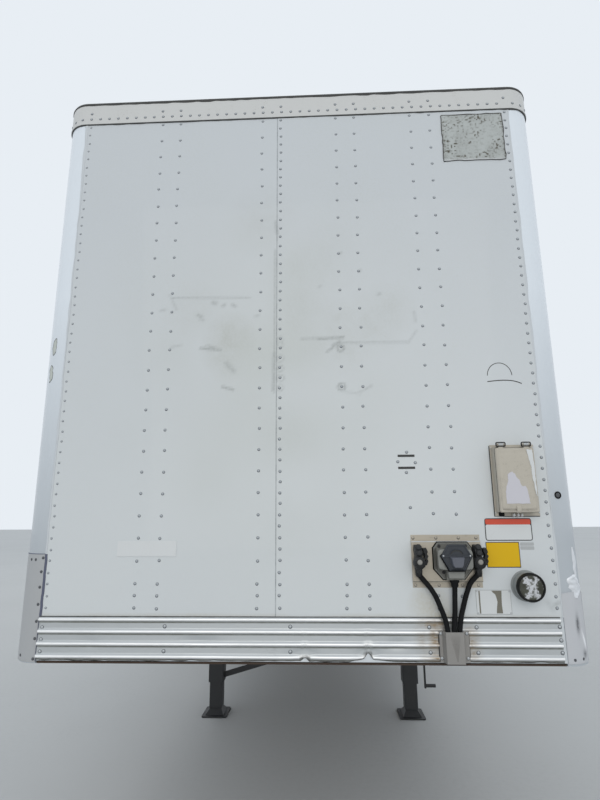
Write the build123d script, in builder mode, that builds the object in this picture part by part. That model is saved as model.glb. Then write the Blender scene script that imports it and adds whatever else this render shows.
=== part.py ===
from build123d import *
from math import atan2, degrees
import os

# Dry van semi trailer, 53 ft long, 102 in wide and 13 ft 6 in high, on a sliding tandem.
# Millimetres. +X is the driver's side, -Y the nose, +Z up; the origin is on the ground
# under the middle of the whole length. The nose wall is the side that couples to a tractor.

# Body
BODY_LENGTH = 16154.0
BODY_WIDTH = 2591.0
HALF_WIDTH = BODY_WIDTH / 2
NOSE_REACH = 120.0
REAR_REACH = 70.0
FRONT_Y = -(BODY_LENGTH + REAR_REACH - NOSE_REACH) / 2
REAR_Y = FRONT_Y + BODY_LENGTH
SKIN_X = HALF_WIDTH - 7.5
RAIL_X = HALF_WIDTH - 3.5
CORNER_R = 125.0
WALL_T = 38.0
FRONT_WALL_T = 55.0
LINING_X = SKIN_X - WALL_T
CORNER_X = SKIN_X - CORNER_R
POST_FLANGE = 6.0
FRONT_HALF = CORNER_X - POST_FLANGE
SIDE_FRONT_Y = FRONT_Y + CORNER_R + 25.0
RAIL_PROUD = RAIL_X - SKIN_X

# Heights
ROOF_TOP = 4112.0
RAIL_TOP = 4097.0
RAIL_BOTTOM = 3974.0
WEAR_TOP = 1398.0
WEAR_BOTTOM = 1215.0
COUPLER_Z = 1203.0
CROSS_HEIGHT = 102.0
FLOOR_T = 35.0
FLOOR_BOTTOM = COUPLER_Z + CROSS_HEIGHT
FLOOR_TOP = FLOOR_BOTTOM + FLOOR_T
SIDE_RAIL_TOP = 1400.0
SIDE_RAIL_BOTTOM = 1195.0

# Rear frame and doors
REAR_FRAME_T = 95.0
FRAME_FRONT_Y = REAR_Y - REAR_FRAME_T
POST_INNER_X = HALF_WIDTH - 70.0
HEADER_BOTTOM = 3985.0
DOOR_GAP = 6.0
DOOR_T = 40.0
DOOR_BOTTOM = FLOOR_TOP + 8.0
DOOR_TOP = HEADER_BOTTOM - DOOR_GAP
PIN_X = SKIN_X - 2.0
PIN_BACK = 56.0
PIN_Y = REAR_Y + PIN_BACK
PIN_R = 6.0
PIN_PLAY = 0.3
KNUCKLE_R = 9.5
HINGE_ZS = [1480.0, 2080.0, 2680.0, 3280.0, 3850.0]
STRAP_H = 56.0
LUG_H = 22.0
LUG_GAP = 2.0

# Lock rods
ROD_X = 330.0
ROD_Y = REAR_Y + 25.0
ROD_R = 13.5
CAM_WIDTH = 56.0
CAM_DEPTH = 32.0
CAM_HEIGHT = 32.0
CAM_R = 6.0
LOWER_CAM_Z = 1294.0
UPPER_CAM_Z = DOOR_TOP + 14.0
KEEPER_T = 12.0
KEEPER_GAP = 8.0
KEEPER_BELOW = 4.0
KEEPER_HEIGHT = 38.0
KEEPER_OFFSET = CAM_WIDTH / 2 + KEEPER_GAP + KEEPER_T / 2
KEEPER_XS = [s * ROD_X + t * KEEPER_OFFSET for s in (-1, 1) for t in (-1, 1)]

# Coupler and kingpin
COUPLER_LENGTH = 1450.0
COUPLER_T = 8.0
KINGPIN_Y = FRONT_Y + 914.0
NECK_R = 25.4
UPPER_COLLAR_R = 36.5
LOWER_COLLAR_R = 35.7
COLLAR_TOP_H = 35.0
NECK_H = 35.6
LOWER_COLLAR_H = 12.7
PIN_HOLE_R = 42.0
PIN_FLANGE_R = 90.0
PIN_FLANGE_T = 14.0

# Landing gear
LEG_X = 919.0
LEG_Y = FRONT_Y + 2959.0
LEG_OUTER = 142.0
LEG_INNER = 120.0
LEG_WALL_BOTTOM = 285.0
FOOT_WIDTH = 232.0
FOOT_LENGTH = 263.0

# Running gear
AXLE_Z = 508.0
TANDEM_SPACING = 1245.0
REAR_AXLE_Y = FRONT_Y + 13100.0
AXLE_YS = {"front": REAR_AXLE_Y - TANDEM_SPACING, "rear": REAR_AXLE_Y}
DUAL_X = 984.0
DUAL_HALF = 165.0
TYRE_R = 508.0
TYRE_HALF = 139.5
BEAD_R = 286.0
BEAD_HALF = 104.0
SLIDE_FORWARD = 304.8
SLIDE_BACK = 1828.8
HOLE_PITCH = 152.4
BOGIE_FRONT_Y = AXLE_YS["front"] - 900.0
BOGIE_REAR_Y = AXLE_YS["rear"] + 550.0
BOGIE_LENGTH = BOGIE_REAR_Y - BOGIE_FRONT_Y
BOGIE_MID_Y = (BOGIE_FRONT_Y + BOGIE_REAR_Y) / 2
SLIDE_RAIL_WEB_X = 552.0
SLIDE_RAIL_BOTTOM = 1080.0
LOCK_HOLE_Z = 1135.0
LOCK_HOLE_R = 22.0
BOGIE_RAIL_INNER_X = 452.0
BOGIE_RAIL_OUTER_X = 540.0
BOGIE_RAIL_TOP = 1187.0
BOGIE_RAIL_BOTTOM = 1062.0
ARM_X = (BOGIE_RAIL_INNER_X + BOGIE_RAIL_OUTER_X) / 2
ARM_PIVOT_BEFORE = 560.0
AIR_SPRING_AFTER = 330.0

SIDES = {"left": -1, "right": 1}

os.makedirs("parts", exist_ok=True)


def wheel_plane(axle_y):
    """Upright plane through an axle: local x runs across the trailer and local y is the radius."""
    return Plane(origin=(0, axle_y, AXLE_Z), x_dir=(1, 0, 0), z_dir=(0, -1, 0))


def nose_band(proud, depth, length):
    """Flat U that follows the nose and both rounded corners, open towards the rear."""
    outer_half = SKIN_X + proud
    middle_y = FRONT_Y - proud + length / 2
    with Locations((0, middle_y)):
        band = Rectangle(2 * outer_half, length)
    fillet(band.vertices().group_by(Axis.Y)[0], CORNER_R + proud)
    with BuildSketch(mode=Mode.PRIVATE) as inside:
        with Locations((0, middle_y + depth)):
            hollow = Rectangle(2 * (outer_half - depth), length)
        fillet(hollow.vertices().group_by(Axis.Y)[0], CORNER_R + proud - depth)
    add(inside.sketch, mode=Mode.SUBTRACT)


def keeper_cheeks():
    """Two cheeks beside each lock rod's cam, on the rear face of the frame."""
    with Locations(*[(x, REAR_Y + CAM_DEPTH / 2) for x in KEEPER_XS]):
        Rectangle(KEEPER_T, CAM_DEPTH)


def bar(start, end, width):
    """Flat bar between two points of a sketch."""
    run = Vector(*end) - Vector(*start)
    with Locations((Vector(*start) + Vector(*end)) / 2):
        Rectangle(run.length, width, rotation=degrees(atan2(run.Y, run.X)))


# Front wall
with BuildPart() as front_wall:
    with BuildSketch(Plane.XY.offset(WEAR_BOTTOM)):
        with Locations((0, FRONT_Y + FRONT_WALL_T / 2)):
            Rectangle(2 * FRONT_HALF, FRONT_WALL_T)
    extrude(amount=RAIL_BOTTOM - WEAR_BOTTOM)
front_wall.part.label = "front_wall"
export_step(front_wall.part, "parts/front_wall.step")

# Rounded corner posts
with BuildPart() as corner_posts:
    with BuildSketch(Plane.XY.offset(COUPLER_Z)):
        with BuildLine():
            l1 = Line((FRONT_HALF, FRONT_Y), (CORNER_X, FRONT_Y))
            l2 = RadiusArc(l1 @ 1, (SKIN_X, FRONT_Y + CORNER_R), -CORNER_R)
            l3 = Line(l2 @ 1, (SKIN_X, SIDE_FRONT_Y))
            l4 = Line(l3 @ 1, (LINING_X, SIDE_FRONT_Y))
            l5 = Line(l4 @ 1, (LINING_X, FRONT_Y + CORNER_R))
            l6 = Line(l5 @ 1, (FRONT_HALF, FRONT_Y + FRONT_WALL_T))
            Line(l6 @ 1, l1 @ 0)
        make_face()
    extrude(amount=RAIL_BOTTOM - COUPLER_Z)
    mirror(about=Plane.YZ)
corner_posts.part.label = "corner_posts"
export_step(corner_posts.part, "parts/corner_posts.step")

# Front top rail, wrapped round both corners, with a drip lip along its lower edge
FRONT_RAIL_LENGTH = 300.0
DRIP_PROUD = HALF_WIDTH - SKIN_X
DRIP_HEIGHT = 9.0
DRIP_SUNK = 2.0
with BuildPart() as front_top_rail:
    with BuildSketch(Plane.XY.offset(RAIL_BOTTOM)):
        nose_band(RAIL_PROUD, FRONT_WALL_T + RAIL_PROUD, FRONT_RAIL_LENGTH)
    extrude(amount=RAIL_TOP - RAIL_BOTTOM)
    with BuildSketch(Plane.XY.offset(RAIL_BOTTOM)):
        nose_band(DRIP_PROUD, DRIP_PROUD + DRIP_SUNK, FRONT_RAIL_LENGTH)
    extrude(amount=DRIP_HEIGHT)
front_top_rail.part.label = "front_top_rail"
export_step(front_top_rail.part, "parts/front_top_rail.step")

# Ribbed lower panel: a base sheet with four rounded ridges
RIDGE_ZS = [1387.0, 1337.0, 1286.0, 1234.0]
RIDGE_HALF = 11.0
RIDGE_PROUD = 7.0
PANEL_T = 4.0
PANEL_Z = (WEAR_TOP + WEAR_BOTTOM) / 2
with BuildPart() as ribbed_panel:
    with BuildSketch(Plane.YZ):
        with Locations((FRONT_Y - PANEL_T / 2, PANEL_Z)):
            Rectangle(PANEL_T, WEAR_TOP - WEAR_BOTTOM)
        with Locations(*[(FRONT_Y - PANEL_T, z) for z in RIDGE_ZS]):
            Ellipse(RIDGE_PROUD, RIDGE_HALF)
        with Locations((FRONT_Y + RIDGE_PROUD / 2, PANEL_Z)):
            Rectangle(RIDGE_PROUD, WEAR_TOP - WEAR_BOTTOM, mode=Mode.SUBTRACT)
    extrude(amount=FRONT_HALF, both=True)
ribbed_panel.part.label = "ribbed_panel"
export_step(ribbed_panel.part, "parts/ribbed_panel.step")

# Left corner guard, a plate bent round the post
GUARD_TOP = 1668.0
GUARD_BOTTOM = 1208.0
GUARD_T = 3.0
GUARD_END_X = -(FRONT_HALF + 1.0)
with BuildPart() as corner_guard:
    with BuildSketch(Plane.XY.offset(GUARD_BOTTOM)):
        with BuildLine():
            g1 = Line((GUARD_END_X, FRONT_Y), (-CORNER_X, FRONT_Y))
            g2 = RadiusArc(g1 @ 1, (-SKIN_X, FRONT_Y + CORNER_R), CORNER_R)
            g3 = Line(g2 @ 1, (-SKIN_X - GUARD_T, FRONT_Y + CORNER_R))
            g4 = RadiusArc(g3 @ 1, (-CORNER_X, FRONT_Y - GUARD_T), -(CORNER_R + GUARD_T))
            g5 = Line(g4 @ 1, (GUARD_END_X, FRONT_Y - GUARD_T))
            Line(g5 @ 1, g1 @ 0)
        make_face()
    extrude(amount=GUARD_TOP - GUARD_BOTTOM)
corner_guard.part.label = "corner_guard"
export_step(corner_guard.part, "parts/corner_guard.step")

# Side walls
with BuildPart() as side_walls:
    with BuildSketch(Plane.XY.offset(SIDE_RAIL_TOP)):
        with Locations(((SKIN_X + LINING_X) / 2, (SIDE_FRONT_Y + FRAME_FRONT_Y) / 2)):
            Rectangle(WALL_T, FRAME_FRONT_Y - SIDE_FRONT_Y)
    extrude(amount=RAIL_BOTTOM - SIDE_RAIL_TOP)
    mirror(about=Plane.YZ)
side_walls.part.label = "side_walls"
export_step(side_walls.part, "parts/side_walls.step")

# Side top rails
with BuildPart() as top_rails:
    rail_front_y = FRONT_Y - RAIL_PROUD + FRONT_RAIL_LENGTH
    with BuildSketch(Plane.XY.offset(RAIL_BOTTOM)):
        with Locations(((RAIL_X + LINING_X) / 2, (rail_front_y + FRAME_FRONT_Y) / 2)):
            Rectangle(RAIL_X - LINING_X, FRAME_FRONT_Y - rail_front_y)
    extrude(amount=RAIL_TOP - RAIL_BOTTOM)
    mirror(about=Plane.YZ)
top_rails.part.label = "top_rails"
export_step(top_rails.part, "parts/top_rails.step")

# Side bottom rails: a thick upper part that carries the wall, and a skirt over the beam ends
SKIRT_T = 8.0
GROOVE_ZS = [1232.0, 1300.0, 1368.0]
GROOVE_DEPTH = 2.0
GROOVE_HEIGHT = 8.0
with BuildPart() as bottom_rails:
    with BuildSketch(Plane.XZ.offset(-SIDE_FRONT_Y)):
        with BuildLine():
            Polyline(
                (RAIL_X, SIDE_RAIL_BOTTOM),
                (RAIL_X, SIDE_RAIL_TOP),
                (LINING_X, SIDE_RAIL_TOP),
                (LINING_X, FLOOR_TOP),
                (RAIL_X - SKIRT_T, FLOOR_TOP),
                (RAIL_X - SKIRT_T, SIDE_RAIL_BOTTOM),
                close=True,
            )
        make_face()
        with Locations(*[(RAIL_X, z) for z in GROOVE_ZS]):
            Rectangle(2 * GROOVE_DEPTH, GROOVE_HEIGHT, mode=Mode.SUBTRACT)
    extrude(amount=-(FRAME_FRONT_Y - SIDE_FRONT_Y))
    mirror(about=Plane.YZ)
bottom_rails.part.label = "bottom_rails"
export_step(bottom_rails.part, "parts/bottom_rails.step")

# Roof sheet, its dark edge seal and the bows under it
SEAL_WIDTH = 22.0
SEAL_INSET = 1.0
SHEET_T = 4.0
SEAL_PROUD = RAIL_PROUD - SEAL_INSET
with BuildPart() as roof_seal:
    with BuildSketch(Plane.XY.offset(RAIL_TOP)):
        nose_band(SEAL_PROUD, SEAL_WIDTH, FRAME_FRONT_Y - FRONT_Y + SEAL_PROUD)
    extrude(amount=ROOF_TOP - RAIL_TOP)
roof_seal.part.label = "roof_seal"
export_step(roof_seal.part, "parts/roof_seal.step")

SHEET_X = SKIN_X + SEAL_PROUD - SEAL_WIDTH
SHEET_FRONT_Y = FRONT_Y - SEAL_PROUD + SEAL_WIDTH
BOW_FIRST_Y = FRONT_Y + 500.0
BOW_PITCH = 609.6
BOW_COUNT = 25
BOW_YS = [BOW_FIRST_Y + BOW_PITCH * n for n in range(BOW_COUNT)]
BOW_HEIGHT = 30.0
BOW_Z = RAIL_TOP - BOW_HEIGHT / 2
BOW_WIDTH = 70.0
BOW_CROWN = 40.0
BOW_FLANGE_T = 4.0
with BuildPart() as roof:
    with BuildSketch(Plane.XY.offset(RAIL_TOP)):
        with Locations((0, (SHEET_FRONT_Y + FRAME_FRONT_Y) / 2)):
            sheet_outline = Rectangle(2 * SHEET_X, FRAME_FRONT_Y - SHEET_FRONT_Y)
        fillet(sheet_outline.vertices().group_by(Axis.Y)[0], CORNER_R + SEAL_PROUD - SEAL_WIDTH)
    extrude(amount=SHEET_T)
    with BuildSketch(Plane.YZ):
        with Locations(*[(y, BOW_Z) for y in BOW_YS]):
            Rectangle(BOW_WIDTH, BOW_HEIGHT)
        with Locations(*[(y + s * BOW_WIDTH / 2, BOW_Z - BOW_FLANGE_T) for y in BOW_YS for s in (-1, 1)]):
            Rectangle(BOW_WIDTH - BOW_CROWN, BOW_HEIGHT, mode=Mode.SUBTRACT)
    extrude(amount=LINING_X, both=True)
roof.part.label = "roof"
export_step(roof.part, "parts/roof.step")

# Floor, notched round the corner posts
FLOOR_FRONT_Y = FRONT_Y + FRONT_WALL_T
NOTCH_LENGTH = SIDE_FRONT_Y - FRONT_Y + 5.0
with BuildPart() as floor_deck:
    with BuildSketch(Plane.XY.offset(FLOOR_BOTTOM)):
        with Locations((0, (FLOOR_FRONT_Y + FRAME_FRONT_Y) / 2)):
            Rectangle(2 * LINING_X, FRAME_FRONT_Y - FLOOR_FRONT_Y)
        with Locations(*[(s * LINING_X, FRONT_Y + NOTCH_LENGTH / 2) for s in (-1, 1)]):
            Rectangle(2 * (LINING_X - FRONT_HALF), NOTCH_LENGTH, mode=Mode.SUBTRACT)
    extrude(amount=FLOOR_T)
floor_deck.part.label = "floor_deck"
export_step(floor_deck.part, "parts/floor_deck.step")

# Crossmembers: I beams between the bottom rails
CROSS_PITCH = 304.8
CROSS_FLANGE = 57.0
CROSS_WEB = 5.0
CROSS_FLANGE_T = 6.0
CROSS_FIRST_Y = FRONT_Y + COUPLER_LENGTH + 150.0
CROSS_LAST_Y = FRAME_FRONT_Y - 80.0
CROSS_COUNT = int((CROSS_LAST_Y - CROSS_FIRST_Y) / CROSS_PITCH) + 1
CROSS_YS = [CROSS_FIRST_Y + CROSS_PITCH * n for n in range(CROSS_COUNT)]
CROSS_MID_Z = COUPLER_Z + CROSS_HEIGHT / 2
POCKET = (CROSS_FLANGE - CROSS_WEB) / 2
POCKET_OFFSET = (CROSS_WEB + POCKET) / 2
with BuildPart() as crossmembers:
    with BuildSketch(Plane.YZ):
        with Locations(*[(y, CROSS_MID_Z) for y in CROSS_YS]):
            Rectangle(CROSS_FLANGE, CROSS_HEIGHT)
        with Locations(*[(y + s * POCKET_OFFSET, CROSS_MID_Z) for y in CROSS_YS for s in (-1, 1)]):
            Rectangle(POCKET, CROSS_HEIGHT - 2 * CROSS_FLANGE_T, mode=Mode.SUBTRACT)
    extrude(amount=RAIL_X - SKIRT_T, both=True)
crossmembers.part.label = "crossmembers"
export_step(crossmembers.part, "parts/crossmembers.step")

# Coupler: the plate that rides on the tractor, with channels up to the floor round its edge
COUPLER_X = FRONT_HALF - 4.0
COUPLER_FRONT_Y = FRONT_Y + 4.0
CHANNEL_T = 8.0
with BuildPart() as coupler_plate:
    with BuildSketch(Plane.XY.offset(COUPLER_Z)):
        with Locations((0, COUPLER_FRONT_Y + COUPLER_LENGTH / 2)):
            Rectangle(2 * COUPLER_X, COUPLER_LENGTH)
        with Locations((0, KINGPIN_Y)):
            Circle(PIN_HOLE_R, mode=Mode.SUBTRACT)
    extrude(amount=COUPLER_T)
    with BuildSketch(Plane.XY.offset(COUPLER_Z + COUPLER_T)):
        with Locations((0, COUPLER_FRONT_Y + (COUPLER_LENGTH + FRONT_WALL_T) / 2)):
            Rectangle(2 * COUPLER_X, COUPLER_LENGTH - FRONT_WALL_T)
            Rectangle(
                2 * (COUPLER_X - CHANNEL_T),
                COUPLER_LENGTH - FRONT_WALL_T - 2 * CHANNEL_T,
                mode=Mode.SUBTRACT,
            )
    extrude(amount=CROSS_HEIGHT - COUPLER_T)
coupler_plate.part.label = "coupler_plate"
export_step(coupler_plate.part, "parts/coupler_plate.step")

# Kingpin: its flange lies on the coupler plate and the pin hangs through the plate's hole
with BuildPart() as kingpin:
    with BuildSketch(Plane(origin=(0, KINGPIN_Y, COUPLER_Z), x_dir=(1, 0, 0), z_dir=(0, -1, 0))):
        with BuildLine():
            Polyline(
                (0, COUPLER_T + PIN_FLANGE_T),
                (PIN_FLANGE_R, COUPLER_T + PIN_FLANGE_T),
                (PIN_FLANGE_R, COUPLER_T),
                (UPPER_COLLAR_R, COUPLER_T),
                (UPPER_COLLAR_R, -COLLAR_TOP_H),
                (NECK_R, -COLLAR_TOP_H),
                (NECK_R, -COLLAR_TOP_H - NECK_H),
                (LOWER_COLLAR_R, -COLLAR_TOP_H - NECK_H),
                (LOWER_COLLAR_R, -COLLAR_TOP_H - NECK_H - LOWER_COLLAR_H),
                (0, -COLLAR_TOP_H - NECK_H - LOWER_COLLAR_H),
                close=True,
            )
        make_face()
    revolve(axis=Axis((0, KINGPIN_Y, COUPLER_Z), (0, 0, 1)))
kingpin.part.label = "kingpin"
export_step(kingpin.part, "parts/kingpin.step")

# Rear frame
STOP_DEPTH = REAR_FRAME_T - DOOR_T - DOOR_GAP
STOP_WIDTH = 14.0
LUG_ROOT = 42.0
with BuildPart() as rear_posts:
    with BuildSketch(Plane.XY.offset(SIDE_RAIL_BOTTOM)):
        with BuildLine():
            Polyline(
                (POST_INNER_X, REAR_Y),
                (HALF_WIDTH, REAR_Y),
                (HALF_WIDTH, FRAME_FRONT_Y),
                (POST_INNER_X - STOP_WIDTH, FRAME_FRONT_Y),
                (POST_INNER_X - STOP_WIDTH, FRAME_FRONT_Y + STOP_DEPTH),
                (POST_INNER_X, FRAME_FRONT_Y + STOP_DEPTH),
                close=True,
            )
        make_face()
    extrude(amount=ROOF_TOP - SIDE_RAIL_BOTTOM)
    for hinge_z in HINGE_ZS:
        for lug_z in (hinge_z + STRAP_H / 2 + LUG_GAP, hinge_z - STRAP_H / 2 - LUG_GAP - LUG_H):
            with BuildSketch(Plane.XY.offset(lug_z)):
                with BuildLine():
                    Polyline(
                        (PIN_X - LUG_ROOT, REAR_Y),
                        (HALF_WIDTH, REAR_Y),
                        (PIN_X + KNUCKLE_R, PIN_Y),
                        (PIN_X, PIN_Y + KNUCKLE_R),
                        (PIN_X - KNUCKLE_R, PIN_Y),
                        close=True,
                    )
                make_face()
            extrude(amount=LUG_H)
        with BuildSketch(Plane.XY.offset(hinge_z - STRAP_H / 2 - LUG_GAP - LUG_H)):
            with Locations((PIN_X, PIN_Y)):
                Circle(PIN_R)
        extrude(amount=STRAP_H + 2 * LUG_GAP + 2 * LUG_H)
    mirror(about=Plane.YZ)
rear_posts.part.label = "rear_posts"
export_step(rear_posts.part, "parts/rear_posts.step")

with BuildPart() as rear_header:
    with BuildSketch(Plane.XY.offset(HEADER_BOTTOM)):
        with Locations((0, REAR_Y - REAR_FRAME_T / 2)):
            Rectangle(2 * POST_INNER_X, REAR_FRAME_T)
        with Locations(*[(s * POST_INNER_X, FRAME_FRONT_Y) for s in (-1, 1)]):
            Rectangle(2 * STOP_WIDTH, 2 * STOP_DEPTH, mode=Mode.SUBTRACT)
    extrude(amount=ROOF_TOP - HEADER_BOTTOM)
    with BuildSketch(Plane.XY.offset(UPPER_CAM_Z - KEEPER_BELOW)):
        keeper_cheeks()
    extrude(amount=KEEPER_HEIGHT)
rear_header.part.label = "rear_header"
export_step(rear_header.part, "parts/rear_header.step")

# Rear sill with the lamp pockets, the lower keepers and the dock bumpers
LAMP_R = 55.0
LAMP_Z = 1262.0
LAMP_XS = [820.0, 960.0]
LAMP_DEPTH = 20.0
LAMP_PLAY = 4.0
LAMP_PROUD = 6.0
BUMPER_X = 1150.0
BUMPER_WIDTH = 110.0
BUMPER_TOP = FLOOR_TOP - 5.0
with BuildPart() as rear_sill:
    with BuildSketch(Plane.XY.offset(SIDE_RAIL_BOTTOM)):
        with Locations((0, REAR_Y - REAR_FRAME_T / 2)):
            Rectangle(2 * POST_INNER_X, REAR_FRAME_T)
        with Locations(*[(s * POST_INNER_X, FRAME_FRONT_Y) for s in (-1, 1)]):
            Rectangle(2 * STOP_WIDTH, 2 * STOP_DEPTH, mode=Mode.SUBTRACT)
    extrude(amount=FLOOR_TOP - SIDE_RAIL_BOTTOM)
    with BuildSketch(Plane.XZ.offset(-REAR_Y)):
        with Locations(*[(s * x, LAMP_Z) for s in (-1, 1) for x in LAMP_XS]):
            Circle(LAMP_R + LAMP_PLAY)
    extrude(amount=LAMP_DEPTH, mode=Mode.SUBTRACT)
    with BuildSketch(Plane.XY.offset(LOWER_CAM_Z - KEEPER_BELOW)):
        keeper_cheeks()
    extrude(amount=KEEPER_HEIGHT)
    with BuildSketch(Plane.XY.offset(SIDE_RAIL_BOTTOM)):
        with Locations(*[(s * BUMPER_X, REAR_Y + REAR_REACH / 2) for s in (-1, 1)]):
            Rectangle(BUMPER_WIDTH, REAR_REACH)
    extrude(amount=BUMPER_TOP - SIDE_RAIL_BOTTOM)
rear_sill.part.label = "rear_sill"
export_step(rear_sill.part, "parts/rear_sill.step")

# Tail lamps in the sill and clearance lamps on the header
CLEARANCE_XS = [-1150.0, -152.4, 0.0, 152.4, 1150.0]
CLEARANCE_Z = 4050.0
CLEARANCE_WIDTH = 96.0
CLEARANCE_HEIGHT = 30.0
CLEARANCE_PROUD = 18.0
with BuildPart() as tail_lamps:
    with BuildSketch(Plane.XZ.offset(-REAR_Y + LAMP_DEPTH)):
        with Locations(*[(s * x, LAMP_Z) for s in (-1, 1) for x in LAMP_XS]):
            Circle(LAMP_R)
    extrude(amount=-(LAMP_DEPTH + LAMP_PROUD))
    with BuildSketch(Plane.XZ.offset(-REAR_Y)):
        with Locations(*[(x, CLEARANCE_Z) for x in CLEARANCE_XS]):
            Rectangle(CLEARANCE_WIDTH, CLEARANCE_HEIGHT)
    extrude(amount=-CLEARANCE_PROUD)
tail_lamps.part.label = "tail_lamps"
export_step(tail_lamps.part, "parts/tail_lamps.step")

# Amber side marker lamps on the bottom rails
AMBER_YS = [FRONT_Y + 420.0, 0.0]
MARKER_Z = 1334.0
MARKER_WIDTH = 96.0
MARKER_HEIGHT = 40.0
with BuildPart() as marker_lamps:
    with BuildSketch(Plane.YZ.offset(RAIL_X)):
        with Locations(*[(y, MARKER_Z) for y in AMBER_YS]):
            Rectangle(MARKER_WIDTH, MARKER_HEIGHT)
    extrude(amount=HALF_WIDTH - RAIL_X)
    mirror(about=Plane.YZ)
marker_lamps.part.label = "marker_lamps"
export_step(marker_lamps.part, "parts/marker_lamps.step")

# Underride guard: a cross beam on two uprights with braces that run forwards
GUARD_BEAM = 100.0
GUARD_Z = 507.0
GUARD_BACK_Y = REAR_Y - 60.0
GUARD_REACH = 420.0
GUARD_BRACE_DROP = 330.0
GUARD_BRACE_END = 30.0
GUARD_HALF_LENGTH = 1219.0
GUARD_R = 8.0
UPRIGHT_X = 610.0
UPRIGHT_WIDTH = 80.0
UPRIGHT_REAR_Y = GUARD_BACK_Y - 10.0
UPRIGHT_FRONT_Y = GUARD_BACK_Y - GUARD_BEAM + 10.0
with BuildPart() as underride_guard:
    with BuildSketch(Plane.YZ):
        with Locations((GUARD_BACK_Y - GUARD_BEAM / 2, GUARD_Z)):
            RectangleRounded(GUARD_BEAM, GUARD_BEAM, GUARD_R)
    extrude(amount=GUARD_HALF_LENGTH, both=True)
    with BuildSketch(Plane.YZ.offset(UPRIGHT_X - UPRIGHT_WIDTH / 2)):
        with BuildLine():
            Polyline(
                (UPRIGHT_FRONT_Y, GUARD_Z),
                (UPRIGHT_REAR_Y, GUARD_Z),
                (UPRIGHT_REAR_Y, SIDE_RAIL_BOTTOM),
                (GUARD_BACK_Y - GUARD_REACH, SIDE_RAIL_BOTTOM),
                (GUARD_BACK_Y - GUARD_REACH, SIDE_RAIL_BOTTOM - GUARD_BRACE_END),
                (UPRIGHT_FRONT_Y, SIDE_RAIL_BOTTOM - GUARD_BRACE_DROP),
                close=True,
            )
        make_face()
    extrude(amount=UPRIGHT_WIDTH)
    mirror(about=Plane.YZ)
underride_guard.part.label = "underride_guard"
export_step(underride_guard.part, "parts/underride_guard.step")

# Landing gear: outer legs with a diagonal between them and a stay running back from each
LEG_R = 10.0
DIAGONAL_X = LEG_X - LEG_OUTER / 2 + 10.0
DIAGONAL_LOW_Z = 335.0
DIAGONAL_HIGH_Z = 820.0
DIAGONAL_WIDTH = 50.0
DIAGONAL_T = 8.0
STAY_WIDTH = 60.0
STAY_FOOT_Z = 440.0
STAY_DEPTH = 72.0
STAY_REACH = 1100.0
STAY_END = 100.0
LEG_PLATE_WIDTH = LEG_OUTER + 60.0
LEG_PLATE_LENGTH = 400.0
LEG_PLATE_T = 12.0
with BuildPart() as leg_housings:
    with BuildSketch(Plane.XY.offset(LEG_WALL_BOTTOM)):
        with Locations((LEG_X, LEG_Y)):
            RectangleRounded(LEG_OUTER, LEG_OUTER, LEG_R)
    extrude(amount=COUPLER_Z - LEG_WALL_BOTTOM)
    with BuildSketch(Plane.XY.offset(COUPLER_Z - LEG_PLATE_T)):
        with Locations((LEG_X, LEG_Y)):
            Rectangle(LEG_PLATE_WIDTH, LEG_PLATE_LENGTH)
    extrude(amount=LEG_PLATE_T)
    with BuildSketch(Plane.YZ.offset(LEG_X - STAY_WIDTH / 2)):
        with BuildLine():
            Polyline(
                (LEG_Y, STAY_FOOT_Z),
                (LEG_Y, STAY_FOOT_Z + STAY_DEPTH),
                (LEG_Y + STAY_REACH - STAY_END, COUPLER_Z),
                (LEG_Y + STAY_REACH, COUPLER_Z),
                close=True,
            )
        make_face()
    extrude(amount=STAY_WIDTH)
    mirror(about=Plane.YZ)
    with BuildSketch(Plane.XZ.offset(-LEG_Y)):
        bar((-DIAGONAL_X, DIAGONAL_LOW_Z), (DIAGONAL_X, DIAGONAL_HIGH_Z), DIAGONAL_WIDTH)
    extrude(amount=DIAGONAL_T)
leg_housings.part.label = "leg_housings"
export_step(leg_housings.part, "parts/leg_housings.step")

# Inner legs on flared feet
FOOT_TOP = 62.0
FOOT_PLATE_T = 12.0
FOOT_R = 20.0
FLARE_WIDTH = 170.0
FLARE_LENGTH = 190.0
FLARE_TOP = 104.0
LEG_INNER_R = 8.0
with BuildPart() as leg_feet:
    with BuildSketch(Plane.XY):
        with Locations((LEG_X, LEG_Y)):
            RectangleRounded(FOOT_WIDTH, FOOT_LENGTH, FOOT_R)
    extrude(amount=FOOT_PLATE_T)
    with BuildSketch(Plane.XY.offset(FOOT_PLATE_T)):
        with Locations((LEG_X, LEG_Y)):
            Rectangle(FLARE_WIDTH, FLARE_LENGTH)
    with BuildSketch(Plane.XY.offset(FOOT_TOP)):
        with Locations((LEG_X, LEG_Y)):
            Rectangle(FLARE_TOP, FLARE_TOP)
    loft()
    with BuildSketch(Plane.XY.offset(FOOT_TOP)):
        with Locations((LEG_X, LEG_Y)):
            RectangleRounded(LEG_INNER, LEG_INNER, LEG_INNER_R)
    extrude(amount=LEG_WALL_BOTTOM - FOOT_TOP)
    mirror(about=Plane.YZ)
leg_feet.part.label = "leg_feet"
export_step(leg_feet.part, "parts/leg_feet.step")

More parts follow.
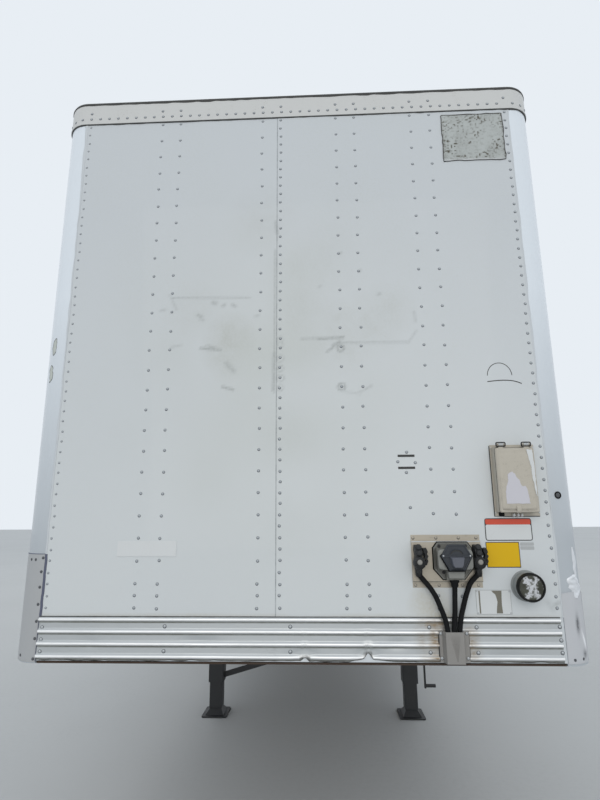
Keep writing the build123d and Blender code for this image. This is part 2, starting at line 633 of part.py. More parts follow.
# Shaft between the legs, the gearbox and the folded crank
SHAFT_Z = 1000.0
SHAFT_R = 17.0
GEARBOX_Z = 640.0
GEARBOX_WIDTH = 120.0
GEARBOX_HEIGHT = 190.0
GEARBOX_R = 20.0
GEARBOX_T = 48.0
GEARBOX_INNER_X = LEG_X + LEG_OUTER / 2
GEARBOX_OUTER_X = GEARBOX_INNER_X + GEARBOX_T
CRANK_X = LEG_X + 138.0
CRANK_SHAFT_R = 14.0
CRANK_T = 14.0
CRANK_WIDTH = 32.0
CRANK_TOP = GEARBOX_Z + 20.0
CRANK_BOTTOM = 230.0
GRIP_Z = 250.0
GRIP_R = 15.0
GRIP_LENGTH = 90.0
with BuildPart() as leg_crank:
    with BuildSketch(Plane.YZ.offset(LEG_OUTER / 2 - LEG_X)):
        with Locations((LEG_Y, SHAFT_Z)):
            Circle(SHAFT_R)
    extrude(amount=2 * LEG_X - LEG_OUTER)
    with BuildSketch(Plane.YZ.offset(GEARBOX_INNER_X)):
        with Locations((LEG_Y, GEARBOX_Z)):
            RectangleRounded(GEARBOX_WIDTH, GEARBOX_HEIGHT, GEARBOX_R)
    extrude(amount=GEARBOX_T)
    with BuildSketch(Plane.YZ.offset(GEARBOX_OUTER_X)):
        with Locations((LEG_Y, GEARBOX_Z)):
            Circle(CRANK_SHAFT_R)
    extrude(amount=CRANK_X - GEARBOX_OUTER_X)
    with BuildSketch(Plane.YZ.offset(CRANK_X)):
        bar((LEG_Y, CRANK_TOP), (LEG_Y, CRANK_BOTTOM), CRANK_WIDTH)
    extrude(amount=CRANK_T)
    with BuildSketch(Plane.YZ.offset(CRANK_X + CRANK_T)):
        with Locations((LEG_Y, GRIP_Z)):
            Circle(GRIP_R)
    extrude(amount=GRIP_LENGTH)
leg_crank.part.label = "leg_crank"
export_step(leg_crank.part, "parts/leg_crank.step")

# Slide rails under the body, with the row of lock holes
SLIDE_OVERHANG = 25.0
SLIDE_RAIL_FRONT_Y = BOGIE_FRONT_Y - SLIDE_FORWARD - SLIDE_OVERHANG
SLIDE_RAIL_REAR_Y = BOGIE_REAR_Y + SLIDE_BACK + SLIDE_OVERHANG
SLIDE_RAIL_T = 8.0
SLIDE_RAIL_OUTER_X = SLIDE_RAIL_WEB_X + SLIDE_RAIL_T
SLIDE_RAIL_INNER_X = BOGIE_RAIL_INNER_X - 10.0
SLIDE_FLANGE_X = SLIDE_RAIL_WEB_X + 46.0
LOCK_PIN_Y = BOGIE_FRONT_Y + 120.0
HOLE_YS = [
    LOCK_PIN_Y - SLIDE_FORWARD + HOLE_PITCH * n
    for n in range(round((SLIDE_FORWARD + SLIDE_BACK) / HOLE_PITCH) + 1)
]
with BuildPart() as slide_rails:
    with BuildSketch(Plane.XZ.offset(-SLIDE_RAIL_FRONT_Y)):
        with BuildLine():
            Polyline(
                (SLIDE_RAIL_INNER_X, COUPLER_Z),
                (SLIDE_RAIL_OUTER_X, COUPLER_Z),
                (SLIDE_RAIL_OUTER_X, SLIDE_RAIL_BOTTOM + SLIDE_RAIL_T),
                (SLIDE_FLANGE_X, SLIDE_RAIL_BOTTOM + SLIDE_RAIL_T),
                (SLIDE_FLANGE_X, SLIDE_RAIL_BOTTOM),
                (SLIDE_RAIL_WEB_X, SLIDE_RAIL_BOTTOM),
                (SLIDE_RAIL_WEB_X, COUPLER_Z - SLIDE_RAIL_T),
                (SLIDE_RAIL_INNER_X, COUPLER_Z - SLIDE_RAIL_T),
                close=True,
            )
        make_face()
    extrude(amount=-(SLIDE_RAIL_REAR_Y - SLIDE_RAIL_FRONT_Y))
    with BuildSketch(Plane.YZ.offset(SLIDE_RAIL_WEB_X)):
        with Locations(*[(y, LOCK_HOLE_Z) for y in HOLE_YS]):
            Circle(LOCK_HOLE_R)
    extrude(amount=SLIDE_RAIL_T, mode=Mode.SUBTRACT)
    mirror(about=Plane.YZ)
slide_rails.part.label = "slide_rails"
export_step(slide_rails.part, "parts/slide_rails.step")

# Nose fittings. Depths are in front of the wall.
PLATE_X = 673.0
PLATE_Z = 1634.0
PLATE_WIDTH = 306.0
PLATE_HEIGHT = 226.0
PLATE_LIP = 25.0
PLATE_LIP_T = 3.0
PLATE_RISE = 12.0
with BuildPart() as fitting_plate:
    with BuildSketch(Plane.XZ.offset(-FRONT_Y)):
        with Locations((PLATE_X, PLATE_Z)):
            Rectangle(PLATE_WIDTH, PLATE_HEIGHT)
    extrude(amount=PLATE_LIP_T)
    with BuildSketch(Plane.XZ.offset(-FRONT_Y + PLATE_LIP_T)):
        with Locations((PLATE_X, PLATE_Z)):
            Rectangle(PLATE_WIDTH, PLATE_HEIGHT - 2 * PLATE_LIP)
    extrude(amount=PLATE_RISE - PLATE_LIP_T)
fitting_plate.part.label = "fitting_plate"
export_step(fitting_plate.part, "parts/fitting_plate.step")

# Socket box: a flange, a block with the barrel in front of it, and a spout below.
# Outlines are pairs of distance from the socket's middle and height.
SOCKET_X = 699.0
SOCKET_Z = 1655.0
SPOUT_BOTTOM = 1558.0
SPOUT_WIDTH = 76.0
SOCKET_FLANGE_T = 8.0
SOCKET_FLANGE = [
    (-84, 1602),
    (-84, 1690),
    (-66, 1714),
    (66, 1714),
    (84, 1690),
    (84, 1602),
    (46, SPOUT_BOTTOM),
    (-46, SPOUT_BOTTOM),
]
BLOCK_WIDTH = 150.0
BLOCK_BOTTOM = 1602.0
BLOCK_TOP = 1690.0
BOX_DEPTH = 48.0
SOCKET_BORE_R = 26.5
BARREL_R = 36.0
SOCKET_FACE_DEPTH = 78.0
SOCKET_FACE_Y = FRONT_Y - SOCKET_FACE_DEPTH
LID_GAP = 5.0
LID_T = 12.0
LID_BEVEL = 4.0
LID_BACK_Y = SOCKET_FACE_Y - LID_GAP
LID_OUTLINE = [(-32, 1600), (32, 1600), (66, 1661), (37, 1710), (-37, 1710), (-66, 1661)]
TONGUE_OUTLINE = [(-13, 1615), (13, 1615), (23, 1661), (-23, 1661)]
TONGUE_T = NOSE_REACH - SOCKET_FACE_DEPTH - LID_GAP - LID_T
LID_PIN_BEHIND = 6.0
LID_PIN_R = 3.0
LID_PIN_PLAY = 0.3
LID_HINGE_Z = 1703.0
LID_HINGE_Y = LID_BACK_Y + LID_PIN_BEHIND
LID_EAR_R = 5.5
LID_EAR_HALF = 18.0
LID_LUG_T = 6.0
LID_LUG_X = 20.0
LID_LUG = [
    (40, 1684),
    (40, 1690),
    (71, 1705),
    (75, 1708),
    (79, 1708),
    (82, 1704),
    (82, 1701),
    (78, 1698),
    (52, 1686),
]
with BuildPart() as socket_box:
    with BuildSketch(Plane.XZ.offset(-FRONT_Y + PLATE_RISE)):
        with BuildLine():
            Polyline(*[(SOCKET_X + x, z) for x, z in SOCKET_FLANGE], close=True)
        make_face()
    extrude(amount=SOCKET_FLANGE_T)
    with BuildSketch(Plane.XZ.offset(-FRONT_Y + PLATE_RISE)):
        with Locations((SOCKET_X, (BLOCK_BOTTOM + BLOCK_TOP) / 2)):
            Rectangle(BLOCK_WIDTH, BLOCK_TOP - BLOCK_BOTTOM)
        with Locations((SOCKET_X, (SPOUT_BOTTOM + BLOCK_BOTTOM) / 2)):
            Rectangle(SPOUT_WIDTH, BLOCK_BOTTOM - SPOUT_BOTTOM)
    extrude(amount=BOX_DEPTH - PLATE_RISE)
    with BuildSketch(Plane.YZ.offset(SOCKET_X - LID_LUG_X - LID_LUG_T)):
        with Locations((LID_HINGE_Y, LID_HINGE_Z)):
            Circle(LID_PIN_R)
    extrude(amount=2 * (LID_LUG_X + LID_LUG_T))
    for lug_x in (SOCKET_X - LID_LUG_X - LID_LUG_T, SOCKET_X + LID_LUG_X):
        with BuildSketch(Plane.YZ.offset(lug_x)):
            with BuildLine():
                Polyline(*[(FRONT_Y - depth, z) for depth, z in LID_LUG], close=True)
            make_face()
        extrude(amount=LID_LUG_T)
socket_box.part.label = "socket_box"
export_step(socket_box.part, "parts/socket_box.step")

# Barrel of the socket, a ring in front of the box, which closes its bottom
with BuildPart() as socket_barrel:
    with BuildSketch(Plane.XZ.offset(-FRONT_Y + BOX_DEPTH)):
        with Locations((SOCKET_X, SOCKET_Z)):
            Circle(BARREL_R)
            Circle(SOCKET_BORE_R, mode=Mode.SUBTRACT)
    extrude(amount=SOCKET_FACE_DEPTH - BOX_DEPTH)
socket_barrel.part.label = "socket_barrel"
export_step(socket_barrel.part, "parts/socket_barrel.step")

# Sprung lid over the socket, hinged behind its top edge
with BuildPart() as socket_lid:
    with BuildSketch(Plane.XZ.offset(-LID_BACK_Y)):
        with BuildLine():
            Polyline(*[(SOCKET_X + x, z) for x, z in LID_OUTLINE], close=True)
        make_face()
    extrude(amount=LID_T)
    with BuildSketch(Plane.XZ.offset(-LID_BACK_Y + LID_T)):
        with BuildLine():
            Polyline(*[(SOCKET_X + x, z) for x, z in TONGUE_OUTLINE], close=True)
        make_face()
    extrude(amount=TONGUE_T)
    with BuildSketch(Plane.YZ.offset(SOCKET_X - LID_EAR_HALF)):
        with Locations((LID_HINGE_Y, LID_HINGE_Z)):
            Circle(LID_EAR_R)
        with Locations((LID_HINGE_Y - LID_PIN_BEHIND / 2, LID_HINGE_Z)):
            Rectangle(LID_PIN_BEHIND, 2 * LID_EAR_R)
        with Locations((LID_HINGE_Y, LID_HINGE_Z)):
            Circle(LID_PIN_R + LID_PIN_PLAY, mode=Mode.SUBTRACT)
    extrude(amount=2 * LID_EAR_HALF)
socket_lid.part.label = "socket_lid"
export_step(socket_lid.part, "parts/socket_lid.step")

# Air couplings: an arm on the plate, a round seal face in front and a swing plate on a lever
GLADHAND_XS = [545.0, 804.0]
GLADHAND_WIDTH = 34.0
GLADHAND_END_R = 14.0
GLADHAND_TOP = 1706.0
GLADHAND_BOTTOM = 1596.0
GLADHAND_DEPTH = 56.0
SEAL_Z = 1628.0
SEAL_R = 26.0
SEAL_FACE_DEPTH = 86.0
SWING_X = 36.0
SWING_Z = 1666.0
SWING_WIDTH = 12.0
SWING_HEIGHT = 52.0
SWING_BACK = 26.0
SWING_FRONT = 62.0
LEVER_HEIGHT = 14.0
LEVER_FRONT = 44.0
with BuildPart() as air_couplings:
    with BuildSketch(Plane.XZ.offset(-FRONT_Y + PLATE_RISE)):
        with Locations(*[(x, (GLADHAND_TOP + GLADHAND_BOTTOM) / 2) for x in GLADHAND_XS]):
            RectangleRounded(GLADHAND_WIDTH, GLADHAND_TOP - GLADHAND_BOTTOM, GLADHAND_END_R)
    extrude(amount=GLADHAND_DEPTH - PLATE_RISE)
    with BuildSketch(Plane.XZ.offset(-FRONT_Y + GLADHAND_DEPTH)):
        with Locations(*[(x, SEAL_Z) for x in GLADHAND_XS]):
            Circle(SEAL_R)
    extrude(amount=SEAL_FACE_DEPTH - GLADHAND_DEPTH)
    with BuildSketch(Plane.XZ.offset(-FRONT_Y + SWING_BACK)):
        with Locations(*[(x + SWING_X, SWING_Z) for x in GLADHAND_XS]):
            Rectangle(SWING_WIDTH, SWING_HEIGHT)
    extrude(amount=SWING_FRONT - SWING_BACK)
    with BuildSketch(Plane.XZ.offset(-FRONT_Y + SWING_BACK)):
        with Locations(*[(x + SWING_X / 2, SWING_Z) for x in GLADHAND_XS]):
            Rectangle(SWING_X, LEVER_HEIGHT)
    extrude(amount=LEVER_FRONT - SWING_BACK)
air_couplings.part.label = "air_couplings"
export_step(air_couplings.part, "parts/air_couplings.step")

# Three lines from the couplings and the socket box into the cover
LINE_R = 11.0
LINE_DEPTH = 30.0
LINE_END_Z = 1232.0
LINE_ROUTES = [
    [(545, 1596), (545, 1578), (606, 1506), (649, 1392), (657, 1330), (657, LINE_END_Z)],
    [(697, SPOUT_BOTTOM), (697, 1536), (690, 1420), (681, 1345), (681, LINE_END_Z)],
    [(804, 1596), (804, 1582), (764, 1546), (741, 1490), (713, 1400), (705, 1345), (705, LINE_END_Z)],
]
LINE_BENDS = [[30, 250, 250, 300], [200, 400, 400], [22, 100, 300, 300, 300]]
with BuildPart() as nose_lines:
    for route, bends in zip(LINE_ROUTES, LINE_BENDS):
        with BuildLine(Plane.XZ.offset(-FRONT_Y + LINE_DEPTH)):
            path = FilletPolyline(*route, radius=bends)
        with BuildSketch(Plane(path @ 0, z_dir=path % 0)):
            Circle(LINE_R)
        sweep(path=path)
nose_lines.part.label = "nose_lines"
export_step(nose_lines.part, "parts/nose_lines.step")

# Stamped cover over the lines: two flanges and a channel that narrows to the front
COVER_X = 683.0
COVER_TOP = 1346.0
COVER_BOTTOM = 1220.0
COVER_WIDTH = 126.0
CHANNEL_X = 680.0
CHANNEL_BASE = 96.0
CHANNEL_FRONT = 76.0
COVER_DEPTH = 46.0
COVER_T = 3.0
COVER_BACK = 12.0
CHANNEL_SHELL = [
    (CHANNEL_BASE / 2, CHANNEL_FRONT / 2, COVER_DEPTH, Mode.ADD),
    (CHANNEL_BASE / 2 - COVER_T, CHANNEL_FRONT / 2 - COVER_T, COVER_DEPTH - COVER_T, Mode.SUBTRACT),
]
with BuildPart() as line_cover:
    with BuildSketch(Plane.XY.offset(COVER_BOTTOM)):
        with Locations((COVER_X, FRONT_Y - COVER_BACK - COVER_T / 2)):
            Rectangle(COVER_WIDTH, COVER_T)
        for base_half, front_half, depth, mode in CHANNEL_SHELL:
            with BuildLine():
                Polyline(
                    (CHANNEL_X - base_half, FRONT_Y - COVER_BACK),
                    (CHANNEL_X - front_half, FRONT_Y - depth),
                    (CHANNEL_X + front_half, FRONT_Y - depth),
                    (CHANNEL_X + base_half, FRONT_Y - COVER_BACK),
                    close=True,
                )
            make_face(mode=mode)
    extrude(amount=COVER_TOP - COVER_BOTTOM)
line_cover.part.label = "line_cover"
export_step(line_cover.part, "parts/line_cover.step")

# Document box, its lid and hinge
DOC_FLANGE_X = 1005.0
DOC_FLANGE_Z = 1989.0
DOC_FLANGE_WIDTH = 200.0
DOC_FLANGE_HEIGHT = 322.0
DOC_X = 995.0
DOC_Z = 1990.0
DOC_WIDTH = 166.0
DOC_HEIGHT = 290.0
DOC_TOP = DOC_Z + DOC_HEIGHT / 2
DOC_DEPTH = 50.0
DOC_WALL = 3.0
DOC_PIN_Y = FRONT_Y - DOC_DEPTH - LID_GAP - LID_T / 2
DOC_PIN_Z = DOC_TOP + 10.0
DOC_HINGE_XS = [937.0, 1050.0]
DOC_KNUCKLE = 18.0
DOC_LUG_T = 5.0
DOC_LUG_R = 5.0
DOC_LUG_BACK_Y = FRONT_Y - DOC_DEPTH + 12.0
DOC_LUG_TOP = DOC_TOP + 2.0
with BuildPart() as document_box:
    with BuildSketch(Plane.XZ.offset(-FRONT_Y)):
        with Locations((DOC_FLANGE_X, DOC_FLANGE_Z)):
            Rectangle(DOC_FLANGE_WIDTH, DOC_FLANGE_HEIGHT)
    extrude(amount=DOC_WALL)
    with BuildSketch(Plane.XZ.offset(-FRONT_Y + DOC_WALL)):
        with Locations((DOC_X, DOC_Z)):
            Rectangle(DOC_WIDTH, DOC_HEIGHT)
            Rectangle(DOC_WIDTH - 2 * DOC_WALL, DOC_HEIGHT - 2 * DOC_WALL, mode=Mode.SUBTRACT)
    extrude(amount=DOC_DEPTH - DOC_WALL)
    for hinge_x in DOC_HINGE_XS:
        with BuildSketch(Plane.YZ.offset(hinge_x - DOC_KNUCKLE)):
            with Locations((DOC_PIN_Y, DOC_PIN_Z)):
                Circle(LID_PIN_R)
        extrude(amount=2 * DOC_KNUCKLE)
        for lug_x in (hinge_x - DOC_KNUCKLE, hinge_x + DOC_KNUCKLE - DOC_LUG_T):
            with BuildSketch(Plane.YZ.offset(lug_x)):
                with BuildLine():
                    Polyline(
                        (DOC_LUG_BACK_Y, DOC_TOP - DOC_WALL),
                        (DOC_LUG_BACK_Y, DOC_LUG_TOP),
                        (DOC_PIN_Y, DOC_PIN_Z + DOC_LUG_R),
                        (DOC_PIN_Y - DOC_LUG_R, DOC_PIN_Z),
                        (FRONT_Y - DOC_DEPTH, DOC_TOP - DOC_WALL),
                        close=True,
                    )
                make_face()
            extrude(amount=DOC_LUG_T)
document_box.part.label = "document_box"
export_step(document_box.part, "parts/document_box.step")

DOC_LID_WIDTH = DOC_WIDTH + 4.0
DOC_LID_HEIGHT = DOC_HEIGHT - 4.0
DOC_LID_Z = DOC_Z - 4.0
DOC_LID_R = 8.0
DOC_LID_BACK_Y = FRONT_Y - DOC_DEPTH - LID_GAP
DOC_TAB_HALF = DOC_KNUCKLE - DOC_LUG_T - 2.0
DOC_TAB_Z = DOC_TOP - 2.0
DOC_TAB_HEIGHT = 24.0
BEVEL_ANGLE = 40.0
with BuildPart() as document_lid:
    with BuildSketch(Plane.XZ.offset(-DOC_LID_BACK_Y)):
        with Locations((DOC_X, DOC_LID_Z)):
            RectangleRounded(DOC_LID_WIDTH, DOC_LID_HEIGHT, DOC_LID_R)
        with Locations(*[(x, DOC_TAB_Z) for x in DOC_HINGE_XS]):
            Rectangle(2 * DOC_TAB_HALF, DOC_TAB_HEIGHT)
    extrude(amount=LID_T - LID_BEVEL)
    with BuildSketch(Plane.XZ.offset(-DOC_LID_BACK_Y + LID_T - LID_BEVEL)):
        with Locations((DOC_X, DOC_LID_Z)):
            RectangleRounded(DOC_LID_WIDTH, DOC_LID_HEIGHT, DOC_LID_R)
    extrude(amount=LID_BEVEL, taper=BEVEL_ANGLE)
    for hinge_x in DOC_HINGE_XS:
        for radius, mode in ((LID_T / 2, Mode.ADD), (LID_PIN_R + LID_PIN_PLAY, Mode.SUBTRACT)):
            with BuildSketch(Plane.YZ.offset(hinge_x - DOC_TAB_HALF)):
                with Locations((DOC_PIN_Y, DOC_PIN_Z)):
                    Circle(radius)
            extrude(amount=2 * DOC_TAB_HALF, mode=mode)
document_lid.part.label = "document_lid"
export_step(document_lid.part, "parts/document_lid.step")

# Round document canister, a tube with a wider cap, standing out of the wall
CANISTER_X = 1012.0
CANISTER_Z = 1529.0
TUBE_R = 58.0
CAP_R = 60.0
CAP_LENGTH = 20.0
CANISTER_REACH = 72.0
with BuildPart() as round_canister:
    with BuildSketch(Plane.XZ.offset(-FRONT_Y)):
        with Locations((CANISTER_X, CANISTER_Z)):
            Circle(TUBE_R)
    extrude(amount=CANISTER_REACH - CAP_LENGTH)
    with BuildSketch(Plane.XZ.offset(-FRONT_Y + CANISTER_REACH - CAP_LENGTH)):
        with Locations((CANISTER_X, CANISTER_Z)):
            Circle(CAP_R)
    extrude(amount=CAP_LENGTH)
round_canister.part.label = "round_canister"
export_step(round_canister.part, "parts/round_canister.step")

# Riveted patch in the top corner
PATCH_X = 959.0
PATCH_Z = 3805.0
PATCH_WIDTH = 322.0
PATCH_HEIGHT = 280.0
PATCH_T = 2.0
with BuildPart() as patch_plate:
    with BuildSketch(Plane.XZ.offset(-FRONT_Y)):
        with Locations((PATCH_X, PATCH_Z)):
            Rectangle(PATCH_WIDTH, PATCH_HEIGHT)
    extrude(amount=PATCH_T)
patch_plate.part.label = "patch_plate"
export_step(patch_plate.part, "parts/patch_plate.step")

# Rear doors, each with hinge straps, a lock rod with cams, and a handle
DOOR_INNER_X = DOOR_GAP / 2
DOOR_OUTER_X = POST_INNER_X - DOOR_GAP
STRAP_T = 8.0
STRAP_END_X = 930.0
STRAP_FRONT_BEND_X = 1212.0
STRAP_BACK_BEND_X = 1190.0
STRAP_TIP_X = 5.0
STRAP_TIP_Y = 7.0
BRACKET_ZS = [1408.0, 1760.0, 2650.0, 3300.0, 3919.0]
BRACKET_WIDTH = 60.0
BRACKET_DEPTH = 32.0
BRACKET_HEIGHT = 40.0
HANDLE_Z = 1700.0
HANDLE_X = ROD_X + 230.0
HANDLE_LENGTH = 480.0
HANDLE_WIDTH = 30.0
HANDLE_R = 8.0
HANDLE_T = 10.0
CATCH_X = ROD_X + 430.0
CATCH_WIDTH = 50.0
CATCH_HEIGHT = 90.0
CATCH_REACH = 26.0
for side, sign in SIDES.items():
    with BuildPart() as door_panel:
        with BuildSketch(Plane.XZ.offset(-REAR_Y + DOOR_T)):
            with Locations((sign * (DOOR_INNER_X + DOOR_OUTER_X) / 2, (DOOR_BOTTOM + DOOR_TOP) / 2)):
                Rectangle(DOOR_OUTER_X - DOOR_INNER_X, DOOR_TOP - DOOR_BOTTOM)
        extrude(amount=-DOOR_T)
    door_panel.part.label = f"door_panel_{side}"
    export_step(door_panel.part, f"parts/door_panel_{side}.step")

    with BuildPart() as door_hardware:
        for hinge_z in HINGE_ZS:
            with BuildSketch(Plane.XY.offset(hinge_z - STRAP_H / 2)):
                with BuildLine():
                    Polyline(
                        (sign * STRAP_END_X, REAR_Y),
                        (sign * STRAP_FRONT_BEND_X, REAR_Y),
                        (sign * (PIN_X + STRAP_TIP_X), PIN_Y - STRAP_TIP_Y),
                        (sign * (PIN_X - STRAP_TIP_X), PIN_Y + STRAP_TIP_Y),
                        (sign * STRAP_BACK_BEND_X, REAR_Y + STRAP_T),
                        (sign * STRAP_END_X, REAR_Y + STRAP_T),
                        close=True,
                    )
                make_face()
                with Locations((sign * PIN_X, PIN_Y)):
                    Circle(KNUCKLE_R)
                    Circle(PIN_R + PIN_PLAY, mode=Mode.SUBTRACT)
            extrude(amount=STRAP_H)
        with BuildSketch(Plane.XY.offset(LOWER_CAM_Z + CAM_HEIGHT / 2)):
            with Locations((sign * ROD_X, ROD_Y)):
                Circle(ROD_R)
        extrude(amount=UPPER_CAM_Z - LOWER_CAM_Z)
        for cam_z in (LOWER_CAM_Z, UPPER_CAM_Z):
            with BuildSketch(Plane.XY.offset(cam_z)):
                with Locations((sign * ROD_X, ROD_Y)):
                    RectangleRounded(CAM_WIDTH, CAM_DEPTH, CAM_R)
            extrude(amount=CAM_HEIGHT)
        for bracket_z in BRACKET_ZS:
            with BuildSketch(Plane.XY.offset(bracket_z)):
                with Locations((sign * ROD_X, REAR_Y + BRACKET_DEPTH / 2)):
                    Rectangle(BRACKET_WIDTH, BRACKET_DEPTH)
            extrude(amount=BRACKET_HEIGHT)
        with BuildSketch(Plane.XZ.offset(-REAR_Y - CATCH_REACH)):
            with Locations((sign * HANDLE_X, HANDLE_Z)):
                RectangleRounded(HANDLE_LENGTH, HANDLE_WIDTH, HANDLE_R)
        extrude(amount=-HANDLE_T)
        with BuildSketch(Plane.XZ.offset(-REAR_Y)):
            with Locations((sign * CATCH_X, HANDLE_Z)):
                Rectangle(CATCH_WIDTH, CATCH_HEIGHT)
        extrude(amount=-CATCH_REACH)
    door_hardware.part.label = f"door_hardware_{side}"
    export_step(door_hardware.part, f"parts/door_hardware_{side}.step")

# Bogie frame: side rails, cross tubes, hangers for the arms, lock pins drawn back clear of
# their holes, and the bars that carry the mud flaps
BOGIE_RAIL_WIDTH = BOGIE_RAIL_OUTER_X - BOGIE_RAIL_INNER_X
ARM_HALF = 33.0
ARM_SLOT_HALF = ARM_HALF + 1.0
ARM_SLOT_Z = 640.0
ARM_SLOT_LENGTH = 400.0
ARM_SLOT_HEIGHT = 200.0
PIVOT_Z = 638.0
PIVOT_R = 20.0
PIVOT_PROUD = 14.0
HANGER_BOTTOM = 570.0
HANGER_FOOT_HALF = 70.0
HANGER_AHEAD = 190.0
HANGER_BEHIND = 150.0
CROSS_TUBE_Z = 1120.0
CROSS_TUBE_LENGTH = 90.0
CROSS_TUBE_HEIGHT = 100.0
CROSS_TUBE_R = 10.0
CROSS_TUBE_YS = [
    BOGIE_FRONT_Y + 60.0,
    AXLE_YS["front"] - 300.0,
    BOGIE_MID_Y + 60.0,
    BOGIE_REAR_Y - 60.0,
]
PIN_TIP_X = SLIDE_RAIL_WEB_X - 7.0
LOCK_PIN_R = 19.0
FLAP_X = DUAL_X - 20.0
FLAP_WIDTH = 610.0
FLAP_Y = AXLE_YS["rear"] + 640.0
FLAP_TOP = 1010.0
FLAP_BOTTOM = 240.0
FLAP_T = 10.0
FLAP_BAR = 44.0
FLAP_BAR_INNER_X = ARM_X - 20.0
FLAP_BAR_Z = FLAP_TOP - 4.0
FLAP_ARM_WIDTH = 60.0
FLAP_ARM_HEIGHT = 80.0
FLAP_ARM_FRONT_Y = BOGIE_REAR_Y - 60.0
with BuildPart() as bogie_frame:
    with BuildSketch(Plane.XZ.offset(-BOGIE_FRONT_Y)):
        with Locations((ARM_X, (BOGIE_RAIL_TOP + BOGIE_RAIL_BOTTOM) / 2)):
            Rectangle(BOGIE_RAIL_WIDTH, BOGIE_RAIL_TOP - BOGIE_RAIL_BOTTOM)
    extrude(amount=-BOGIE_LENGTH)
    for axle_y in AXLE_YS.values():
        pivot_y = axle_y - ARM_PIVOT_BEFORE
        with BuildSketch(Plane.YZ.offset(BOGIE_RAIL_INNER_X)):
            with BuildLine():
                Polyline(
                    (pivot_y - HANGER_AHEAD, BOGIE_RAIL_BOTTOM),
                    (pivot_y + HANGER_BEHIND, BOGIE_RAIL_BOTTOM),
                    (pivot_y + HANGER_FOOT_HALF, HANGER_BOTTOM),
                    (pivot_y - HANGER_FOOT_HALF, HANGER_BOTTOM),
                    close=True,
                )
            make_face()
        extrude(amount=BOGIE_RAIL_WIDTH)
        with BuildSketch(Plane.YZ.offset(ARM_X - ARM_SLOT_HALF)):
            with Locations((pivot_y, ARM_SLOT_Z)):
                Rectangle(ARM_SLOT_LENGTH, ARM_SLOT_HEIGHT)
        extrude(amount=2 * ARM_SLOT_HALF, mode=Mode.SUBTRACT)
        with BuildSketch(Plane.YZ.offset(BOGIE_RAIL_INNER_X - PIVOT_PROUD)):
            with Locations((pivot_y, PIVOT_Z)):
                Circle(PIVOT_R)
        extrude(amount=BOGIE_RAIL_WIDTH + 2 * PIVOT_PROUD)
    with BuildSketch(Plane.YZ.offset(FLAP_BAR_INNER_X)):
        with Locations((FLAP_Y - FLAP_BAR / 2, FLAP_BAR_Z)):
            Rectangle(FLAP_BAR, FLAP_BAR)
    extrude(amount=FLAP_X + FLAP_WIDTH / 2 - FLAP_BAR_INNER_X)
    with BuildSketch(Plane.XZ.offset(-FLAP_ARM_FRONT_Y)):
        with Locations((ARM_X, BOGIE_RAIL_BOTTOM - FLAP_ARM_HEIGHT / 2)):
            Rectangle(FLAP_ARM_WIDTH, FLAP_ARM_HEIGHT)
    extrude(amount=-(FLAP_Y - FLAP_ARM_FRONT_Y))
    mirror(about=Plane.YZ)
    with BuildSketch(Plane.YZ):
        with Locations(*[(y, CROSS_TUBE_Z) for y in CROSS_TUBE_YS]):
            RectangleRounded(CROSS_TUBE_LENGTH, CROSS_TUBE_HEIGHT, CROSS_TUBE_R)
    extrude(amount=BOGIE_RAIL_INNER_X, both=True)
    for pin_plane in (Plane.YZ.offset(BOGIE_RAIL_OUTER_X), Plane.YZ.offset(-PIN_TIP_X)):
        with BuildSketch(pin_plane):
            with Locations((LOCK_PIN_Y, LOCK_HOLE_Z)):
                Circle(LOCK_PIN_R)
        extrude(amount=PIN_TIP_X - BOGIE_RAIL_OUTER_X)
bogie_frame.part.label = "bogie_frame"
export_step(bogie_frame.part, "parts/bogie_frame.step")

# Trailing arms: an eye on the hanger's pivot, a seat on the axle and a tail under the air
# spring. The profile is pairs of distance behind the axle and height.
ARM_SEAT_Z = 640.0
ARM_BOTTOM_Z = 572.0
ARM_EYE_R = 48.0
ARM_ROOT_HALF = 44.0
ARM_PROFILE = [
    (-100, 700),
    (90, 690),
    (220, ARM_SEAT_Z),
    (440, ARM_SEAT_Z),
    (440, 600),
    (250, 590),
    (90, ARM_BOTTOM_Z),
    (-90, ARM_BOTTOM_Z),
]
with BuildPart() as trailing_arms:
    for axle_y in AXLE_YS.values():
        pivot_y = axle_y - ARM_PIVOT_BEFORE
        with BuildSketch(Plane.YZ.offset(ARM_X - ARM_HALF)):
            with BuildLine():
                Polyline(
                    (pivot_y, PIVOT_Z - ARM_ROOT_HALF),
                    (pivot_y, PIVOT_Z + ARM_ROOT_HALF),
                    *[(axle_y + behind, z) for behind, z in ARM_PROFILE],
                    close=True,
                )
            make_face()
            with Locations((pivot_y, PIVOT_Z)):
                Circle(ARM_EYE_R)
                Circle(PIVOT_R + PIN_PLAY, mode=Mode.SUBTRACT)
        extrude(amount=2 * ARM_HALF)
    mirror(about=Plane.YZ)
trailing_arms.part.label = "trailing_arms"
export_step(trailing_arms.part, "parts/trailing_arms.step")

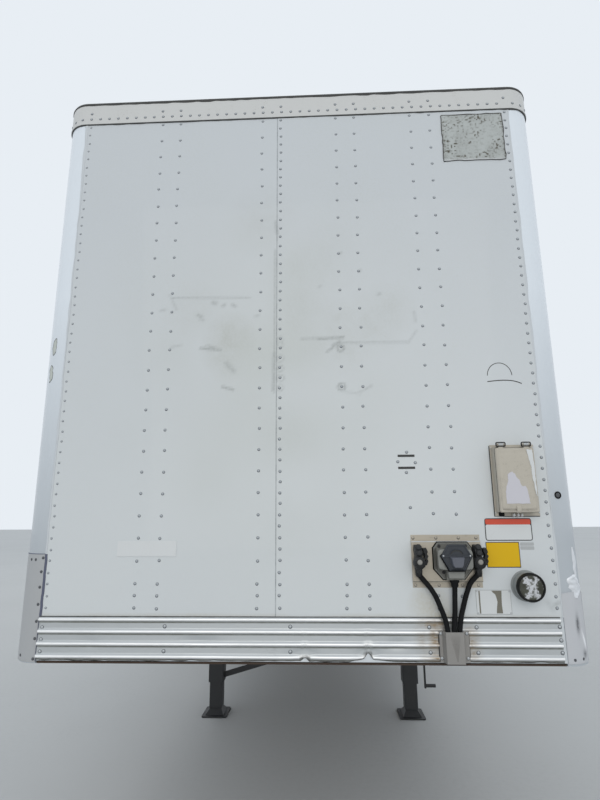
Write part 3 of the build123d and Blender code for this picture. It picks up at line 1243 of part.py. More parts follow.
# Air springs between the arms and the side rails: a flared piston, rolled bellows, bead plate
PISTON_FOOT_R = 95.0
PISTON_TOP_R = 108.0
PISTON_TOP_Z = 800.0
ROLL_R = 134.0
ROLL_Z = 850.0
BELLOWS_R = 126.0
BELLOWS_BOTTOM = 900.0
BELLOWS_TOP = 1020.0
BEAD_PLATE_R = 95.0
BEAD_PLATE_Z = BOGIE_RAIL_BOTTOM - 12.0
with BuildPart() as air_springs:
    for axle_y in AXLE_YS.values():
        spring_y = axle_y + AIR_SPRING_AFTER
        with BuildSketch(Plane(origin=(ARM_X, spring_y, 0), x_dir=(1, 0, 0), z_dir=(0, -1, 0))):
            with BuildLine():
                piston = Polyline((0, ARM_SEAT_Z), (PISTON_FOOT_R, ARM_SEAT_Z), (PISTON_TOP_R, PISTON_TOP_Z))
                roll = ThreePointArc(piston @ 1, (ROLL_R, ROLL_Z), (BELLOWS_R, BELLOWS_BOTTOM))
                bellows = Line(roll @ 1, (BELLOWS_R, BELLOWS_TOP))
                shoulder = Line(bellows @ 1, (BEAD_PLATE_R, BEAD_PLATE_Z))
                Polyline(
                    shoulder @ 1,
                    (BEAD_PLATE_R, BOGIE_RAIL_BOTTOM),
                    (0, BOGIE_RAIL_BOTTOM),
                    piston @ 0,
                )
            make_face()
        revolve(axis=Axis((ARM_X, spring_y, 0), (0, 0, 1)))
    mirror(about=Plane.YZ)
air_springs.part.label = "air_springs"
export_step(air_springs.part, "parts/air_springs.step")

# Shock absorbers beside the arms: a wide upper tube over a lower one, with an eye at each end
SHOCK_X = ARM_X - 82.0
SHOCK_AFTER = 130.0
SHOCK_LOW_Z = 640.0
SHOCK_HIGH_Z = 1110.0
SHOCK_LOWER_R = 22.0
SHOCK_UPPER_R = 30.0
SHOCK_SKIRT_Z = 860.0
SHOCK_TOP_Z = SHOCK_HIGH_Z - 20.0
SHOCK_EYE_R = 24.0
SHOCK_EYE_X = SHOCK_X - 20.0
with BuildPart() as shock_absorbers:
    for axle_y in AXLE_YS.values():
        shock_y = axle_y + SHOCK_AFTER
        with BuildSketch(Plane(origin=(SHOCK_X, shock_y, 0), x_dir=(1, 0, 0), z_dir=(0, -1, 0))):
            with BuildLine():
                Polyline(
                    (0, SHOCK_LOW_Z),
                    (SHOCK_LOWER_R, SHOCK_LOW_Z),
                    (SHOCK_LOWER_R, SHOCK_SKIRT_Z),
                    (SHOCK_UPPER_R, SHOCK_SKIRT_Z),
                    (SHOCK_UPPER_R, SHOCK_TOP_Z),
                    (0, SHOCK_TOP_Z),
                    close=True,
                )
            make_face()
        revolve(axis=Axis((SHOCK_X, shock_y, 0), (0, 0, 1)))
        for eye_z, seat_x in ((SHOCK_LOW_Z, ARM_X - ARM_HALF), (SHOCK_HIGH_Z, BOGIE_RAIL_INNER_X)):
            with BuildSketch(Plane.YZ.offset(SHOCK_EYE_X)):
                with Locations((shock_y, eye_z)):
                    Circle(SHOCK_EYE_R)
            extrude(amount=seat_x - SHOCK_EYE_X)
    mirror(about=Plane.YZ)
shock_absorbers.part.label = "shock_absorbers"
export_step(shock_absorbers.part, "parts/shock_absorbers.step")

# Axles: a round tube, spindles that carry the hubs, and the dust shields of the brakes
AXLE_R = 63.5
TUBE_END_X = 730.0
SPINDLE_R = 38.0
SPINDLE_ROOT_X = 760.0
SPINDLE_END_X = 1050.0
SHIELD_X = 696.0
SHIELD_T = 6.0
SHIELD_R = 195.0
AXLE_SEAT_WIDTH = 100.0
AXLE_SEAT_LENGTH = 120.0
HUB_BORE_R = 39.0
with BuildPart() as axles:
    for axle_y in AXLE_YS.values():
        with BuildSketch(wheel_plane(axle_y)):
            with BuildLine():
                Polyline(
                    (0, 0),
                    (0, AXLE_R),
                    (SHIELD_X, AXLE_R),
                    (SHIELD_X, SHIELD_R),
                    (SHIELD_X + SHIELD_T, SHIELD_R),
                    (SHIELD_X + SHIELD_T, AXLE_R),
                    (TUBE_END_X, AXLE_R),
                    (SPINDLE_ROOT_X, SPINDLE_R),
                    (SPINDLE_END_X, SPINDLE_R),
                    (SPINDLE_END_X, 0),
                    close=True,
                )
            make_face()
        revolve(axis=Axis((0, axle_y, AXLE_Z), (1, 0, 0)))
        with BuildSketch(Plane.XY.offset(AXLE_Z)):
            with Locations((ARM_X, axle_y)):
                Rectangle(AXLE_SEAT_WIDTH, AXLE_SEAT_LENGTH)
        extrude(amount=ARM_BOTTOM_Z - AXLE_Z)
    mirror(about=Plane.YZ)
axles.part.label = "axles"
export_step(axles.part, "parts/axles.step")

# Brake gear: on each axle end a chamber on its bracket, the push rod, the slack adjuster and
# the camshaft. Profiles are pairs of distance behind the axle and height.
CHAMBER_X = 320.0
CHAMBER_Z = 650.0
CHAMBER_R = 76.0
CHAMBER_AFTER = 190.0
CHAMBER_LENGTH = 170.0
CAMSHAFT_AFTER = 110.0
CAMSHAFT_R = 19.0
PUSH_ROD_R = 10.0
ADJUSTER_T = 24.0
ADJUSTER_PROFILE = [(88, 480), (132, 480), (122, 668), (98, 668)]
BRACKET_X = CHAMBER_X - 100.0
BRACKET_T = 14.0
BRACKET_PROFILE = [(0, 528), (60, 528), (178, 580), (178, 722), (160, 722), (0, 600)]
CHAMBER_PLATE_AFTER = 178.0
CHAMBER_PLATE_X = CHAMBER_X - 10.0
CHAMBER_PLATE_WIDTH = 190.0
CHAMBER_PLATE_HEIGHT = 150.0
with BuildPart() as brake_gear:
    for axle_y in AXLE_YS.values():
        with BuildSketch(Plane.XZ.offset(-(axle_y + CHAMBER_AFTER))):
            with Locations((CHAMBER_X, CHAMBER_Z)):
                Circle(CHAMBER_R)
        extrude(amount=-CHAMBER_LENGTH)
        with BuildSketch(Plane.XZ.offset(-(axle_y + CAMSHAFT_AFTER))):
            with Locations((CHAMBER_X, CHAMBER_Z)):
                Circle(PUSH_ROD_R)
        extrude(amount=CAMSHAFT_AFTER - CHAMBER_AFTER)
        with BuildSketch(Plane.YZ.offset(CHAMBER_X - ADJUSTER_T / 2)):
            with BuildLine():
                Polyline(*[(axle_y + behind, z) for behind, z in ADJUSTER_PROFILE], close=True)
            make_face()
        extrude(amount=ADJUSTER_T)
        with BuildSketch(Plane.YZ.offset(CHAMBER_X)):
            with Locations((axle_y + CAMSHAFT_AFTER, AXLE_Z)):
                Circle(CAMSHAFT_R)
        extrude(amount=SHIELD_X - CHAMBER_X)
        with BuildSketch(Plane.YZ.offset(BRACKET_X)):
            with BuildLine():
                Polyline(*[(axle_y + behind, z) for behind, z in BRACKET_PROFILE], close=True)
            make_face()
            with Locations((axle_y, AXLE_Z)):
                Circle(AXLE_R, mode=Mode.SUBTRACT)
        extrude(amount=BRACKET_T)
        with BuildSketch(Plane.XZ.offset(-(axle_y + CHAMBER_PLATE_AFTER))):
            with Locations((CHAMBER_PLATE_X, CHAMBER_Z)):
                Rectangle(CHAMBER_PLATE_WIDTH, CHAMBER_PLATE_HEIGHT)
        extrude(amount=CHAMBER_PLATE_AFTER - CHAMBER_AFTER)
    mirror(about=Plane.YZ)
brake_gear.part.label = "brake_gear"
export_step(brake_gear.part, "parts/brake_gear.step")

# Air tank across the bogie, slung from its cross tube. The dished end is pairs of distance
# from the tank's end and radius.
TANK_Y = CROSS_TUBE_YS[2]
TANK_Z = 930.0
TANK_HALF = 340.0
TANK_END = [(0, 0), (0, 50), (16, 96), (50, 120)]
TANK_STRAP_X = 220.0
TANK_STRAP_WIDTH = 40.0
TANK_STRAP_LENGTH = 120.0
TANK_STRAP_Z = 990.0
with BuildPart() as air_tank:
    with BuildSketch(Plane(origin=(0, TANK_Y, TANK_Z), x_dir=(1, 0, 0), z_dir=(0, -1, 0))):
        with BuildLine():
            Polyline(
                *[(inset - TANK_HALF, radius) for inset, radius in TANK_END],
                *[(TANK_HALF - inset, radius) for inset, radius in reversed(TANK_END)],
                close=True,
            )
        make_face()
    revolve(axis=Axis((0, TANK_Y, TANK_Z), (1, 0, 0)))
    with BuildSketch(Plane.XY.offset(TANK_STRAP_Z)):
        with Locations((-TANK_STRAP_X, TANK_Y), (TANK_STRAP_X, TANK_Y)):
            Rectangle(TANK_STRAP_WIDTH, TANK_STRAP_LENGTH)
    extrude(amount=CROSS_TUBE_Z - CROSS_TUBE_HEIGHT / 2 - TANK_STRAP_Z)
air_tank.part.label = "air_tank"
export_step(air_tank.part, "parts/air_tank.step")

# Mud flaps behind the rear wheels
with BuildPart() as mud_flaps:
    with BuildSketch(Plane.XZ.offset(-FLAP_Y)):
        with Locations((FLAP_X, (FLAP_TOP + FLAP_BOTTOM) / 2)):
            Rectangle(FLAP_WIDTH, FLAP_TOP - FLAP_BOTTOM)
    extrude(amount=-FLAP_T)
    mirror(about=Plane.YZ)
mud_flaps.part.label = "mud_flaps"
export_step(mud_flaps.part, "parts/mud_flaps.step")

# Wheels: on every axle end a hub with its drum, a pair of disc wheels and two tyres. The
# tyre's profile is pairs of distance from its middle and radius.
DISC_T = 12.0
DISC_BORE_R = 106.0
DISC_FLAT_R = 190.0
RIM_T = 8.0
RIM_WALL = 40.0
RIM_WELL_R = 260.0
RIM_EDGE_R = 272.0
RIM_LIP_R = 300.0
HUB_FLANGE_X = DUAL_X - DISC_T
HUB_FLANGE_R = 165.0
HUB_BACK_X = 765.0
HUB_BARREL_R = 95.0
DRUM_BACK_X = 710.0
DRUM_FRONT_X = 905.0
DRUM_INNER_R = 208.0
DRUM_OUTER_R = 230.0
DRUM_SHOULDER_X = 918.0
HUB_NECK_X = 935.0
HUB_NOSE_R = 105.0
HUB_NOSE_X = 1080.0
CAP_ROOT_X = 1085.0
CAP_ROOT_R = 72.0
HUB_CAP_X = 1118.0
HUB_CAP_R = 66.0
HUB_BORE_END_X = 1056.0
HAND_HOLES = 5
HAND_HOLE_R = 26.0
HAND_HOLE_RING = 224.0
HAND_HOLE_DEPTH = 62.0
HAND_HOLE_ANGLE = 18.0
TYRE_PLAY = 0.5
TYRE_PROFILE = [
    (BEAD_HALF, BEAD_R + TYRE_PLAY),
    (BEAD_HALF, 302),
    (TYRE_HALF - 8, 335),
    (TYRE_HALF, 385),
    (126, 460),
    (108, 500),
]
for axle_name, axle_y in AXLE_YS.items():
    axle_line = Axis((0, axle_y, AXLE_Z), (1, 0, 0))
    for side, sign in SIDES.items():
        with BuildPart() as wheel_pair:
            with BuildSketch(wheel_plane(axle_y)):
                for rim_sign in (-1, 1):
                    near = DUAL_X + rim_sign * (DUAL_HALF - BEAD_HALF - RIM_T)
                    far = DUAL_X + rim_sign * (DUAL_HALF + BEAD_HALF + RIM_T)
                    disc = DUAL_X + rim_sign * DISC_T
                    with BuildLine():
                        Polyline(
                            (sign * DUAL_X, DISC_BORE_R),
                            (sign * disc, DISC_BORE_R),
                            (sign * disc, DISC_FLAT_R),
                            (sign * (near + rim_sign * RIM_WALL), RIM_EDGE_R),
                            (sign * far, RIM_EDGE_R),
                            (sign * far, RIM_LIP_R),
                            (sign * (far - rim_sign * RIM_T), RIM_LIP_R),
                            (sign * (far - rim_sign * RIM_T), BEAD_R),
                            (sign * (near + rim_sign * RIM_T), BEAD_R),
                            (sign * (near + rim_sign * RIM_T), RIM_LIP_R),
                            (sign * near, RIM_LIP_R),
                            (sign * near, RIM_WELL_R),
                            (sign * DUAL_X, DISC_FLAT_R),
                            close=True,
                        )
                    make_face()
            revolve(axis=axle_line)
            with BuildSketch(wheel_plane(axle_y)):
                with BuildLine():
                    Polyline(
                        (sign * HUB_BACK_X, HUB_BORE_R),
                        (sign * HUB_BACK_X, HUB_BARREL_R),
                        (sign * DRUM_FRONT_X, HUB_BARREL_R),
                        (sign * DRUM_FRONT_X, DRUM_INNER_R),
                        (sign * DRUM_BACK_X, DRUM_INNER_R),
                        (sign * DRUM_BACK_X, DRUM_OUTER_R),
                        (sign * DRUM_SHOULDER_X, DRUM_OUTER_R),
                        (sign * HUB_NECK_X, HUB_FLANGE_R),
                        (sign * HUB_FLANGE_X, HUB_FLANGE_R),
                        (sign * HUB_FLANGE_X, HUB_NOSE_R),
                        (sign * HUB_NOSE_X, HUB_NOSE_R),
                        (sign * CAP_ROOT_X, CAP_ROOT_R),
                        (sign * HUB_CAP_X, HUB_CAP_R),
                        (sign * HUB_CAP_X, 0),
                        (sign * HUB_BORE_END_X, 0),
                        (sign * HUB_BORE_END_X, HUB_BORE_R),
                        close=True,
                    )
                make_face()
            revolve(axis=axle_line)
            with BuildSketch(Plane.YZ.offset(sign * (DUAL_X + HAND_HOLE_DEPTH))):
                with Locations((axle_y, AXLE_Z)):
                    with PolarLocations(HAND_HOLE_RING, HAND_HOLES, start_angle=HAND_HOLE_ANGLE):
                        Circle(HAND_HOLE_R)
            extrude(amount=-2 * sign * HAND_HOLE_DEPTH, mode=Mode.SUBTRACT)
        wheel_pair.part.label = f"wheels_{axle_name}_{side}"
        export_step(wheel_pair.part, f"parts/wheels_{axle_name}_{side}.step")

        with BuildPart() as tyre_pair:
            with BuildSketch(wheel_plane(axle_y)):
                for tyre_sign in (-1, 1):
                    middle = sign * (DUAL_X + tyre_sign * DUAL_HALF)
                    with BuildLine():
                        Polyline(
                            *[(middle - half, radius) for half, radius in TYRE_PROFILE],
                            (middle, TYRE_R),
                            *[(middle + half, radius) for half, radius in reversed(TYRE_PROFILE)],
                            close=True,
                        )
                    make_face()
            revolve(axis=axle_line)
        tyre_pair.part.label = f"tyres_{axle_name}_{side}"
        export_step(tyre_pair.part, f"parts/tyres_{axle_name}_{side}.step")
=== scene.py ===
import sys

import logging
import math
from dataclasses import dataclass
from enum import Enum
from functools import cache
from typing import Any, Iterable, Mapping, Sequence

import bmesh
import bpy
import numpy as np
from mathutils import Matrix


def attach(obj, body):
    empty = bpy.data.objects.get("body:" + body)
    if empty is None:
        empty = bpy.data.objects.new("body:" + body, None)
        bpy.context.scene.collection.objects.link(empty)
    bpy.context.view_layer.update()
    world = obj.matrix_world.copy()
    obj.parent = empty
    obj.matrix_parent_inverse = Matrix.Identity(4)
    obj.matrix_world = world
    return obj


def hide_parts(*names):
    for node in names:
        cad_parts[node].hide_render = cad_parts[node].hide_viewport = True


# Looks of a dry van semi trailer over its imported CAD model. Metres; +X is the driver's side,
# -Y the nose and +Z up. Every piece is worked out where it stands and rides on a CAD body.
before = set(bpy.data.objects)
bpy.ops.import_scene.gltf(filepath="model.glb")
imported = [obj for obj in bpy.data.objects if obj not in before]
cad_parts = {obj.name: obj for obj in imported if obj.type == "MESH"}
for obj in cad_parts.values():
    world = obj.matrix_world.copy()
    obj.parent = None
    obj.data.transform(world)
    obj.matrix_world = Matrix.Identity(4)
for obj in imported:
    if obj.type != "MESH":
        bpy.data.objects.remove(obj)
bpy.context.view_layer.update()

LOG = logging.getLogger("trailer")

# Sizes taken from the CAD model
FRONT = -8.052
REAR = 8.102
SKIN_X = 1.288
RAIL_X = 1.292
CORNER_R = 0.125
CORNER_X = SKIN_X - CORNER_R
WALL_HALF = 1.157
PANEL_BOTTOM = 1.215
PANEL_TOP = 1.398
RAIL_BOTTOM = 3.974
RAIL_TOP = 4.097
AXLE_Z = 0.508
AXLE_Y = {"front": 3.803, "rear": 5.048}
DUAL_X = 0.984
DUAL_HALF = 0.165

# Rivet heads on the nose and on the long sides, and half the height of reflective tape
NOSE_RIVET_R = 0.0056
SIDE_RIVET_R = 0.0065
TAPE_HALF = 0.025

# Short names of types: rows of numbers, a node's socket and a node tree
Outline = Sequence[Sequence[float]]
Socket = bpy.types.NodeSocket
Tree = bpy.types.NodeTree


# ---- Shapes ----
class Facing(Enum):
    """A side of the trailer; rows of the matrix are the across, up and out directions."""

    NOSE = ((1, 0, 0), (0, 0, 1), (0, -1, 0))
    REAR = ((-1, 0, 0), (0, 0, 1), (0, 1, 0))
    DRIVER = ((0, 1, 0), (0, 0, 1), (1, 0, 0))
    KERB = ((0, -1, 0), (0, 0, 1), (-1, 0, 0))
    SKY = ((1, 0, 0), (0, 1, 0), (0, 0, 1))
    GROUND = ((1, 0, 0), (0, -1, 0), (0, 0, -1))

    @property
    def axes(self) -> np.ndarray:
        """The three directions as a matrix."""
        return np.array(self.value, float)

    @property
    def out(self) -> np.ndarray:
        """The direction that the side looks towards."""
        return self.axes[2]


@dataclass(frozen=True)
class Shape:
    """Points and faces of one or more surfaces.

    Attributes:
        points: One row of x, y, z for each point.
        faces: Arrays of corner numbers; every array holds faces with the same number of corners.
    """

    points: np.ndarray
    faces: tuple[np.ndarray, ...]

    def placed(self, at: Sequence[float], facing: Facing = Facing.NOSE) -> "Shape":
        """Reads the points as (across, up, out) of a facing and moves them to a place.

        Args:
            at: Where the shape's own origin goes.
            facing: The side that the shape looks towards.

        Returns:
            The shape in the trailer's frame.
        """
        return Shape(self.points @ facing.axes + np.asarray(at, float), self.faces)

    def scattered(self, places: np.ndarray, outs: np.ndarray = Facing.NOSE.out) -> "Shape":
        """One copy at each place, with its own out direction along the given normal.

        Each copy is place + across * a + up * b + out * c, where across is vertical x out
        and up is out x across.

        Args:
            places: Rows of x, y, z.
            outs: One unit normal for each place, or one for all of them.

        Returns:
            All copies as one shape.
        """
        places = np.atleast_2d(np.asarray(places, float))
        outs = np.broadcast_to(np.asarray(outs, float), places.shape)
        upright = np.abs(outs[:, 2:]) > 0.9
        guide = np.where(upright, (0.0, 1.0, 0.0), (0.0, 0.0, 1.0))
        across = np.cross(guide, outs)
        across /= np.linalg.norm(across, axis=1, keepdims=True)
        axes = np.stack([across, np.cross(outs, across), outs], axis=1)
        points = (np.einsum("pk,nkj->npj", self.points, axes) + places[:, None]).reshape(-1, 3)
        shift = len(self.points) * np.arange(len(places))[:, None, None]
        faces = tuple((f[None] + shift).reshape(-1, f.shape[1]) for f in self.faces)
        return Shape(points, faces)


def joined(shapes: Iterable[Shape]) -> Shape:
    """Several shapes as one, each with its corner numbers moved past those before it."""
    parts = list(shapes)
    starts = np.cumsum([0] + [len(s.points) for s in parts])[:-1]
    faces = tuple(f + start for s, start in zip(parts, starts) for f in s.faces)
    return Shape(np.concatenate([s.points for s in parts]), faces)


def lattice(points: np.ndarray, wrap_rows: bool = False, wrap_columns: bool = False) -> Shape:
    """Surface through a grid of points; its faces look along column direction x row direction.

    Args:
        points: Array of rows by columns by 3.
        wrap_rows: Joins the last row to the first.
        wrap_columns: Joins the last column to the first.

    Returns:
        The surface, one quad between each four neighbours.
    """
    rows, columns = points.shape[:2]
    r, c = np.meshgrid(
        np.arange(rows if wrap_rows else rows - 1),
        np.arange(columns if wrap_columns else columns - 1),
        indexing="ij",
    )
    r1, c1 = (r + 1) % rows, (c + 1) % columns
    corners = [r * columns + c, r * columns + c1, r1 * columns + c1, r1 * columns + c]
    return Shape(points.reshape(-1, 3), (np.stack(corners, -1).reshape(-1, 4),))


def round_angles(steps: int) -> np.ndarray:
    """Angles once round, the last one step short of the first."""
    return np.linspace(0, 2 * np.pi, steps, endpoint=False)


def turned(profile: Outline, steps: int, ring: bool = False) -> Shape:
    """Revolves a profile about the out axis: (r cos t, r sin t, h) for t once round.

    Args:
        profile: Pairs of radius and height, from the base outwards to the tip.
        steps: Number of steps round.
        ring: Joins the profile's end to its start, which makes a ring.

    Returns:
        The turned surface in (across, up, out).
    """
    radius, height = np.array(profile, float).T[..., None]
    t = round_angles(steps)
    points = np.stack([radius * np.cos(t), radius * np.sin(t), height + 0 * t], axis=-1)
    return lattice(points, wrap_rows=ring, wrap_columns=True)


def prism(outline: Outline, depth: float, base: float = 0.0, taper: float = 1.0) -> Shape:
    """Outline in (across, up) carried outwards from base to depth, closed at both ends.

    Args:
        outline: Corners of the outline, in either direction.
        depth: Height of the front face.
        base: Height of the back face.
        taper: Size of the front face as a share of the back face, about the outline's middle.

    Returns:
        The closed block.
    """
    flat = np.array(outline, float)
    x, y = flat.T
    if np.sum(x * np.roll(y, -1) - np.roll(x, -1) * y) < 0:
        flat = flat[::-1]
    middle = flat.mean(axis=0)
    front = middle + (flat - middle) * taper
    count = len(flat)
    rows = np.stack([np.c_[flat, np.full(count, base)], np.c_[front, np.full(count, depth)]])
    sides = lattice(rows, wrap_columns=True)
    ends = np.stack([np.arange(count)[::-1], np.arange(count) + count])
    return Shape(sides.points, sides.faces + (ends,))


def rounded(width: float, height: float, radius: float, steps: int = 5) -> np.ndarray:
    """Outline of a rectangle about the origin with quarter circles at its corners."""
    t = np.linspace(0, np.pi / 2, steps)
    x, y = width / 2 - radius, height / 2 - radius
    arcs = [
        np.c_[sx * x + radius * np.cos(t + turn), sy * y + radius * np.sin(t + turn)]
        for sx, sy, turn in ((1, 1, 0), (-1, 1, np.pi / 2), (-1, -1, np.pi), (1, -1, 3 * np.pi / 2))
    ]
    return np.concatenate(arcs)


def swept(section: Outline, path: np.ndarray, guide: Sequence[float] = (0, 0, 1)) -> Shape:
    """Carries a section along a path: point + side * a + rise * b, closed at both ends.

    Side is guide x tangent and rise is tangent x side, so the section keeps its turn.

    Args:
        section: Corners of the section, anticlockwise in (side, rise).
        path: Rows of x, y, z.
        guide: Direction that the rise keeps to.

    Returns:
        The closed bar or pipe.
    """
    flat = np.array(section, float)
    tangent = np.gradient(path, axis=0)
    tangent /= np.linalg.norm(tangent, axis=1, keepdims=True)
    side = np.cross(np.asarray(guide, float), tangent)
    side /= np.linalg.norm(side, axis=1, keepdims=True)
    rise = np.cross(tangent, side)
    points = path[:, None] + side[:, None] * flat[None, :, :1] + rise[:, None] * flat[None, :, 1:]
    skin = lattice(points, wrap_columns=True)
    count = len(flat)
    ends = np.stack([np.arange(count)[::-1], np.arange(count) + count * (len(path) - 1)])
    return Shape(skin.points, skin.faces + (ends,))


def closed(loop: np.ndarray) -> np.ndarray:
    """A loop with its first two points again at its end, so that a bar swept along it meets itself."""
    return np.r_[loop, loop[:2]]


def upright(flat: np.ndarray, y: float | np.ndarray) -> np.ndarray:
    """Rows of (x, z) as x, y, z at a depth."""
    return np.c_[flat[:, 0], 0 * flat[:, 0] + y, flat[:, 1]]


def frame_bar(loop: np.ndarray, y: float, section: np.ndarray, guide: Sequence[float] = (0, -1, 0)) -> Shape:
    """A bar of the given section round a loop of (x, z) at a depth."""
    return swept(section, upright(closed(loop), y), guide)


def tape_strip(length: float, thick: float = 0.0006) -> Shape:
    """A strip of reflective tape, its length across."""
    half = length / 2
    return prism([(-half, -TAPE_HALF), (half, -TAPE_HALF), (half, TAPE_HALF), (-half, TAPE_HALF)], thick)


def round_section(radius: float, steps: int = 10) -> np.ndarray:
    """Corners of a circle, anticlockwise."""
    t = round_angles(steps)
    return radius * np.c_[np.cos(t), np.sin(t)]


def ripple(x: np.ndarray, z: np.ndarray, cell: float, seed: int) -> np.ndarray:
    """Smooth random height from 0 to 1.

    Seeded numbers stand on a square lattice, and s * s * (3 - 2 s) eases from one to the next.

    Args:
        x: Distance across.
        z: Distance up.
        cell: Lattice spacing.
        seed: Picks the numbers.

    Returns:
        One height for each point.
    """
    size = 61
    numbers = np.random.default_rng(seed).random((size, size))
    column, row = np.floor(x / cell).astype(int), np.floor(z / cell).astype(int)
    u, v = x / cell - column, z / cell - row
    u, v = u * u * (3 - 2 * u), v * v * (3 - 2 * v)
    left, right = column % size, (column + 1) % size
    low, high = (numbers[r % size, left] * (1 - u) + numbers[r % size, right] * u for r in (row, row + 1))
    return low * (1 - v) + high * v


def near_line(x: np.ndarray, z: np.ndarray, line: Sequence[float], reach: float) -> np.ndarray:
    """One on a line from (x0, z0) to (x1, z1), falling to nothing at the reach: 1 - distance / reach."""
    start, end = np.array(line[:2]), np.array(line[2:4])
    run = end - start
    along = ((x - start[0]) * run[0] + (z - start[1]) * run[1]) / max(float(run @ run), 1e-9)
    along = np.clip(along, 0, 1)
    distance = np.hypot(x - start[0] - along * run[0], z - start[1] - along * run[1])
    return np.clip(1 - distance / reach, 0, 1)


# ---- Finishes ----
def linear(colour: str) -> tuple[float, float, float, float]:
    """An sRGB hex value such as #c0c4c8 as linear red, green, blue and alpha."""
    values = np.array([int(colour[i : i + 2], 16) for i in (1, 3, 5)]) / 255
    red, green, blue = np.where(values <= 0.04045, values / 12.92, ((values + 0.055) / 1.055) ** 2.4)
    return float(red), float(green), float(blue), 1.0


def add_node(
    tree: Tree, kind: str, inputs: Mapping[Any, Any] | None = None, **settings: Any
) -> bpy.types.Node:
    """Adds a node with its settings, values and links.

    Args:
        tree: The material's node tree.
        kind: Blender's name of the node type.
        inputs: Value or output socket for each input, by name or number.
        **settings: The node's own properties.

    Returns:
        The new node.
    """
    node = tree.nodes.new(kind)
    for key, value in settings.items():
        setattr(node, key, value)
    for key, value in (inputs or {}).items():
        if isinstance(value, Socket):
            tree.links.new(value, node.inputs[key])
        else:
            node.inputs[key].default_value = value
    return node


def maths(tree: Tree, operation: str, *values: Any, clamp: bool = False) -> Socket:
    """Result of a sum on values and sockets, by Blender's name of the operation."""
    return add_node(
        tree, "ShaderNodeMath", dict(enumerate(values)), operation=operation, use_clamp=clamp
    ).outputs[0]


def mixed(tree: Tree, amount: Any, first: Any, second: Any, blend: str = "MIX") -> Socket:
    """The first colour turned to the second by an amount."""
    inputs = {0: amount, 6: first, 7: second}
    return add_node(tree, "ShaderNodeMix", inputs, data_type="RGBA", blend_type=blend).outputs[2]


def ranged(
    tree: Tree, value: Socket, source: Sequence[float], target: Sequence[float] = (0, 1), ease: str = "LINEAR"
) -> Socket:
    """A value carried from one range to another and held at the other's ends."""
    ends = dict(zip(("From Min", "From Max", "To Min", "To Max"), (*source, *target)))
    return add_node(tree, "ShaderNodeMapRange", {"Value": value, **ends}, interpolation_type=ease).outputs[0]


def noise(
    tree: Tree, place: Socket, scale: Sequence[float], size_mm: float, detail: float, rough: float
) -> Socket:
    """Noise of a size in millimetres, after the place is scaled along x, y and z."""
    drawn = add_node(tree, "ShaderNodeMapping", {"Vector": place, "Scale": scale}).outputs[0]
    inputs = {"Vector": drawn, "Scale": 1000 / size_mm, "Detail": detail, "Roughness": rough}
    return add_node(tree, "ShaderNodeTexNoise", inputs).outputs["Fac"]


@dataclass(frozen=True)
class Finish:
    """A surface whose wear comes in broad clouds with a fine grain in them.

    Attributes:
        name: The real finish.
        slot: The record's material slot; not used.
        colour: Clean colour, sRGB.
        worn: Colour of the worn or dirty places, sRGB.
        roughness: Roughness of the clean surface.
        metallic: One for bare metal.
        ior: Refractive index; a metal keeps the default.
        coat: Clear coat on top.
        cloud_mm: Size of the worn patches.
        grain_mm: Size of the fine grain.
        runs: How many times longer than wide a patch is, down the surface.
        share: Share of the surface that is worn.
        soft: Width of the step from clean to worn.
        relief_mm: Height of the grain.
        lay: Scale of the grain along x, y and z; a small value draws it out along that axis.
    """

    name: str
    slot: str
    colour: str
    worn: str
    roughness: float
    metallic: float = 0.0
    ior: float = 1.5
    coat: float = 0.0
    cloud_mm: float = 60.0
    grain_mm: float = 3.0
    runs: float = 1.0
    share: float = 0.4
    soft: float = 0.3
    relief_mm: float = 0.1
    lay: tuple[float, float, float] = (1.0, 1.0, 1.0)

    def tint(self, tree: Tree, place: Socket, worn: Socket, grain: Socket) -> Socket:
        """The surface's colour: the clean one turned to the worn one by the mask.

        Args:
            tree: The material's node tree.
            place: Where a point is, on the object; not used here.
            worn: Mask of the worn places.
            grain: The fine grain; not used here.

        Returns:
            The colour's socket.
        """
        return mixed(tree, worn, linear(self.colour), linear(self.worn))

    def material(self) -> bpy.types.Material:
        """Builds the material, with clouds of wear and a grain that roughens their edges and gives relief.

        Returns:
            The material with its node tree.
        """
        made = bpy.data.materials.new(self.name)
        made.use_nodes = True
        tree = made.node_tree
        tree.nodes.clear()
        place = add_node(tree, "ShaderNodeTexCoord").outputs["Object"]
        cloud = noise(tree, place, (1, 1, 1 / self.runs), self.cloud_mm, 7.0, 0.62)
        grain = noise(tree, place, self.lay, self.grain_mm, 3.0, 0.55)
        # Noise gathers about a half, so the share is spread over its usual range
        edge = 0.72 - 0.44 * self.share
        both = maths(tree, "MULTIPLY_ADD", cloud, grain, maths(tree, "MULTIPLY", grain, 0.18))
        worn = ranged(tree, both, (edge - self.soft / 2, edge + self.soft / 2), ease="SMOOTHSTEP")
        rough = ranged(tree, cloud, (0.3, 0.7), (self.roughness - 0.05, self.roughness + 0.1))
        relief = {"Height": grain, "Strength": 0.6, "Distance": self.relief_mm / 1000}
        inputs = {
            "Base Color": self.tint(tree, place, worn, grain),
            "Roughness": rough,
            "Metallic": self.metallic,
            "Coat Weight": self.coat,
            "Normal": add_node(tree, "ShaderNodeBump", relief).outputs[0],
        }
        if self.metallic < 0.5:
            inputs["IOR"] = self.ior
        shader = add_node(tree, "ShaderNodeBsdfPrincipled", inputs)
        add_node(tree, "ShaderNodeOutputMaterial", {"Surface": shader.outputs[0]})
        return made


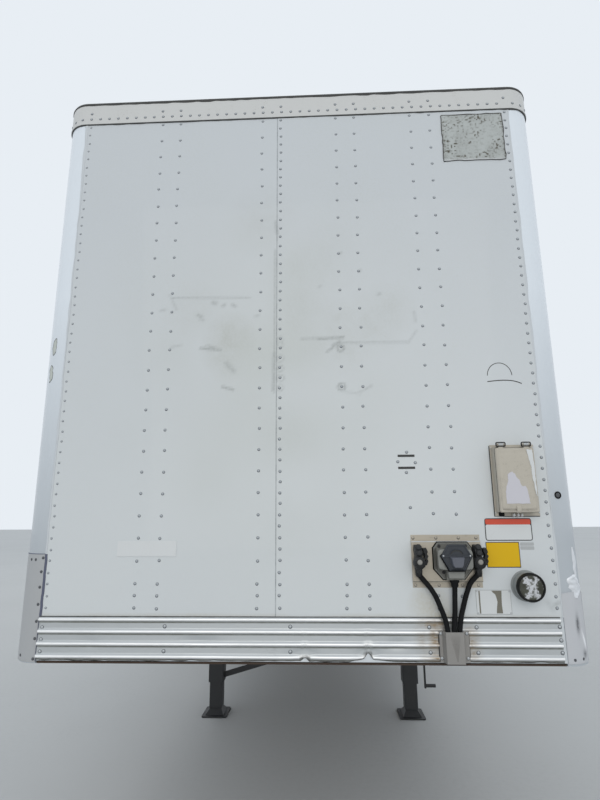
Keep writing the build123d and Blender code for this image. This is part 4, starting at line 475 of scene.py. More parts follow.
@dataclass(frozen=True)
class Marked(Finish):
    """A finish with marks painted over it where the piece's own attributes say.

    Attributes:
        marks: Attribute name, sRGB colour and raggedness of each kind of mark, the last on top.
    """

    marks: tuple[tuple[str, str, float], ...] = ()

    def tint(self, tree: Tree, place: Socket, worn: Socket, grain: Socket) -> Socket:
        """The colour with each mark mixed in: its attribute times 1 - ragged to 1 + ragged, by the grain."""
        colour = super().tint(tree, place, worn, grain)
        for attribute, tone, ragged in self.marks:
            amount = add_node(tree, "ShaderNodeAttribute", attribute_name=attribute).outputs["Fac"]
            eaten = ranged(tree, grain, (0.3, 0.7), (1 - ragged, 1 + ragged))
            colour = mixed(tree, maths(tree, "MULTIPLY", amount, eaten, clamp=True), colour, linear(tone))
        return colour


@dataclass(frozen=True)
class Filmed(Finish):
    """A finish under a road film that thickens towards the ground.

    Attributes:
        film: Colour of the film, sRGB.
        clean_z: Height over which there is none.
        full_z: Height under which it is thickest.
        most: Share of the film's colour where it is thickest.
    """

    film: str = "#9fa5aa"
    clean_z: float = 2.95
    full_z: float = 1.7
    most: float = 0.74

    def tint(self, tree: Tree, place: Socket, worn: Socket, grain: Socket) -> Socket:
        """The colour under a film that comes in between the two heights, unevenly where the paint is worn."""
        up = add_node(tree, "ShaderNodeSeparateXYZ", {0: place}).outputs[2]
        uneven = maths(tree, "MULTIPLY_ADD", worn, -0.3, up)
        amount = ranged(tree, uneven, (self.clean_z, self.full_z), (0, self.most))
        return mixed(tree, amount, super().tint(tree, place, worn, grain), linear(self.film))


@dataclass(frozen=True)
class Boards(Finish):
    """Oak strips glued edge to edge, with a dark joint between them.

    Attributes:
        board_mm: Width of a strip.
        length_mm: Length of a strip.
    """

    board_mm: float = 35.0
    length_mm: float = 1400.0

    def tint(self, tree: Tree, place: Socket, worn: Socket, grain: Socket) -> Socket:
        """The colour times a tone for each strip, with dark joints."""
        inputs = {
            "Vector": add_node(
                tree, "ShaderNodeMapping", {"Vector": place, "Rotation": (0, 0, math.pi / 2)}
            ).outputs[0],
            "Color1": linear("#8c8070"),
            "Color2": linear("#ffffff"),
            "Mortar": linear("#20180f"),
            "Scale": 1.0,
            "Mortar Size": 0.0008,
            "Brick Width": self.length_mm / 1000,
            "Row Height": self.board_mm / 1000,
        }
        strips = add_node(tree, "ShaderNodeTexBrick", inputs).outputs["Color"]
        return mixed(tree, 0.75, super().tint(tree, place, worn, grain), strips, "MULTIPLY")


@dataclass(frozen=True)
class Banded(Finish):
    """Sheeting in two colours that change along one axis.

    Attributes:
        other: The second colour, sRGB.
        period: Length of one pair of bands.
        first: Share of the pair in the second colour.
        axis: 0 for x, 1 for y, 2 for z.
    """

    other: str = "#b3161c"
    period: float = 0.457
    first: float = 0.61
    axis: int = 1

    def tint(self, tree: Tree, place: Socket, worn: Socket, grain: Socket) -> Socket:
        """The colour, or the second one where the fraction of distance / period is under its share."""
        along = add_node(tree, "ShaderNodeSeparateXYZ", {0: place}).outputs[self.axis]
        part = maths(tree, "FRACT", maths(tree, "DIVIDE", along, self.period))
        band = maths(tree, "LESS_THAN", part, self.first)
        return mixed(tree, band, super().tint(tree, place, worn, grain), linear(self.other))


@dataclass(frozen=True)
class Spangled(Finish):
    """Hot-dip zinc, whose crystals each reflect a little differently.

    Attributes:
        crystal_mm: Size of a crystal.
    """

    crystal_mm: float = 14.0

    def tint(self, tree: Tree, place: Socket, worn: Socket, grain: Socket) -> Socket:
        """The colour times one random brightness for each crystal."""
        inputs = {"Vector": place, "Scale": 1000 / self.crystal_mm}
        level = ranged(
            tree, add_node(tree, "ShaderNodeTexVoronoi", inputs).outputs["Color"], (0, 1), (0.82, 1.0)
        )
        return mixed(tree, 1.0, super().tint(tree, place, worn, grain), level, "MULTIPLY")


# Prepainted aluminium sheet: bluish white film with a dull, greenish weathered middle, scuffs and stains, and
# painted light that makes it lighter towards the bottom
NOSE_SHEET = Marked(
    "prepainted aluminium nose sheet", "white_panel", "#c0c5c9", "#bdc2c3", 0.42, coat=0.15, cloud_mm=900,
    grain_mm=12, runs=2.0, share=0.5, soft=0.4,
    marks=(
        ("painted_light_low", "#d2d6d6", 0.1), ("weathered", "#b8bdbb", 0.1), ("stained", "#a7aaa4", 0.3),
        ("scuffed", "#8d9292", 0.35), ("rusty", "#aea793", 0.3), ("joint", "#7f8589", 0.3),
    ),
)
# The same prepainted sheet on the sides, cleaner
SIDE_SHEET = Finish(
    "prepainted aluminium side sheet", "white_panel", "#ccd1d5", "#b7bbbb", 0.38, coat=0.2, cloud_mm=1600,
    grain_mm=9, runs=4.0, share=0.35, soft=0.35,
)
# Painted extruded posts, glossier and brighter than the sheet, with road film in long runs
POST_PAINT = Filmed(
    "gloss painted post", "white_post", "#d9e0e7", "#b0b6bb", 0.3, coat=0.4, cloud_mm=160, grain_mm=7,
    runs=9.0, share=0.16, soft=0.2,
)
# Warm white paint on the top rails, dirtied by what runs off the roof
RAIL_PAINT = Finish(
    "painted rail", "white_rail", "#c4c5c4", "#9c978e", 0.42, coat=0.1, cloud_mm=90, grain_mm=6, runs=3.5,
    share=0.32, relief_mm=0.12,
)
# Mill aluminium, weathered to a soft grey with a faint lengthwise grain; painted highlights on the ridge
# crests, and painted shade under each ridge, along the torn foot, at the top edge and under the notches
MILL_ALUMINIUM = Marked(
    "mill aluminium wear panel", "bright_aluminium", "#babec0", "#a8acae", 0.34, metallic=0.5, cloud_mm=150,
    grain_mm=8, share=0.35, soft=0.4, relief_mm=0.05, lay=(0.3, 1.0, 1.0),
    marks=(
        ("crest_highlight", "#ffffff", 0.1), ("dusty", "#7d7e78", 0.2), ("rusty", "#958672", 0.6),
        ("dark", "#3d3d3b", 0.3),
    ),
)
# Paint over a dent, with painted shade in the hollow and over the side that turns away, and a painted
# highlight along the crest
DENTED_PAINT = Marked(
    "dented painted sheet", "white_post", "#bcbec2", "#a2a5aa", 0.34, coat=0.3, grain_mm=6, runs=2.0,
    share=0.3, relief_mm=0.2,
    marks=(("dent_shade", "#6a6c70", 0.3), ("bright", "#f2f4f7", 0.2)),
)
# Painted guard plate, greyer than the posts, with short runs of dirt
GUARD_STEEL = Finish(
    "painted corner guard", "grey_guard", "#a6a8aa", "#8b8d8e", 0.46, coat=0.05, cloud_mm=90, grain_mm=4,
    runs=3.0, share=0.3, soft=0.2, relief_mm=0.2,
)
# Bare roof sheet, clouded by dust in broad patches
ROOF_SHEET = Finish(
    "mill aluminium roof sheet", "roof_sheet", "#b9bcbc", "#86877f", 0.48, metallic=0.6, cloud_mm=700,
    grain_mm=8, share=0.5, soft=0.35, lay=(1.0, 0.2, 1.0),
)
# Old sealant, grey where dust holds; its lumps are drawn coarser than they are, so that they show
ROOF_SEALANT = Finish(
    "weathered roof sealant", "dark_seal", "#4b4c49", "#7c7d78", 0.75, grain_mm=5, soft=0.2, relief_mm=0.8,
)
# Pale bead, darkened in short runs
JOINT_SEALANT = Finish(
    "grey joint sealant", "dark_seal", "#c2c7cb", "#9ea3a6", 0.6, grain_mm=4, runs=3.0, share=0.35, soft=0.2,
    relief_mm=0.4,
)
# Nearly black adhesive that shows as a thin line, dusty in places; the same black also draws painted shade in
# gaps, a slot and under the rail
DARK_LINE = Finish(
    "old adhesive and painted shade", "dark_seal", "#3b3b3a", "#625f5b", 0.7, cloud_mm=30, share=0.3, relief_mm=0.2,
)
# Bluish grey bead beside the corner guard
SLATE_SEALANT = Finish(
    "slate grey sealant", "dark_seal", "#565a6c", "#74778a", 0.65, cloud_mm=30, runs=3.0, share=0.35,
    relief_mm=0.3,
)
# Road dirt that a rivet's edge holds back, darker than the head, and painted shade below rivet heads and
# round lifted paint flakes
RIVET_GRIME_SHADE = Finish("grime and painted shade round a rivet", "dark_seal", "#5b5f63", "#7f8488", 0.8, cloud_mm=20)
# Warm strips of differing tone with dark joints
OAK_FLOOR = Boards(
    "laminated oak floor", "oak_floor", "#a17f55", "#6d5436", 0.62, cloud_mm=500, grain_mm=6, share=0.45,
    soft=0.4, relief_mm=0.4, lay=(1.0, 0.06, 1.0),
)
# Black frame gone brown where road dust has settled
CHASSIS_PAINT = Finish(
    "black chassis enamel with road dust", "black_chassis", "#26282a", "#5d564b", 0.5, cloud_mm=180,
    grain_mm=6, share=0.36, soft=0.25, relief_mm=0.4,
)
# Brown plate with dark grease smeared in patches
RUSTY_STEEL = Finish(
    "worn rusty plate", "rusty_plate", "#44372d", "#2c2926", 0.72, metallic=0.2, cloud_mm=70, grain_mm=4,
    share=0.45, soft=0.2, relief_mm=0.6,
)
# Bright steel where grease has been rubbed off
KINGPIN_STEEL = Finish(
    "greased forged steel", "kingpin_steel", "#75777a", "#2b2a28", 0.35, metallic=1.0, cloud_mm=30, share=0.5,
    soft=0.2,
)
# Zinc crystals that glint differently, drawn coarser than they are so that they show
GALVANISED = Spangled(
    "hot-dip galvanised steel", "galvanised", "#a9adaf", "#84878a", 0.48, metallic=0.7, cloud_mm=160,
    grain_mm=4, runs=2.0, share=0.35,
)
# Small dull silver heads of bolts, nuts and screws, also a bright strip of painted highlight on a bend
ZINC_STUD_AND_HIGHLIGHT = Finish(
    "zinc plated fastener and painted highlight", "galvanised", "#b4b8bb", "#85898b", 0.4, metallic=0.45, cloud_mm=25,
    relief_mm=0.05,
)
# Heads painted with the sheet, a shade darker where dirt holds
PAINTED_RIVET = Finish(
    "painted rivet head", "white_panel", "#a3a9ae", "#7c8286", 0.4, cloud_mm=30, share=0.45, relief_mm=0.05,
)
# Deep glossy red
RED_LENS = Finish(
    "red acrylic lens", "red_lens", "#8e0f14", "#5e0a0d", 0.16, ior=1.49, coat=0.6, grain_mm=2.5, share=0.3,
    soft=0.4, relief_mm=0.5,
)
# Deep glossy amber
AMBER_LENS = Finish(
    "amber acrylic lens", "amber_lens", "#c9630c", "#8f4409", 0.16, ior=1.49, coat=0.6, grain_mm=2.5,
    share=0.3, soft=0.4, relief_mm=0.5,
)
# White bar, dirtied by spray from the tyres
GUARD_PAINT = Finish(
    "white enamel on the rear guard", "white_steel", "#c9cccd", "#85817a", 0.42, coat=0.1, cloud_mm=200,
    grain_mm=6, runs=1.5, soft=0.25, relief_mm=0.2,
)
# Brushed steel under beige dust
STAINLESS = Finish(
    "dusty stainless plate", "fitting_plate", "#a8a194", "#858073", 0.42, metallic=0.45, share=0.45,
    relief_mm=0.08, lay=(0.1, 1.0, 1.0),
)
# Dull dark casting of the couplings' arms, also a dark strip of painted shadow on a bend
CAST_ALLOY_AND_SHADOW = Finish(
    "die-cast socket flange and painted shadow", "cast_alloy", "#6d6d68", "#4c4c49", 0.55, metallic=0.25, cloud_mm=40,
    grain_mm=2.5, relief_mm=0.3,
)
# Lighter casting under dust
SHELL_ALLOY = Finish(
    "dusty die-cast socket shell", "cast_alloy", "#868783", "#666763", 0.55, metallic=0.2, cloud_mm=40,
    grain_mm=2.5, relief_mm=0.3,
)
# Dark slate plastic with a soft sheen
LID_NYLON = Finish(
    "glass-filled nylon lid", "grey_plastic", "#35393f", "#292c31", 0.5, ior=1.4, cloud_mm=40, grain_mm=2,
    share=0.35, relief_mm=0.15,
)
# Nearly black, with pale dust in small patches
CAST_IRON = Finish(
    "dusty cast coupling", "cast_iron", "#2c2d2f", "#5d5c58", 0.6, metallic=0.2, cloud_mm=18, grain_mm=2,
    soft=0.25, relief_mm=0.4,
)
# Black paint with small chips
BLACK_ENAMEL = Finish(
    "chipped black swing plate", "cast_iron", "#17181a", "#5c5b57", 0.5, metallic=0.3, cloud_mm=14,
    grain_mm=2, share=0.25, soft=0.15, relief_mm=0.3,
)
# Deep matt black that swallows light; the same black also draws painted shade round the socket flange and in
# a hole in the box
HOSE_RUBBER_AND_SHADE = Finish(
    "matt hose rubber and painted shade", "black_hose", "#0c0d0f", "#1d1e20", 0.8, ior=1.35, grain_mm=2, share=0.35,
    relief_mm=0.2,
)
# Warm grey stamping, with painted shade in its shallow hollow
COVER_METAL = Marked(
    "stamped aluminium cover", "cover_alloy", "#8c8a87", "#76736f", 0.45, metallic=0.3, cloud_mm=80,
    share=0.35, soft=0.4, relief_mm=0.05,
    marks=(("hollow", "#6d6a67", 0.3),),
)
# Faded blue-grey tongue
LATCH_TONGUE = Finish(
    "faded nylon tongue", "grey_plastic", "#5b5e67", "#484b53", 0.45, ior=1.4, cloud_mm=40, grain_mm=2,
    share=0.35,
)
# Pale dust on a small cap
COUPLING_FACE = Finish(
    "dusty coupling cap", "cast_iron", "#8a8883", "#5f5e5a", 0.6, cloud_mm=14, grain_mm=2, relief_mm=0.2,
)
# Brownish adhesive left by an old plate
WORN_FILM = Finish(
    "worn label adhesive", "beige_plastic", "#716e63", "#8d8a80", 0.6, cloud_mm=20, grain_mm=2, soft=0.2,
    relief_mm=0.05,
)
# Beige plastic mottled by sun and dirt
BOX_PLASTIC = Finish(
    "aged beige plastic", "beige_plastic", "#b2aca0", "#918a7e", 0.56, cloud_mm=35, grain_mm=4, share=0.42,
    soft=0.4, relief_mm=0.35,
)
# The same beige with grime and painted shade round the rim, most at its foot
LID_PLASTIC = Marked(
    "aged beige lid", "beige_plastic", "#b5afa3", "#918b7e", 0.56, cloud_mm=35, grain_mm=4, share=0.42,
    soft=0.4, relief_mm=0.35,
    marks=(("grime_and_shade", "#57524a", 0.4),),
)
# Mid grey plastic, softly stained
CANISTER_BODY = Finish(
    "grey painted canister", "canister", "#8a8e8e", "#636665", 0.5, cloud_mm=40, grain_mm=2.5, relief_mm=0.15,
)
# Dark cap under a pale haze, with streaks of residue
CANISTER_CAP = Marked(
    "clouded clear cap", "canister", "#303127", "#44453a", 0.4, ior=1.4, coat=0.1, cloud_mm=30, share=0.45,
    soft=0.4,
    marks=(("hazy", "#6f7168", 0.4), ("residue", "#c2c4c8", 0.7)),
)
# Black ring that sets the cap off from its body
CANISTER_RING = Finish(
    "rubber cap ring", "canister", "#131413", "#2a2b29", 0.6, ior=1.35, cloud_mm=20, grain_mm=2, share=0.35,
)
# Grey-green plate specked with pits, drawn coarser than they are so that they show
PATCH_METAL = Marked(
    "weathered patch sheet", "patch_sheet", "#acb1b0", "#9ca19f", 0.5, metallic=0.15, cloud_mm=70, grain_mm=7,
    runs=1.5, share=0.5, relief_mm=0.2,
    marks=(("specked", "#4a463a", 0.6), ("bright", "#c8cccf", 0.3)),
)
# Black bellows under brown dust
SPRING_RUBBER = Finish(
    "air spring rubber", "black_rubber", "#232425", "#4d4a45", 0.62, cloud_mm=70, relief_mm=0.3,
)
# Dusty black in long runs
FLAP_RUBBER = Finish(
    "dusty mud flap", "flap_rubber", "#2b2c2c", "#5f584e", 0.7, cloud_mm=150, grain_mm=4, runs=3.0,
    share=0.42, relief_mm=0.3,
)
# Clean cool white with faint runs
DOOR_PAINT = Finish(
    "prepainted door sheet", "white_door", "#cbd0d3", "#adb0ae", 0.38, coat=0.2, cloud_mm=600, grain_mm=8,
    runs=5.0, share=0.36, soft=0.35,
)
# White disc browned by brake dust
WHEEL_PAINT = Finish(
    "white enamelled wheel with brake dust", "white_wheel", "#c2c3c1", "#6e675d", 0.42, coat=0.15,
    cloud_mm=90, grain_mm=4, relief_mm=0.2,
)
# Dark grey, dustiest near the rim and in the grooves
TYRE_RUBBER = Marked(
    "road-worn tyre rubber", "tyre", "#232323", "#37342f", 0.72, cloud_mm=120, grain_mm=4, relief_mm=0.4,
    marks=(("dusty", "#5c544a", 0.3),),
)
# Off-white label that stands out from the bluish sheet
LABEL_FILM = Finish(
    "white label film", "white_panel", "#cdd0d1", "#b0b0aa", 0.4, grain_mm=2, share=0.3, relief_mm=0.02,
)
# Thin black border
LABEL_BLACK = Finish(
    "black label ink", "dark_seal", "#26282a", "#3b3d3f", 0.45, cloud_mm=30, grain_mm=2, share=0.3,
    relief_mm=0.02,
)
# Faded orange-red band
LABEL_ORANGE = Finish(
    "orange-red label band", "red_lens", "#c8452a", "#b13a22", 0.4, cloud_mm=30, grain_mm=2, share=0.3,
    relief_mm=0.02,
)
# Strong yellow, the only one on the nose
LABEL_YELLOW = Finish(
    "yellow label film", "amber_lens", "#d6ac00", "#be9602", 0.45, ior=1.35, cloud_mm=40, grain_mm=2,
    share=0.35, relief_mm=0.02,
)
# Pale grey label
LABEL_GREY = Finish(
    "faded grey label", "galvanised", "#a9acad", "#c1c4c5", 0.5, cloud_mm=10, grain_mm=2, share=0.45,
    soft=0.2, relief_mm=0.02,
)
# Red and white bands along the sides
SIDE_TAPE = Banded(
    "reflective tape along the rails", "white_rail", "#c9cdd0", "#a8abab", 0.35, coat=0.3, cloud_mm=80,
    share=0.3, relief_mm=0.05,
)
# Red and white bands across the rear
REAR_TAPE = Banded(
    "reflective tape across the rear", "white_steel", "#c9cdd0", "#a8abab", 0.35, coat=0.3, cloud_mm=80,
    share=0.3, relief_mm=0.05, axis=0,
)
# Crumpled silver that catches the light in spots
FOIL = Finish(
    "torn silvered foil", "white_post", "#dfe2e6", "#9da1a6", 0.4, metallic=0.35, cloud_mm=15, grain_mm=6,
    share=0.35, soft=0.2, relief_mm=0.8,
)
# Paint that has lifted in flakes and shows its chalky back
FLAKED_PAINT = Finish(
    "flaked post paint", "white_post", "#b9beb9", "#858983", 0.7, cloud_mm=14, grain_mm=4, soft=0.2,
    relief_mm=0.8,
)
# Dark heads on the guard
DARK_STUD = Finish("blackened steel rivet", "cast_iron", "#55575a", "#76787a", 0.5, metallic=0.3, cloud_mm=20)
# Matt paper inside a torn label, faintly lilac
TORN_LABEL = Finish("torn paper label", "white_panel", "#c3c2c9", "#b2b0b4", 0.6, cloud_mm=25, soft=0.2)
# Pale, even ground that carries the shadow
STUDIO_FLOOR = Finish(
    "pale studio floor", "", "#bcbebe", "#b5b7b7", 0.7, cloud_mm=3000, grain_mm=40, share=0.5, soft=0.5,
    relief_mm=0.2,
)

# The finish of each CAD node
NODE_FINISHES: dict[str, Finish] = {
    node: finish
    for finish, nodes in (
        (SIDE_SHEET, "front_wall side_walls"),
        (POST_PAINT, "corner_posts"),
        (RAIL_PAINT, "front_top_rail top_rails bottom_rails"),
        (MILL_ALUMINIUM, "ribbed_panel"),
        (GUARD_STEEL, "corner_guard"),
        (ROOF_SHEET, "roof"),
        (ROOF_SEALANT, "roof_seal"),
        (OAK_FLOOR, "floor_deck"),
        (CHASSIS_PAINT, (
            "crossmembers leg_housings leg_feet leg_crank slide_rails bogie_frame trailing_arms "
            "shock_absorbers axles brake_gear air_tank"
        )),
        (RUSTY_STEEL, "coupler_plate"),
        (KINGPIN_STEEL, "kingpin"),
        (GALVANISED, "rear_posts rear_header rear_sill door_hardware_left door_hardware_right"),
        (RED_LENS, "tail_lamps"),
        (AMBER_LENS, "marker_lamps"),
        (GUARD_PAINT, "underride_guard"),
        (STAINLESS, "fitting_plate"),
        (CAST_ALLOY_AND_SHADOW, "socket_box socket_barrel"),
        (LID_NYLON, "socket_lid"),
        (CAST_IRON, "air_couplings"),
        (HOSE_RUBBER_AND_SHADE, "nose_lines"),
        (COVER_METAL, "line_cover"),
        (BOX_PLASTIC, "document_box document_lid"),
        (CANISTER_BODY, "round_canister"),
        (PATCH_METAL, "patch_plate"),
        (SPRING_RUBBER, "air_springs"),
        (FLAP_RUBBER, "mud_flaps"),
        (DOOR_PAINT, "door_panel_left door_panel_right"),
        (WHEEL_PAINT, "wheels_front_left wheels_front_right wheels_rear_left wheels_rear_right"),
        (TYRE_RUBBER, "tyres_front_left tyres_front_right tyres_rear_left tyres_rear_right"),
    )
    for node in nodes.split()
}


@cache
def material_of(finish: Finish) -> bpy.types.Material:
    """The one material of a finish, built the first time that it is asked for."""
    return finish.material()


# ---- Pieces ----
def make_piece(
    name: str,
    shape: Shape,
    finish: Finish,
    body: str = "van",
    replaces: Sequence[str] = (),
    bevel: float = 0.0,
    weld: bool = True,
    marks: Mapping[str, np.ndarray] | None = None,
    sharp: float = 38.0,
) -> bpy.types.Object:
    """Puts a shape into the scene as one finished piece.

    Args:
        name: The piece's name.
        shape: Its surface, in the trailer's frame.
        finish: What it is made of.
        body: The CAD body that it moves with.
        replaces: CAD nodes that it stands for.
        bevel: Width of a bevel on its edges, in metres.
        weld: Merges points that lie together, which closes seams and poles.
        marks: One value for each point, by attribute name.
        sharp: Angle in degrees over which an edge stays sharp.

    Returns:
        The new object.
    """
    mesh = bpy.data.meshes.new(name)
    mesh.vertices.add(len(shape.points))
    mesh.vertices.foreach_set("co", shape.points.astype(np.float32).ravel())
    sizes = np.concatenate([np.full(len(f), f.shape[1]) for f in shape.faces])
    corners = np.concatenate([f.ravel() for f in shape.faces])
    mesh.loops.add(len(corners))
    mesh.loops.foreach_set("vertex_index", corners.astype(np.int32))
    mesh.polygons.add(len(sizes))
    mesh.polygons.foreach_set("loop_start", np.r_[0, np.cumsum(sizes)[:-1]].astype(np.int32))
    mesh.update(calc_edges=True)
    for key, values in (marks or {}).items():
        mesh.attributes.new(key, "FLOAT", "POINT").data.foreach_set(
            "value", values.astype(np.float32).ravel()
        )
    if weld:
        work = bmesh.new()
        work.from_mesh(mesh)
        bmesh.ops.remove_doubles(work, verts=work.verts[:], dist=1e-5)
        bmesh.ops.dissolve_degenerate(work, edges=work.edges[:], dist=1e-6)
        work.to_mesh(mesh)
        work.free()
    mesh.polygons.foreach_set("use_smooth", np.ones(len(mesh.polygons), bool))
    mesh.set_sharp_from_angle(angle=math.radians(sharp))
    mesh.materials.append(material_of(finish))
    piece = bpy.data.objects.new(name, mesh)
    bpy.context.scene.collection.objects.link(piece)
    if bevel:
        rounding = piece.modifiers.new("edge", "BEVEL")
        rounding.width = bevel
        rounding.segments = 2
        rounding.limit_method = "ANGLE"
        rounding.angle_limit = math.radians(40)
    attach(piece, body)
    if replaces:
        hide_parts(*replaces)
    LOG.info("%s: %d points, %d faces, rides on %s", name, len(mesh.vertices), len(mesh.polygons), body)
    return piece


def dome(radius: float, height: float, steps: int = 8) -> Shape:
    """Low domed head: a quarter ellipse of radius and height, turned."""
    return turned(
        [(radius, 0.0), (0.92 * radius, 0.55 * height), (0.55 * radius, 0.9 * height), (0.0, height)], steps
    )


def riveted(
    name: str,
    places: np.ndarray,
    outs: np.ndarray,
    radius: float,
    height: float,
    finish: Finish,
    dirt_shade_collar: float = 1.4,
) -> None:
    """Domed heads on the van, each on a thin dark collar that hangs a little below it: grime, and painted
    shade under the head.

    Args:
        name: Name of the heads' piece.
        places: Rows of x, y, z on the surface.
        outs: One unit normal for each place, or one for all of them.
        radius: Radius of a head.
        height: Height of a head.
        finish: What the heads are made of.
        dirt_shade_collar: Radius of a collar as a share of the head's.
    """
    make_piece(name, dome(radius, height).scattered(places, outs), finish)
    thick = 0.0006
    collar = turned([(dirt_shade_collar * radius, 0.0), (dirt_shade_collar * radius - 0.0004, thick), (0.0, thick)], 9)
    # The collar sits low, as painted shade under the head, with grime round it
    below = np.asarray(places) - (0.0, 0.0, 0.15 * radius)
    make_piece(f"{name}_grime", collar.scattered(below, outs), RIVET_GRIME_SHADE)


def hex_bolt(radius: float, height: float) -> Shape:
    """Bolt head: a washer with a six-sided head on it."""
    washer = turned([(1.35 * radius, 0.0), (1.35 * radius, 0.18 * height), (0.0, 0.18 * height)], 12)
    head = prism(round_section(radius, 6), height, 0.15 * height, 0.94)
    return joined([washer, head])


def post_surface(along: np.ndarray, z: np.ndarray, side: int, proud: float) -> tuple[np.ndarray, np.ndarray]:
    """Points and normals on a rounded corner post.

    Along is measured from where the post starts to curve: before it the face is flat, and past it
    x = corner + r sin(a), y = nose + r - r cos(a), with a = along / r.

    Args:
        along: Distance round the post from the start of its curve.
        z: Height.
        side: 1 on the driver's side, -1 on the kerb side.
        proud: Distance in front of the post's face.

    Returns:
        Rows of x, y, z and rows of unit normals.
    """
    along, z = np.broadcast_arrays(np.asarray(along, float), np.asarray(z, float))
    angle = np.clip(along / CORNER_R, 0, np.pi / 2)
    past = np.clip(along - CORNER_R * np.pi / 2, 0, None)
    normal = np.stack([side * np.sin(angle), -np.cos(angle), 0 * angle], axis=-1)
    x = CORNER_X + CORNER_R * np.sin(angle) + np.minimum(along, 0)
    y = FRONT + CORNER_R - CORNER_R * np.cos(angle) + past
    return np.stack([side * x, y, z], axis=-1) + proud * normal, normal


